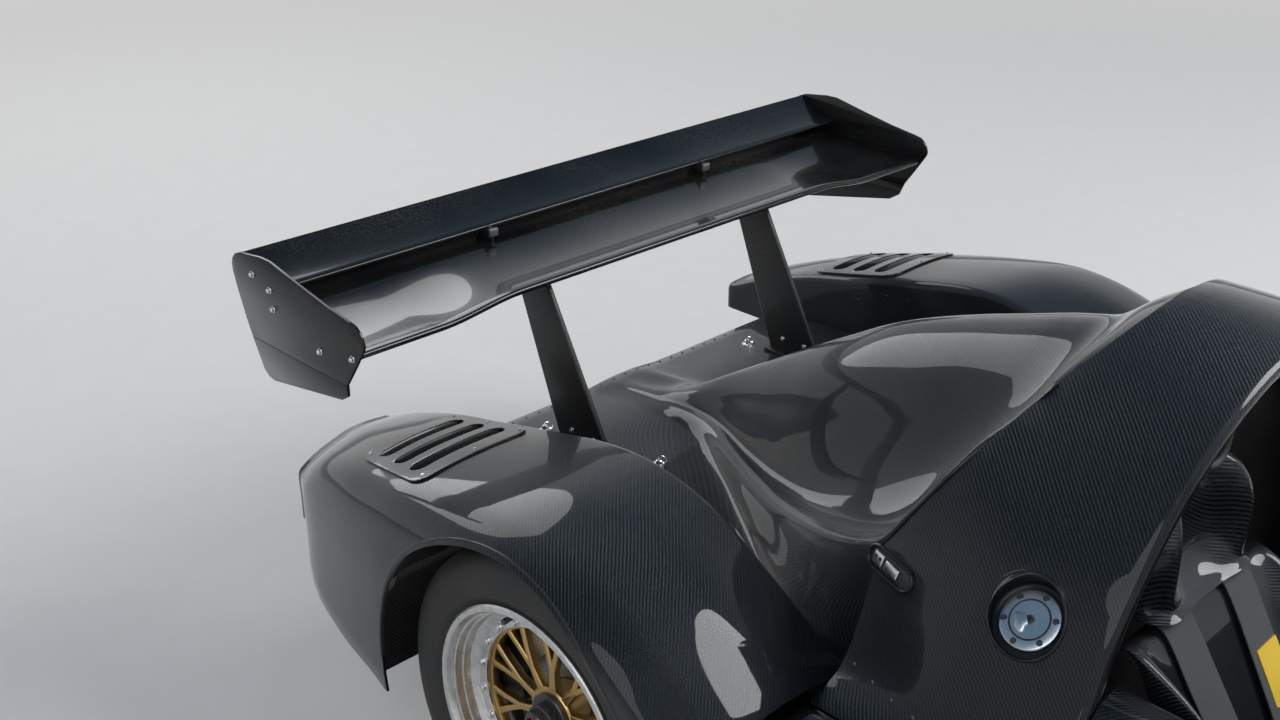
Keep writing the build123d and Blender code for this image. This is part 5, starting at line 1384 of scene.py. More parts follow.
def spun_valve(side, flange, y, z):
    """Valve stem with its ribbed cap, near the edge of the well."""
    start_clean()
    bpy.ops.mesh.primitive_cylinder_add(vertices=16, radius=0.0042, depth=0.030, location=(0, 0, 0.015))
    stem = bpy.context.object
    bpy.ops.mesh.primitive_cylinder_add(vertices=12, radius=0.0052, depth=0.010, location=(0, 0, 0.030))
    cap = bpy.context.object
    for part in (stem, cap):
        modify(part, "BEVEL", width=0.0008, segments=2)
        activate(part)
        bpy.ops.object.transform_apply(location=True, rotation=True, scale=True)
    whole = joined([stem, cap], "valve")
    whole.data.transform(around(side, flange + 2.0, y, z, 0.35) @ Matrix.Translation((0.1815, 0, 0)))
    return whole


for end in WHEELS:
    for side in (-1, 1):
        whole_wheel(end, side)
print("wheels ready")

# %% [markdown]
# ## Wheel-well liners
# Under each fender a thin round sheet keeps stones and spray off the body. It also makes the gap
# round the tyre look dark and deep. The sheet starts inside the fender's inner wall and reaches out
# to wherever the outer skin is at that angle, which rays from the side find out.


# %% Liners over the wheels
def wheel_liner(end, side, first, last):
    """A thin round sheet over a wheel, between two angles from the top, in degrees."""
    y, z = WHEELS[end][0], WHEELS[end][1]
    inner = 0.4985 if end == "rear" else 0.4615
    skin = fender_skins[end, side]
    ribs, reach = [], 0.845
    for angle in np.radians(np.linspace(first, last, 49)):
        back, height = (y + 339.0 * sin(angle)) * MM, (z + 339.0 * cos(angle)) * MM
        hit, place, _, _ = skin.ray_cast((side * RAY_SIDE, back, height), (-side, 0.0, 0.0))
        if hit and abs(place.x) > OUTER_SKIN:
            reach = abs(place.x) - 0.004
        spot_y, spot_z = (y + 336.5 * sin(angle)) * MM, (z + 336.5 * cos(angle)) * MM
        ribs.append([(side * (inner + (reach - inner) * t), spot_y, spot_z) for t in (0.0, 0.33, 0.67, 1.0)])
    name = SIDE_NAMES[side]
    liner = panel(f"{end}_liner_{name}", ribs, cuts=(2, 1), wall=0.0025, outwards=(0, 0, -1))
    settle(liner, structure_carbon, "chassis")


for side in (-1, 1):
    wheel_liner("rear", side, -65.5, 97.0)
    wheel_liner("front", side, -92.0, 64.0)
print("liners ready")

# %% [markdown]
# ## Tubes and closed ends
# Bars, pipes, shafts and handles are all the same thing: a circle carried along a smooth line. The
# circle must not twist on the way, so each one starts from the turn of the one before it.


# %% Helpers for tubes and lathe-turned parts
def tube(name, points, radius, sides=16, cuts=6):
    """A round bar along a smooth line through the points. The radius can be one per point."""
    line = through(points, cuts)
    radii = np.interp(
        np.linspace(0, 1, len(line)), np.linspace(0, 1, len(points)), np.broadcast_to(radius, len(points))
    )
    way = np.gradient(line, axis=0)
    way /= np.linalg.norm(way, axis=1).reshape(-1, 1)
    first = np.cross(way[0], (0.0, 0.0, 1.0) if abs(way[0][2]) < 0.9 else (1.0, 0.0, 0.0))
    rings_of, turns = [], np.linspace(0, 2 * pi, sides + 1)
    for place, ahead, size in zip(line, way, radii):
        first = first - ahead * np.dot(first, ahead)
        first /= np.linalg.norm(first)
        second = np.cross(ahead, first)
        rings_of.append([place + size * (cos(a) * first + sin(a) * second) for a in turns])
    return close_ends(laid_grid(name, rings_of, None, loop=True))


def turned(name, profile, place, direction, steps=48):
    """A lathe-turned part: a closed outline of (radius, height) spun about its own axis, stood at a place."""
    piece = wheel_of(name, [(height, radius) for radius, height in profile], (0.0, 0.0, 0.0), steps)
    piece.data.transform(facing(place, direction) @ Matrix.Rotation(-pi / 2.0, 4, "Y"))
    return piece


def block(name, size, place, bevel=0.001, segments=2, turn=None):
    """A box with rounded edges: a cube that is scaled, then bevelled."""
    start_clean()
    bpy.ops.mesh.primitive_cube_add(size=1.0)
    piece = bpy.context.object
    piece.name = name
    piece.scale = size
    bpy.ops.object.transform_apply(location=False, rotation=False, scale=True)
    soften(piece, bevel, segments, 40)
    piece.data.transform(Matrix.Translation(Vector(place)) @ (turn or Matrix.Identity(4)))
    return piece


def squared(value, power):
    """A sine or cosine pushed outwards, which flattens the sides of a round outline."""
    return abs(value) ** power * (1 if value >= 0 else -1)


def on_skin(skin, start, way):
    """Where a ray meets a skin, and the skin's normal there, turned against the ray."""
    _, place, normal, _ = skin.ray_cast(Vector(start), Vector(way).normalized())
    normal = Vector(normal)
    return Vector(place), (normal if normal.dot(Vector(way)) < 0.0 else -normal)


def height_of(skin, x, y):
    """How high a skin is at a place, by a ray from above."""
    return skin.ray_cast((x, y, RAY_TOP), (0, 0, -1))[1].z


print("tube helpers ready")

# %% [markdown]
# ## The seat
# The bucket seat is one thin carbon shell. Its cross-sections follow the driver: nearly flat at the
# top of the back, with high sides round the ribs and the thighs, and a lip that rolls over in front.
# Each section stands at right angles to the line down the back and along the pan.

# %% Bucket shell, its brackets and its cushion
SEAT_X, SEAT_BACK = -0.190, 0.606
seat_stations = [
    # distance from the firewall and height, and how high the side is there, in millimetres
    (-88, 628, 0.5), (-98, 643, 1), (-116, 647.5, 3), (-136, 634, 12), (-175, 570, 52), (-235, 470, 84),
    (-300, 362, 96), (-352, 276, 94), (-390, 219, 86), (-432, 178, 80), (-490, 162, 78), (-560, 160, 76),
    (-640, 163, 66), (-700, 176, 40), (-735, 197, 14), (-752, 203, 3), (-760, 196, 0.5),
]
side_profile = [
    (1.0, -0.16), (1.0, 0.7), (0.985, 1.0), (0.955, 1.02), (0.925, 0.93), (0.885, 0.62), (0.82, 0.24),
    (0.70, 0.05), (0.45, 0.0), (0.2, 0.0),
]
seat_profile = [(-x, up) for x, up in side_profile] + [(0.0, 0.0)] + side_profile[::-1]
centres = np.array([(SEAT_BACK * 1000 + y, z) for y, z, side in seat_stations])
slope = np.gradient(centres, axis=0)
slope /= np.linalg.norm(slope, axis=1).reshape(-1, 1)
seat_ribs = []
for (y, z), (along_y, along_z), (back, height, high) in zip(centres, slope, seat_stations):
    out_y, out_z = along_z, -along_y
    seat_ribs.append([
        (SEAT_X + 0.198 * x, (y + high * up * out_y) * MM, (z + high * up * out_z) * MM)
        for x, up in seat_profile
    ])
seat_shell = panel("seat_shell", seat_ribs, cuts=(3, 4), wall=0.0045, outwards=(0, -0.6, 0.8))
soften(seat_shell, 0.0010)
settle(seat_shell, seat_carbon, "chassis", ["seat"])

brackets = []
for side in (-1, 1):
    x = SEAT_X + side * 0.120
    outline = [
        (0.160, 0.0930), (0.150, 0.1560), (-0.040, 0.1560), (-0.050, 0.0930), (-0.010, 0.0930), (0.005, 0.125),
        (0.105, 0.125), (0.120, 0.0930),
    ]
    brackets.append(plate("seat_bracket", [(x, y, z) for y, z in outline], (side * 0.004, 0, 0), bevel=0.0008))
settle(joined(brackets, "seat_brackets"), satin_black, "chassis")


def cushion(name, centre, size, height, channels):
    """A crowned pad: a grid whose top swells between its sewn channels, with its sides pulled in."""
    across, along = np.linspace(-1, 1, 41), np.linspace(-1, 1, 41)
    rows = []
    for v in along:
        row = []
        for u in across:
            swell = (1 - abs(u) ** 5) ** 0.5 * (1 - abs(v) ** 5) ** 0.5
            seam = min([abs(v - c) for c in channels])
            dip = 0.34 * max(0.0, 1 - (seam / 0.09)) ** 2
            pull_in = 1 - 0.035 * (1 - v * v), 1 - 0.030 * (1 - u * u)
            row.append((
                centre[0] + size[0] * u * pull_in[0] / 2, centre[1] + size[1] * v * pull_in[1] / 2,
                centre[2] + height * swell * (1 - dip),
            ))
        rows.append(row)
    pad = laid_grid(name, rows, (0, 0, 1))
    modify(pad, "SOLIDIFY", thickness=0.006, offset=-1.0)
    modify(pad, "SUBSURF", levels=1, render_levels=1)
    return pad


seat_pad = cushion("seat_cushion", (SEAT_X, 0.048, 0.166), (0.300, 0.200), 0.020, (-0.36, 0.36))
settle(seat_pad, pad_cloth, "chassis", angle=60.0)
print("seat faces:", len(seat_shell.data.polygons), "cushion faces:", len(seat_pad.data.polygons))

# %% [markdown]
# ## Head surround and roll hoop
# Behind the driver's head a glossy moulding grows out of the firewall, with an ear on each side and
# a hollow for the helmet between them. Its foot flares out over the shoulder belts. Behind the
# fairing's rim runs the steel tube that really carries the load, tied to the moulding by a gusset.

# %% Surround, roll hoop and gusset
WALL_FRONT = 0.6085
surround_levels = [
    # height, then half width and distance from the firewall, from the side to the middle
    (664, [(146, 2), (147, 70), (140, 118), (116, 141), (80, 142), (45, 138), (0, 137)]),
    (667, [(143, 2), (144, 68), (137, 115), (113, 137), (78, 138), (44, 133), (0, 131)]),
    (676, [(137, 2), (138, 62), (131, 108), (108, 130), (78, 128), (44, 116), (0, 112)]),
    (700, [(136, 2), (138, 58), (132, 106), (110, 130), (84, 122), (50, 98), (0, 88)]),
    (740, [(140, 2), (143, 58), (136, 108), (112, 132), (86, 118), (52, 88), (0, 76)]),
    (780, [(138, 2), (141, 54), (132, 104), (107, 128), (82, 114), (50, 84), (0, 72)]),
    (815, [(128, 2), (131, 46), (120, 92), (96, 114), (74, 100), (46, 74), (0, 64)]),
    (834, [(112, 2), (114, 36), (102, 74), (82, 94), (64, 82), (40, 62), (0, 54)]),
    (843, [(92, 2), (92, 26), (82, 54), (66, 70), (52, 60), (34, 46), (0, 40)]),
    (846, [(66, 2), (64, 16), (57, 34), (46, 46), (36, 40), (24, 30), (0, 26)]),
]
surround_ribs = []
for height, half in surround_levels:
    line = [(-x, d) for x, d in half] + [(x, d) for x, d in reversed(half[:-1])]
    surround_ribs.append([(SEAT_X + x * MM, WALL_FRONT - d * MM, height * MM) for x, d in line])
surround = panel("head_surround", surround_ribs, cuts=(4, 4), wall=0.004, outwards=(0, -1, 0.3))
settle(surround, seat_carbon, "chassis", ["headrest"])

tube_line = moved_inwards(whole_ribs[2][1], 78.0)
roll_arch = [(x * MM, 0.560, z * MM) for x, z in tube_line[2:-2]]
roll_points = [(-0.447, 0.560, 0.5605)] + roll_arch + [(0.447, 0.560, 0.5605)]
roll_hoop = tube("roll_hoop_tube", roll_points, 0.0205, sides=24, cuts=5)
settle(roll_hoop, satin_black, "chassis", angle=50.0)
gusset_outline = [
    (-0.262, 0.552, 0.820), (-0.120, 0.552, 0.842), (-0.070, 0.552, 0.925), (-0.105, 0.552, 0.938),
    (-0.215, 0.552, 0.893), (-0.280, 0.552, 0.850),
]
gusset = plate("hoop_gusset", gusset_outline, (0, 0.004, 0), bevel=0.0008)
settle(gusset, structure_carbon, "chassis")
handle_points = [
    (-0.245, 0.497, 0.908), (-0.243, 0.494, 0.885), (-0.225, 0.492, 0.870), (-0.196, 0.492, 0.869),
    (-0.176, 0.494, 0.888), (-0.170, 0.497, 0.938),
]
handle = tube("hoop_loop", handle_points, 0.0062, sides=12)
settle(handle, black_rubber, "chassis", angle=50.0)
print("surround faces:", len(surround.data.polygons))

# %% [markdown]
# ## The harness
# Two broad shoulder belts come out from under the surround and lie down the seat back to the buckle.
# Two lap belts come from the sides. Webbing is a flat ribbon with a small thickness, so each belt is
# a grid as wide as the webbing that follows its line, with the cloth's map in metres for the ribs.


# %% Belts, buckle and release tabs
def belt(name, line, width, wall=0.0022, cuts=6):
    """A ribbon along a line of (place, way across)."""
    ribs = []
    for place, sideways in line:
        place, sideways = np.array(place, float), np.array(sideways, float)
        sideways /= np.linalg.norm(sideways)
        ribs.append([place + sideways * width * t for t in (-0.5, -0.47, 0.0, 0.47, 0.5)])
    ribbon = panel(name, ribs, cuts=(2, cuts), wall=wall, outwards=(0, -0.7, 0.7))
    return settle(ribbon, webbing, "chassis", angle=50.0)


BUCKLE = Vector((SEAT_X, 0.226, 0.256))
for side in (-1, 1):
    x = SEAT_X + side * 0.088
    line = [
        ((x, 0.600, 0.6545), (1, 0, 0)), ((x, 0.520, 0.6565), (1, 0, 0)), ((x, 0.482, 0.6545), (1, 0, 0)),
        ((x - side * 0.001, 0.4625, 0.6350), (1, 0, 0)),
        ((x - side * 0.004, 0.4230, 0.5720), (1, 0, -side * 0.02)),
        ((x - side * 0.014, 0.3500, 0.4560), (1, 0, side * 0.05)),
        ((x - side * 0.034, 0.2850, 0.3560), (1, 0, side * 0.12)),
        ((x - side * 0.056, 0.2350, 0.2960), (1, 0, side * 0.2)),
    ]
    belt(f"shoulder_belt_{SIDE_NAMES[side]}", line, 0.074)
    lap = [
        ((SEAT_X + side * 0.160, 0.150, 0.214), (0, 0.85, 0.5)),
        ((SEAT_X + side * 0.128, 0.168, 0.224), (0, 0.8, 0.6)),
        ((SEAT_X + side * 0.085, 0.192, 0.240), (0, 0.7, 0.7)),
        ((SEAT_X + side * 0.032, 0.212, 0.256), (0, 0.6, 0.8)),
    ]
    belt(f"lap_belt_{SIDE_NAMES[side]}", lap, 0.048)
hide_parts("harness")

face_way = Vector((0.0, -0.78, 0.62)).normalized()
buckle_parts = [
    turned(
        "buckle", [(0.0005, 0), (0.030, 0), (0.031, 0.003), (0.030, 0.013), (0.027, 0.016), (0.0005, 0.017)],
        BUCKLE, face_way
    )
]
for angle in (0.0, pi / 2, pi, 3 * pi / 2):
    wing = block("wing", (0.008, 0.026, 0.006), (0, 0, 0), bevel=0.0015)
    wing.data.transform(facing(BUCKLE + face_way * 0.0175, face_way, angle) @ Matrix.Translation((0, 0.012, 0)))
    buckle_parts.append(wing)
settle(joined(buckle_parts, "harness_buckle"), satin_black, "chassis", angle=30.0)
tongues = []
for side in (-1, 1):
    for place, lean in (
        ((SEAT_X + side * 0.028, 0.2335, 0.2835), side * 0.5),
        ((SEAT_X + side * 0.030, 0.2130, 0.2610), side * 1.4)
    ):
        tongue = block("tongue", (0.024, 0.034, 0.0025), (0, 0, 0), bevel=0.0008)
        tongue.data.transform(facing(place, face_way, lean))
        tongues.append(tongue)
settle(joined(tongues, "harness_tongues"), bright_metal, "chassis", angle=30.0)

adjusters = []
for side in (-1, 1):
    adjuster = block("adjuster", (0.086, 0.030, 0.005), (0, 0, 0), bevel=0.0012)
    adjuster.data.transform(facing((SEAT_X + side * 0.070, 0.3355, 0.4385), (0, -0.838, 0.545)))
    adjusters.append(adjuster)
settle(joined(adjusters, "belt_adjusters"), dark_bolt, "chassis", angle=30.0)
tab_line = [
    ((-0.1015, 0.4128, 0.5608), (1, 0, 0.02)), ((-0.1020, 0.3900, 0.5240), (1, 0, 0.06)),
    ((-0.1030, 0.3700, 0.4900), (1, 0, 0.1)),
    ((-0.1035, 0.3590, 0.4700), (1, 0, 0.1)),
]
tab = belt("release_tab", tab_line, 0.058, wall=0.003)
tab.data.materials.clear()
tab.data.materials.append(tag_yellow)

# %% [markdown]
# ## Steering wheel and column
# The steering wheel turns, so all its pieces ride on the steering body. Its rim is a flattened ring,
# wrapped in suede at the sides, round a carbon plate with a small display and push buttons. It is
# drawn flat, with its own Z towards the driver, and then stood on the column's line.

# %% Steering wheel, column and their fittings
WHEEL_CENTRE = Vector((-0.190, -0.0204, 0.5232))
COLUMN_WAY = Vector((0.0, cos(radians(12.0)), sin(radians(12.0))))
on_column = facing(WHEEL_CENTRE, COLUMN_WAY)
rim_ribs = []
for angle in np.linspace(0, 2 * pi, 73):
    c, s = cos(angle), sin(angle)
    middle = Vector((0.128 * squared(c, 0.72), 0.116 * squared(s, 0.72), 0.0))
    out = middle.normalized()
    thick = 0.0110 + 0.0022 * abs(c) ** 2
    rim_ribs.append(
        [middle + out * thick * cos(a) + Vector((0, 0, thick * sin(a))) for a in np.linspace(0, 2 * pi, 17)]
    )
wheel_rim = laid_grid("steering_rim", rim_ribs, None, loop=True)
wheel_rim.data.transform(on_column)
settle(wheel_rim, suede, "steering", ["steering_wheel"], angle=60.0)

plate_outline = [
    (-0.118, 0.030), (-0.095, 0.046), (-0.050, 0.050), (0.050, 0.050), (0.095, 0.046), (0.118, 0.030),
    (0.118, -0.020), (0.080, -0.040), (0.045, -0.062), (-0.045, -0.062), (-0.080, -0.040), (-0.118, -0.020),
]
centre_plate = plate(
    "steering_plate", [(x, y, -0.006) for x, y in plate_outline], (0, 0, 0.012), bevel=0.002, segments=3
)
centre_plate.data.transform(on_column)
settle(centre_plate, seat_carbon, "steering", angle=30.0)
display = block("display", (0.092, 0.040, 0.006), (0, 0.018, 0.0085), bevel=0.0015)
display.data.transform(on_column)
settle(display, dial_face, "steering", angle=30.0)
for finish_of, name, slot, spots in (
    (
        caliper_paint, "steering_buttons_dark", "dark_metal",
        [(-0.080, 0.026), (0.080, 0.026), (-0.070, -0.026), (0.0, -0.045)]
    ),
    (red_anodised, "steering_buttons_red", "satin_black_metal", [(-0.080, 0.002), (0.070, -0.026)]),
    (tag_yellow, "steering_buttons_yellow", "strap_webbing", [(0.080, 0.002)]),
):
    start_clean()
    bpy.ops.mesh.primitive_cylinder_add(vertices=24, radius=0.0062, depth=0.008)
    button = bpy.context.object
    soften(button, 0.0014, 3)
    placed = [on_column @ Matrix.Translation((x, y, 0.0098)) for x, y in spots]
    settle(copies(button, name, placed), finish_of, "steering", angle=30.0)
column = turned(
    "steering_column",
    [
        (0.0005, -0.400), (0.0140, -0.400), (0.0140, -0.070), (0.0200, -0.066), (0.0200, -0.046),
        (0.0300, -0.042), (0.0300, -0.018), (0.0240, -0.014), (0.0240, -0.007), (0.0005, -0.007),
    ],
    WHEEL_CENTRE, COLUMN_WAY,
)
settle(column, satin_black, "steering", angle=35.0)
paddles = []
for side in (-1, 1):
    outline = [
        (side * 0.030, 0.020), (side * 0.085, 0.036), (side * 0.110, 0.030), (side * 0.112, -0.012),
        (side * 0.085, -0.020), (side * 0.030, -0.008),
    ]
    paddles.append(plate("paddle", [(x, y, -0.026) for x, y in outline], (0, 0, 0.003), bevel=0.0008))
    paddles[-1].data.transform(on_column)
settle(joined(paddles, "shift_paddles"), structure_carbon, "steering", angle=30.0)
print("steering wheel ready")

# %% [markdown]
# ## Dashboard and windscreen
# The dashboard is a flat carbon plate across the tub. Round dials sit in turned bezels, and toggle
# switches stand in a row, as small controls that don't move here. Ahead of the driver a low curved
# screen stands on the cowl. Its foot follows the cowl's skin, found by rays from above.

# %% Dashboard with dials, switches and a bush for the column
DASH = -0.415
dash_outline = [
    (-0.4393, 0.4005), (-0.4393, 0.5245), (-0.3000, 0.5395), (0.3000, 0.5395), (0.4393, 0.5245),
    (0.4393, 0.4005),
]
dash_plate = plate("dash_plate", [(x, DASH, z) for x, z in dash_outline], (0, -0.0138, 0), bevel=0.0015)
settle(dash_plate, structure_carbon, "chassis", ["dashboard"])
bezels, faces, needles, toggles = [], [], [], []
for x, z, radius in (
    (-0.300, 0.490, 0.030), (-0.085, 0.490, 0.030), (-0.020, 0.482, 0.022), (0.033, 0.482, 0.022)
):
    bezel = [
        (radius, 0), (radius, 0.008), (radius - 0.002, 0.010), (radius - 0.004, 0.009),
        (radius - 0.0045, 0.0015), (radius - 0.0045, 0),
    ]
    bezels.append(turned("bezel", bezel, (x, DASH, z), (0, 1, 0), 40))
    faces.append(
        turned(
            "dial", [(0.0003, 0), (radius - 0.0046, 0), (radius - 0.0046, 0.002), (0.0003, 0.002)],
            (x, DASH, z), (0, 1, 0), 40
        )
    )
    for turn in np.radians(np.linspace(-130, 130, 9)):
        mark = block("mark", (0.0010, 0.0004, 0.0040), (0, 0, 0), bevel=0.0001, segments=1)
        reach = radius - 0.0085
        mark.data.transform(
            Matrix.Translation((x, DASH + 0.0022, z)) @ Matrix.Rotation(turn, 4, "Y")
            @ Matrix.Translation((0, 0, reach))
        )
        needles.append(mark)
    needle = block("needle", (0.0014, 0.0006, radius * 0.66), (0, 0, radius * 0.27), bevel=0.0002, segments=1)
    needle.data.transform(Matrix.Translation((x, DASH + 0.0032, z)) @ Matrix.Rotation(radians(-70), 4, "Y"))
    needles.append(needle)
settle(joined(bezels, "dial_bezels"), bright_metal, "chassis", angle=30.0)
settle(joined(faces, "dial_faces"), dial_face, "chassis", angle=30.0)
settle(joined(needles, "dial_marks"), dial_white, "chassis", angle=30.0)
for i in range(7):
    x = 0.115 + 0.038 * i
    toggles.append(
        turned(
            "toggle_nut",
            [(0.0003, 0), (0.0075, 0), (0.0075, 0.003), (0.0045, 0.004), (0.0040, 0.009), (0.0003, 0.009)],
            (x, DASH, 0.478), (0, 1, 0), 12
        )
    )
    toggles.append(
        turned(
            "toggle", [(0.0003, 0), (0.0016, 0), (0.0026, 0.018), (0.0022, 0.021), (0.0003, 0.022)],
            (x, DASH + 0.006, 0.478), (0, 0.9, 0.42 if i % 3 else -0.42), 16
        )
    )
settle(joined(toggles, "dash_toggles"), bright_metal, "chassis", angle=35.0)
lights = [
    turned(
        "warning_light", [(0.0003, 0), (0.0060, 0), (0.0058, 0.003), (0.0035, 0.0055), (0.0003, 0.0062)],
        (x, DASH, 0.508), (0, 1, 0), 20
    )
    for x in (0.115, 0.153)
]
settle(joined(lights, "dash_lights"), light_red, "chassis", angle=60.0)
bush = turned(
    "column_bush", [(0.0160, 0), (0.0300, 0), (0.0300, 0.003), (0.0200, 0.005), (0.0160, 0.005)],
    (-0.190, DASH, 0.4395), (0, 1, 0.1), 40
)
settle(bush, satin_black, "chassis", angle=35.0)

# %% Windscreen on the cowl
arc = np.radians(np.linspace(-47, 47, 33))
screen_lines = []
for share in (0.0, 0.35, 0.7, 1.0):
    line = []
    for angle in arc:
        x, back = (
            0.400 * sin(angle) / sin(radians(47)),
            -0.541 + 0.092 * (1 - cos(angle)) / (1 - cos(radians(47))),
        )
        hit, foot, _, _ = cowl_skin.ray_cast((x, back, 1.2), (0, 0, -1))
        low = (foot.z if hit else 0.560) + 0.0006
        top = 0.6895 - 0.060 * abs(sin(angle) / sin(radians(47))) ** 3
        line.append((x, back + 0.010 * share, low + (max(top, low + 0.004) - low) * share))
    screen_lines.append(line)
screen = laid_grid("windscreen_shell", screen_lines, (0, -1, 0))
modify(screen, "SOLIDIFY", thickness=0.004, offset=-1.0)
soften(screen, 0.0008)
settle(screen, clear_screen, "chassis", ["windscreen"], angle=50.0)
seal = tube(
    "screen_seal", [(x, y - 0.002, z + 0.001) for x, y, z in screen_lines[0][1:-1:2]],
    0.0035, sides=10, cuts=3,
)
settle(seal, black_rubber, "chassis", angle=60.0)
print("dashboard and screen ready")

# %% [markdown]
# ## Fuel filler
# The filler cap sits at the bottom of a round bowl sunk in the fairing's flank. The bowl's rim has to
# follow the flank's curve: rays sent along the bowl's own axis find how high the skin is all the way
# round, and the bowl's section is stretched to that height at each angle.

# %% Bowl and cap
rows = []
stand_cap = facing(CAP, CAP_WAY)
for angle in np.linspace(0, 2 * pi, 97):
    spot = stand_cap @ Vector((0.0550 * cos(angle), 0.0550 * sin(angle), 0.30))
    _, place, _, _ = hoop_skin.ray_cast(spot, -CAP_WAY)
    top = (place - CAP).dot(CAP_WAY)
    fillet = min(0.0080, max(top * 0.5, 0.0012))
    section = [
        (0.0585, top - 0.0004), (0.0578, top + 0.0012), (0.0560, top + 0.0022), (0.0544, top + 0.0014),
        (0.0537, top - 0.0008), (0.0536, top * 0.5 + fillet * 0.3), (0.0534, fillet), (0.0526, fillet * 0.45),
        (0.0500, 0.0009), (0.0470, 0.0004), (0.0448, 0.0), (0.0446, -0.0035),
    ]
    rows.append([stand_cap @ Vector((r * cos(angle), r * sin(angle), t)) for r, t in section])
bowl = panel("filler_bowl", rows, cuts=(2, 1), wall=0.002, outwards=(0, 0, 1), loop=True)
settle(bowl, body_carbon, "chassis", angle=50.0)
flange = [
    (0.0003, -0.010), (0.0436, -0.010), (0.0438, 0.0036), (0.0426, 0.0052), (0.0405, 0.0058), (0.0300, 0.0060),
    (0.0292, 0.0044), (0.0280, 0.0044), (0.0272, 0.0060), (0.0072, 0.0060), (0.0064, 0.0050), (0.0003, 0.0050),
]
settle(
    turned("filler_cap", flange, CAP, CAP_WAY, 96), cap_metal, "chassis", ["fuel_cap"],
    angle=25.0
)
cap_bolts = [
    stand_cap @ Matrix.Rotation(pi / 3 * i + 0.35, 4, "Z") @ Matrix.Translation((0.0362, 0, 0.0046))
    for i in range(6)
]
settle(
    copies(small_bolt(0.0050, 0.0028), "cap_bolts", cap_bolts),
    dark_bolt, "chassis", angle=30.0,
)
key_hub = turned(
    "key_hub",
    [
        (0.0003, 0.0050), (0.0056, 0.0050), (0.0054, 0.0074), (0.0030, 0.0080), (0.0026, 0.0066),
        (0.0003, 0.0066)
    ],
    CAP, CAP_WAY, 32
)
settle(key_hub, dial_face, "chassis", angle=30.0)
cap_ring = turned(
    "cap_ring_seal", [(0.0282, 0.0040), (0.0298, 0.0040), (0.0298, 0.0053), (0.0290, 0.0057), (0.0282, 0.0053)],
    CAP, CAP_WAY, 96
)
settle(cap_ring, dial_face, "chassis", angle=60.0)
thumb_outline = [
    (-3, -1), (-8, 2), (-19, -3), (-21, -8), (-14, -14), (-8, -21), (3, -22), (6, -17), (2, -10), (3, -5)
]
thumb = plate(
    "cap_thumb_flap", [(x * MM, y * MM, 0.0060) for x, y in thumb_outline], (0, 0, 0.0022), bevel=0.0007,
    segments=2
)
thumb.data.transform(stand_cap @ Matrix.Rotation(radians(-20), 4, "Z"))
settle(thumb, cap_metal, "chassis", angle=30.0)
print(
    "filler ready, rim from", round(min(row[0].z for row in rows), 4), "to",
    round(max(row[0].z for row in rows), 4)
)

# %% [markdown]
# ## Latches, pins and bolts
# Each latch is a long pocket with a rolled edge, a plate in it and a lever across the joint. All are
# drawn flat, with Z as the skin's outward way, and stood on the skin where a ray from the side
# meets it. Screws and quick-release pins are modelled once and copied.

# %% Latches across the joint
def stadium(long, wide, steps=9):
    """Outline of a long slot with round ends, about its own middle."""
    turns = np.linspace(-pi / 2, pi / 2, steps)
    right = [((long - wide) / 2 + wide / 2 * cos(a), wide / 2 * sin(a)) for a in turns]
    return right + [(-x, -y) for x, y in right]


def stood(skin, start, way, along):
    """A matrix that puts Z along a skin's outward normal and X along a given direction."""
    place, normal = on_skin(skin, start, way)
    x_way = (Vector(along) - normal * Vector(along).dot(normal)).normalized()
    y_way = normal.cross(x_way)
    turned_to = Matrix((x_way, y_way, normal)).transposed().to_4x4()
    return Matrix.Translation(place) @ turned_to


frames, backs, levers, hole_shades = [], [], [], []
for side in (-1, 1):
    latch_at = stood(hoop_skin, (side * 1.2, 0.8270, 0.6630), (-side, 0, 0), (0, -1.0, -0.18))
    spot = latch_at @ Matrix.Scale(1.16, 4)
    ring = []
    for grow, up in (
        (0.000, -0.0030), (0.000, 0.0030), (0.0015, 0.0046), (0.0036, 0.0048), (0.0052, 0.0032),
        (0.0058, -0.0020)
    ):
        edge = stadium(0.078 + 2 * grow, 0.024 + 2 * grow)
        ring.append([(x, y, up) for x, y in edge + [edge[0]]])
    frame_piece = laid_grid("latch_frame", ring, (0, 0, 1), loop=True)
    back = plate(
        "latch_back", [(x, y, -0.002) for x, y in stadium(0.0775, 0.0235)], (0, 0, 0.003), bevel=0.0003
    )
    lever = block("lever", (0.026, 0.014, 0.0050), (0.005, 0, 0.0030), bevel=0.0016, segments=3)
    hook = block("hook", (0.018, 0.017, 0.0030), (-0.023, 0, 0.0018), bevel=0.0012, segments=3)
    # Two dark discs on the hook stand for its holes: painted shade, where a real hole is dark inside
    for x in (-0.026, -0.018):
        start_clean()
        bpy.ops.mesh.primitive_cylinder_add(
            vertices=24, radius=0.0026, depth=0.0008, location=(x - 0.001, 0.001, 0.0034)
        )
        hole_shades.append(bpy.context.object)
        hole_shades[-1].data.transform(spot @ hole_shades[-1].matrix_world)
        hole_shades[-1].matrix_world = Matrix.Identity(4)
    for part, group in ((frame_piece, frames), (back, backs), (lever, levers), (hook, levers)):
        part.data.transform(spot)
        group.append(part)
latch_frames = joined(frames, "latch_frames")
settle(latch_frames, body_carbon, "chassis", ["latches"], angle=60.0)
settle(joined(backs, "latch_plates"), dial_face, "chassis", angle=30.0)
settle(joined(levers, "latch_levers"), bright_metal, "chassis", angle=30.0)
# The hook's holes are dark discs, a painted shade
settle(joined(hole_shades, "latch_hole_shades"), dial_face, "chassis", angle=30.0)

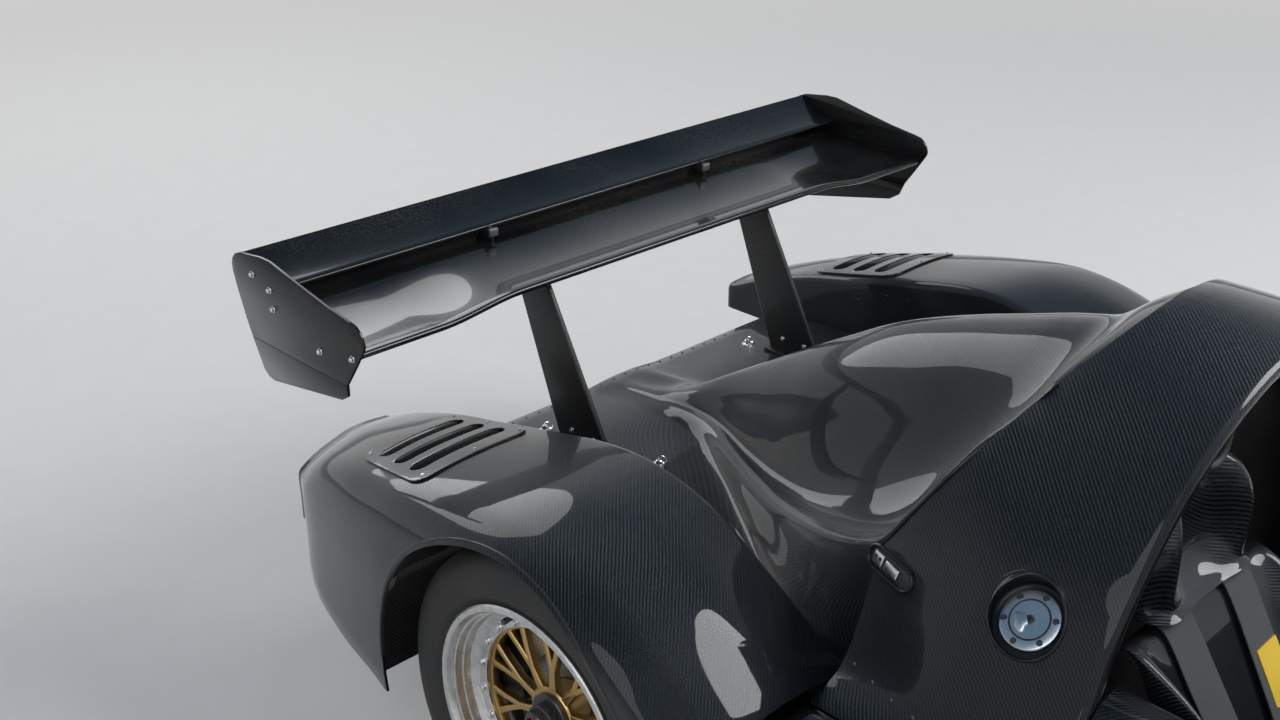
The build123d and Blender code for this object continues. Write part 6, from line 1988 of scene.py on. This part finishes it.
# %% Bolts, pins and rivets
end_bolts = []
for side in (-1, 1):
    for behind, z in ((729, 0.877), (676, 0.862), (670, 0.828), (532, 0.792), (436, 0.809)):
        end_bolts.append(facing((side * 0.7808, (REAR_AXLE + behind) * MM, z), (side, 0, 0), 0.3))
settle(
    copies(small_bolt(0.0050, 0.0042), "endplate_bolts", end_bolts), bright_metal, "chassis",
    angle=30.0
)


def pin():
    """A quick-release pin: a low cone, a button and a small split ring, on its own XY plane."""
    cone = turned(
        "pin",
        [
            (0.0003, 0), (0.0130, 0), (0.0125, 0.0016), (0.0070, 0.0030), (0.0062, 0.0080), (0.0040, 0.0100),
            (0.0003, 0.0102),
        ],
        (0, 0, 0), (0, 0, 1), 32
    )
    start_clean()
    bpy.ops.mesh.primitive_torus_add(
        location=(0.010, 0, 0.0065), rotation=(0.5, 0.1, 0), major_radius=0.0085, minor_radius=0.0010,
        major_segments=32, minor_segments=8
    )
    ring = bpy.context.object
    bpy.ops.object.transform_apply(location=True, rotation=True, scale=True)
    return joined([cone, ring], "pin")


pin_spots = []
for side in (-1, 1):
    for x, y in ((0.247, 1.515), (0.300, 1.778), (0.455, 1.395)):
        pin_spots.append(stood(rear_clam, (side * x, y, 1.2), (0, 0, -1), (1, 0, 0)))
settle(copies(pin(), "clam_pins", pin_spots), bright_metal, "chassis", angle=35.0)

rivets = []
for x in np.linspace(-0.455, 0.455, 27):
    rivets.append(stood(rear_clam, (x, 1.8590, 1.2), (0, 0, -1), (1, 0, 0)))
for side in (-1, 1):
    for y in np.linspace(0.700, 0.835, 4):
        rivets.append(stood(hoop_skin, (side * 1.2, y, 0.520), (-side, 0, 0), (0, 1, 0)))
start_clean()
bpy.ops.mesh.primitive_uv_sphere_add(segments=16, ring_count=10, radius=0.0030)
rivet = bpy.context.object
rivet.data.transform(Matrix.Diagonal((1.0, 1.0, 0.45, 1.0)))
settle(copies(rivet, "panel_rivets", rivets), dark_bolt, "chassis", angle=60.0)
pylon_bolts = []
for x in (-0.310, 0.310):
    for side in (-1, 1):
        for behind, z in ((498, 0.800), (540, 0.801), (352, 0.520), (412, 0.520)):
            pylon_bolts.append(facing((x + side * 0.0061, (REAR_AXLE + behind) * MM, z), (side, 0, 0), 0.2))
settle(
    copies(small_bolt(0.0042, 0.0036), "pylon_bolts", pylon_bolts), bright_metal, "chassis",
    angle=30.0
)
print("bolts:", len(end_bolts) + len(pylon_bolts), "rivets:", len(rivets), "pins:", len(pin_spots))

# %% [markdown]
# ## Louvre panels
# A louvre panel lets hot air out of the top of each rear fender. It is a rounded frame, screwed on,
# with long slots whose far edges turn down as slanted blades. A fine grid is laid on the fender by
# rays from above and given a wall. Then one flat shape trims its outline and others cut its slots.

# %% Helpers for patches that lie on a skin
def rounded(corners, radius, steps=8):
    """A polygon's outline with its corners rounded."""
    line = []
    count = len(corners)
    for i in range(count):
        before, at, after = (Vector(corners[(i + k) % count]).to_2d() for k in (-1, 0, 1))
        start = at + (before - at).normalized() * radius
        end = at + (after - at).normalized() * radius
        for t in np.linspace(0, 1, steps):
            line.append(start * (1 - t) ** 2 + at * 2 * t * (1 - t) + end * t**2)
    return [tuple(point) for point in line]


def upright(outline, low, high, name="cutter"):
    """A closed prism over an outline of (x, y)."""
    return plate(name, [(x, y, low) for x, y in outline], (0, 0, high - low))


def patch_on(skin, name, outline, lift, wall, rows=44, spread=0.004):
    """A sheet that lies on a skin, seen from above, and is trimmed to an outline."""
    xs, ys = [x for x, y in outline], [y for x, y in outline]
    grid = []
    for y in np.linspace(min(ys) - spread, max(ys) + spread, rows):
        line = []
        for x in np.linspace(min(xs) - spread, max(xs) + spread, rows):
            line.append((x, y, height_of(skin, x, y) + lift))
        grid.append(line)
    sheet = laid_grid(name, grid, (0, 0, 1))
    modify(sheet, "SOLIDIFY", thickness=wall, offset=1.0)
    modify(sheet, "BOOLEAN", operation="INTERSECT", solver="EXACT", object=upright(outline, 0.0, RAY_TOP))
    bpy.data.objects.remove(bpy.data.objects["cutter"], do_unlink=True)
    return sheet


# %% Louvre panels with slots, blades and screws
screws, blade_sets = [], []
for side in (-1, 1):
    skin = fender_skins["rear", side]
    back_of = REAR_AXLE * MM
    corners = [
        (side * 0.520, back_of + 0.290), (side * 0.772, back_of + 0.290), (side * 0.732, back_of + 0.512),
        (side * 0.520, back_of + 0.512),
    ]
    cover = patch_on(skin, f"louvre_cover_{SIDE_NAMES[side]}", rounded(corners, 0.034), 0.0006, 0.0034)
    for i in range(3):
        y = back_of + 0.345 + 0.058 * i
        outer = 0.751 - (y - back_of - 0.294) * 0.18
        long = outer - 0.541
        slot = [(side * (outer + 0.541) / 2.0 + px, y + py) for px, py in stadium(long, 0.034)]
        cut_away(cover, upright(slot, 0.3, 1.0))
        rows = []
        for t in np.linspace(0, 1, 9):
            row = []
            for u in np.linspace(0, 1, 13):
                x, at = side * (0.545 + (outer - 0.549) * u), y + 0.0160 - 0.033 * t
                row.append((x, at, height_of(skin, x, at) + 0.0026 - 0.017 * t**1.4))
            rows.append(row)
        slat = laid_grid("slat", rows, (0, 0, 1))
        modify(slat, "SOLIDIFY", thickness=0.0016, offset=-1.0)
        blade_sets.append(slat)
    soften(cover, 0.0009)
    settle(cover, louvre_black, "chassis", ["louvre_panels"] if side > 0 else [])
    for x, y in (
        (0.534, 0.307), (0.748, 0.305), (0.532, 0.497), (0.719, 0.496), (0.640, 0.300), (0.531, 0.403)
    ):
        screws.append(stood(cover, (side * x, back_of + y, RAY_TOP), (0, 0, -1), (1, 0, 0)))
    hole = rounded([(0.538, 0.324), (0.750, 0.324), (0.720, 0.482), (0.538, 0.482)], 0.012)
    opening = [(side * x, back_of + y) for x, y in hole]
    cut_away(skin, upright(opening, 0.45, 0.80))
settle(joined(blade_sets, "louvre_slats"), louvre_black, "chassis", angle=50.0)
settle(
    copies(small_bolt(0.0030, 0.0022), "louvre_screws", screws), bright_metal, "chassis",
    angle=30.0
)
print("louvre panels ready, slats:", len(blade_sets))

# %% [markdown]
# ## Headlamps
# Under a clear cover each front fender holds a tray with two round lamps. The fender's skin is cut
# open, the tray hangs below the opening, and each lamp is a spun reflector with a domed lens.

# %% Headlamp trays, lamps and covers
reflectors, lenses, trays = [], [], []
for side in (-1, 1):
    skin = fender_skins["front", side]
    ahead_of = FRONT_AXLE * MM
    corners = [
        (side * 0.536, ahead_of - 0.736), (side * 0.708, ahead_of - 0.736), (side * 0.724, ahead_of - 0.618),
        (side * 0.536, ahead_of - 0.618),
    ]
    outline = rounded(corners, 0.024)
    rows = []
    middle = Vector((side * 0.628, ahead_of - 0.677))
    for drop, share in (
        (0.0005, 1.000), (0.004, 0.985), (0.030, 0.945), (0.060, 0.900), (0.070, 0.860), (0.072, 0.70),
        (0.072, 0.35), (0.072, 0.02)
    ):
        row = []
        for x, y in outline + [outline[0]]:
            high = height_of(skin, x, y)
            low = high - drop if share > 0.9 else high * 0.35 + 0.65 * 0.345 - drop
            row.append((middle.x + (x - middle.x) * share, middle.y + (y - middle.y) * share, low))
        rows.append(row)
    tray = laid_grid("tray", rows, (0, 0, 1), loop=True)
    modify(tray, "SOLIDIFY", thickness=0.002, offset=-1.0)
    trays.append(tray)
    cover = patch_on(skin, f"lamp_cover_{SIDE_NAMES[side]}", outline, 0.0004, 0.0026, rows=30)
    soften(cover, 0.0007)
    settle(cover, lamp_clear, "chassis", ["headlamp_covers"] if side > 0 else [], angle=50.0)
    opening = [(middle.x + (x - middle.x) * 0.985, middle.y + (y - middle.y) * 0.985) for x, y in outline]
    cut_away(skin, upright(opening, 0.27, 0.80))
    for x in (0.588, 0.672):
        look = Vector((side * 0.06, -0.86, 0.50)).normalized()
        spot = (side * x, ahead_of - 0.664, 0.330)
        bowl_line = [
            (0.0365, 0.030), (0.0345, 0.0305), (0.0300, 0.018), (0.0210, 0.007), (0.0110, 0.002),
            (0.0003, 0.001), (0.0003, -0.002), (0.0140, 0.000), (0.0240, 0.005), (0.0330, 0.016),
            (0.0375, 0.028),
        ]
        reflectors.append(turned("reflector", bowl_line, spot, look, 48))
        lens_line = [
            (0.0003, 0.035), (0.0140, 0.0342), (0.0260, 0.0318), (0.0340, 0.0290), (0.0340, 0.0275),
            (0.0260, 0.0300), (0.0140, 0.0325), (0.0003, 0.0332),
        ]
        lenses.append(turned("lens", lens_line, spot, look, 48))
settle(joined(trays, "lamp_trays"), satin_black, "chassis", angle=40.0)
settle(joined(reflectors, "lamp_reflectors"), mirror_glass, "chassis", angle=40.0)
settle(joined(lenses, "lamp_lenses"), lamp_clear, "chassis", angle=50.0)
print("headlamps ready")

# %% [markdown]
# ## Mirrors
# A mirror is a small pod with a flat back, on a stalk that grows out of the front fender. The pod is
# a row of rounded sections that shrink towards the front, closed by the glass set in a lip.

# %% Mirror pods, stalks and glass
pods, stalks, glasses = [], [], []
for side in (-1, 1):
    middle = Vector((side * 0.640, -0.931, 0.700))
    rows = []
    for depth, across, up in (
        (0.0290, 0.0700, 0.0335), (0.0296, 0.0728, 0.0362), (0.0280, 0.0745, 0.0376), (0.0150, 0.0742, 0.0374),
        (-0.0020, 0.0715, 0.0356), (-0.0160, 0.0655, 0.0316), (-0.0250, 0.0560, 0.0262),
        (-0.0292, 0.0400, 0.0180), (-0.0298, 0.0150, 0.0070), (-0.0299, 0.0005, 0.0003)
    ):
        row = []
        for angle in np.linspace(0, 2 * pi, 49):
            c, s = cos(angle), sin(angle)
            row.append(middle + Vector((across * squared(c, 0.62), depth, up * squared(s, 0.62))))
        rows.append(row)
    pod = laid_grid("pod", rows, None, loop=True)
    modify(pod, "SOLIDIFY", thickness=0.0015, offset=-1.0)
    pods.append(pod)
    glass_line = []
    for angle in np.linspace(0, 2 * pi, 49)[:-1]:
        c, s = cos(angle), sin(angle)
        glass_line.append(middle + Vector((0.0700 * squared(c, 0.62), 0.0262, 0.0335 * squared(s, 0.62))))
    glasses.append(plate("glass", glass_line, (0, -0.003, 0)))
    foot, _ = on_skin(fender_skins["front", side], (side * 0.640, -0.931, RAY_TOP), (0, 0, -1))
    levels = [
        (foot.z - 0.0010, 1.60), (foot.z + 0.0035, 1.45), (foot.z + 0.009, 1.05), (foot.z + 0.022, 0.92),
        (0.658, 0.90), (0.672, 1.15),
    ]
    rows = []
    for z, share in levels:
        rows.append(
            [
                (side * 0.640 + 0.0068 * share * cos(a), -0.931 + 0.0130 * share * sin(a), z)
                for a in np.linspace(0, 2 * pi, 33)
            ]
        )
    stalks.append(close_ends(panel("stalk", rows, cuts=(1, 4), loop=True)))
settle(joined(pods, "mirror_pods"), seat_carbon, "chassis", ["mirrors"], angle=50.0)
settle(joined(stalks, "mirror_stalks"), satin_black, "chassis", angle=50.0)
settle(joined(glasses, "mirror_glasses"), mirror_glass, "chassis", angle=30.0)
print("mirrors ready")

# %% [markdown]
# ## Coolers, tail and small fittings
# Things that show only from low down or from behind: the cooler cores at the end of the sidepods'
# mouths, the rain light, the exhaust, the towing loop, the pedals and the fire bottle. Fins and
# other repeated parts are made once and copied.

# %% Cooler cores in the sidepods
fins, frames_of = [], []
for side in (-1, 1):
    middle_x, front_y = side * 0.718, -0.612
    fin_at = [Matrix.Translation((middle_x, front_y, z)) for z in np.linspace(0.176, 0.394, 30)]
    fins.append(
        copies(block("fin", (0.146, 0.020, 0.0016), (0, 0, 0), bevel=0.0003, segments=1), "fins", fin_at)
    )
    tube_at = [Matrix.Translation((middle_x + x, front_y, 0.285)) for x in np.linspace(-0.064, 0.064, 9)]
    fins.append(
        copies(
            block("flat_tube", (0.0030, 0.023, 0.222), (0, 0, 0), bevel=0.0006, segments=1),
            "tubes", tube_at,
        )
    )
    for x, z, wide, tall in (
        (0, 0.1735, 0.156, 0.007), (0, 0.3965, 0.156, 0.007), (-0.0765, 0.285, 0.006, 0.226),
        (0.0765, 0.285, 0.006, 0.226)
    ):
        frames_of.append(block("rail", (wide, 0.034, tall), (middle_x + x, front_y, z), bevel=0.0012))
settle(joined(fins, "cooler_cores"), cooler_fins, "chassis", angle=30.0)
settle(joined(frames_of, "cooler_frames"), satin_black, "chassis", angle=30.0)

# %% Rain light, exhaust and towing loop
TAIL = (REAR_AXLE + 236.0) * MM
light_case = block("rain_light_case", (0.120, 0.022, 0.072), (0.0, TAIL, 0.372), bevel=0.006, segments=4)
light_arm = block("arm", (0.030, 0.020, 0.020), (0.0, TAIL - 0.010, 0.350), bevel=0.002)
settle(
    joined([light_case, light_arm], "rain_light_case"),
    satin_black, "chassis", angle=30.0,
)
lamp_dots = [
    Matrix.Translation((x, TAIL + 0.0105, z)) for x in np.linspace(-0.045, 0.045, 7)
    for z in (0.350, 0.365, 0.380, 0.395)
]
dome = turned(
    "dome",
    [
        (0.0003, -0.001), (0.0056, -0.001), (0.0056, 0.0010), (0.0044, 0.0026), (0.0022, 0.0034),
        (0.0003, 0.0036)
    ],
    (0, 0, 0), (0, 1, 0), 20
)
settle(copies(dome, "rain_light_dots", lamp_dots), light_red, "chassis", angle=60.0)

pipe_line = [
    (0.185, 1.130, 0.350), (0.190, 1.260, 0.345), (0.205, 1.400, 0.332), (0.212, 1.520, 0.330),
    (0.212, 1.640, 0.330),
]
pipe = tube("exhaust_pipe", pipe_line, 0.0330, sides=32, cuts=6)
settle(pipe, bright_metal, "chassis", angle=50.0)
tip = turned(
    "exhaust_tip",
    [
        (0.0325, -0.020), (0.0370, -0.018), (0.0372, 0.030), (0.0362, 0.034), (0.0340, 0.034), (0.0325, 0.028),
        (0.0322, -0.010),
    ],
    (0.212, 1.642, 0.330), (0, 1, 0), 48
)
settle(tip, bright_metal, "chassis", angle=40.0)
# A black disc inside the tip hides the pipe's closed end and stands for its deep inside: painted shade, with
# the soot the real pipe has
inside = turned(
    "exhaust_shade_and_soot_disc", [(0.0003, 0.0012), (0.0325, 0.0012), (0.0325, -0.0010), (0.0003, -0.0010)],
    (0.212, 1.644, 0.330), (0, 1, 0), 48
)
settle(inside, dial_face, "chassis", angle=30.0)

loop_line = [
    (-0.090, 1.496, 0.265), (-0.090, 1.535, 0.262), (-0.104, 1.556, 0.262), (-0.120, 1.556, 0.262),
    (-0.134, 1.535, 0.262), (-0.134, 1.496, 0.265),
]
settle(tube("towing_loop", loop_line, 0.0055, sides=14), red_anodised, "chassis", angle=60.0)

ribs_of = [Matrix.Translation((0, y, 0.4215)) for y in np.linspace(1.180, 1.480, 11)]
settle(
    copies(block("rib", (0.236, 0.006, 0.012), (0, 0, 0), bevel=0.001), "gearbox_ribs", ribs_of), cast_metal,
    "chassis", angle=30.0
)
print("tail fittings ready")

# %% Pedals, fire bottle and shift lever
pedals = []
for x, width in ((-0.255, 0.060), (-0.180, 0.070), (-0.105, 0.052)):
    pedal_at = Matrix.Translation((x, -1.135, 0.290)) @ Matrix.Rotation(radians(-18), 4, "X")
    face_plate = block("pedal", (width, 0.006, 0.085), (0, 0, 0), bevel=0.002)
    face_plate.data.transform(pedal_at)
    pedals.append(face_plate)
    for z in (-0.024, -0.008, 0.008, 0.024):
        bar = block("grip_bar", (width * 0.86, 0.003, 0.005), (0, 0.0035, z), bevel=0.0008)
        bar.data.transform(pedal_at)
        pedals.append(bar)
    pedals.append(
        tube(
            "pedal_arm", [(x, -1.150, 0.094), (x, -1.156, 0.160), (x, -1.148, 0.235), (x, -1.139, 0.275)],
            0.0065, sides=12
        )
    )
settle(joined(pedals, "pedal_set"), bright_metal, "chassis", angle=40.0)

bottle = turned(
    "fire_bottle",
    [
        (0.0003, -0.155), (0.035, -0.155), (0.052, -0.148), (0.0575, -0.132), (0.0575, 0.110), (0.052, 0.132),
        (0.034, 0.150), (0.016, 0.157), (0.016, 0.170), (0.0003, 0.170),
    ],
    (0.385, 0.330, 0.1560), (0, -1, 0), 56,
)
settle(bottle, red_anodised, "chassis", angle=40.0)
straps = [
    turned(
        "bottle_strap", [(0.0575, -0.011), (0.0595, -0.010), (0.0595, 0.010), (0.0575, 0.011)],
        (0.385, y, 0.1560), (0, -1, 0), 56
    )
    for y in (0.250, 0.410)
]
straps += [block("bottle_foot", (0.090, 0.018, 0.012), (0.385, y, 0.0990), bevel=0.001) for y in (0.250, 0.410)]
settle(joined(straps, "bottle_straps"), satin_black, "chassis", angle=40.0)
lever_parts = [
    tube(
        "lever", [(-0.405, -0.060, 0.330), (-0.402, -0.062, 0.400), (-0.396, -0.066, 0.462)],
        [0.007, 0.006, 0.005], sides=12
    ),
    turned(
        "knob",
        [(0.0003, 0), (0.010, 0.001), (0.0155, 0.010), (0.0160, 0.020), (0.0120, 0.031), (0.0003, 0.034)],
        (-0.396, -0.066, 0.458), (0.05, 0, 1), 28
    ),
    block("lever_base", (0.036, 0.090, 0.020), (-0.4185, -0.060, 0.330), bevel=0.003),
]
settle(joined(lever_parts, "shift_lever"), satin_black, "chassis", angle=50.0)
print("cockpit fittings ready")

# %% [markdown]
# ## The parts that keep their solid's shape
# Some solids already have the shape of the real part: the flat floor, the tub, the arms of the
# suspension. They only get a finish, assigned to their material slots.

# %% Finishes for the solids that stay
kept_finishes = {
    "floor": structure_carbon, "tub": structure_carbon, "firewall": structure_carbon,
    "engine_and_gearbox": cast_metal, "rear_uprights": satin_black, "wishbones": satin_black,
    "knuckle_front_left": satin_black, "knuckle_front_right": satin_black,
}
for name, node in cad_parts.items():
    if node.hide_render:
        continue
    node.data.materials.clear()
    node.data.materials.append(kept_finishes[name])
print("solids that stay:", [name for name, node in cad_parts.items() if not node.hide_render])

# %% [markdown]
# ## The end
# The view layer is brought up to date, so that every piece stands at its final place. The dressed
# car must stay inside the box of its solids.

# %% The end
bpy.context.view_layer.update()
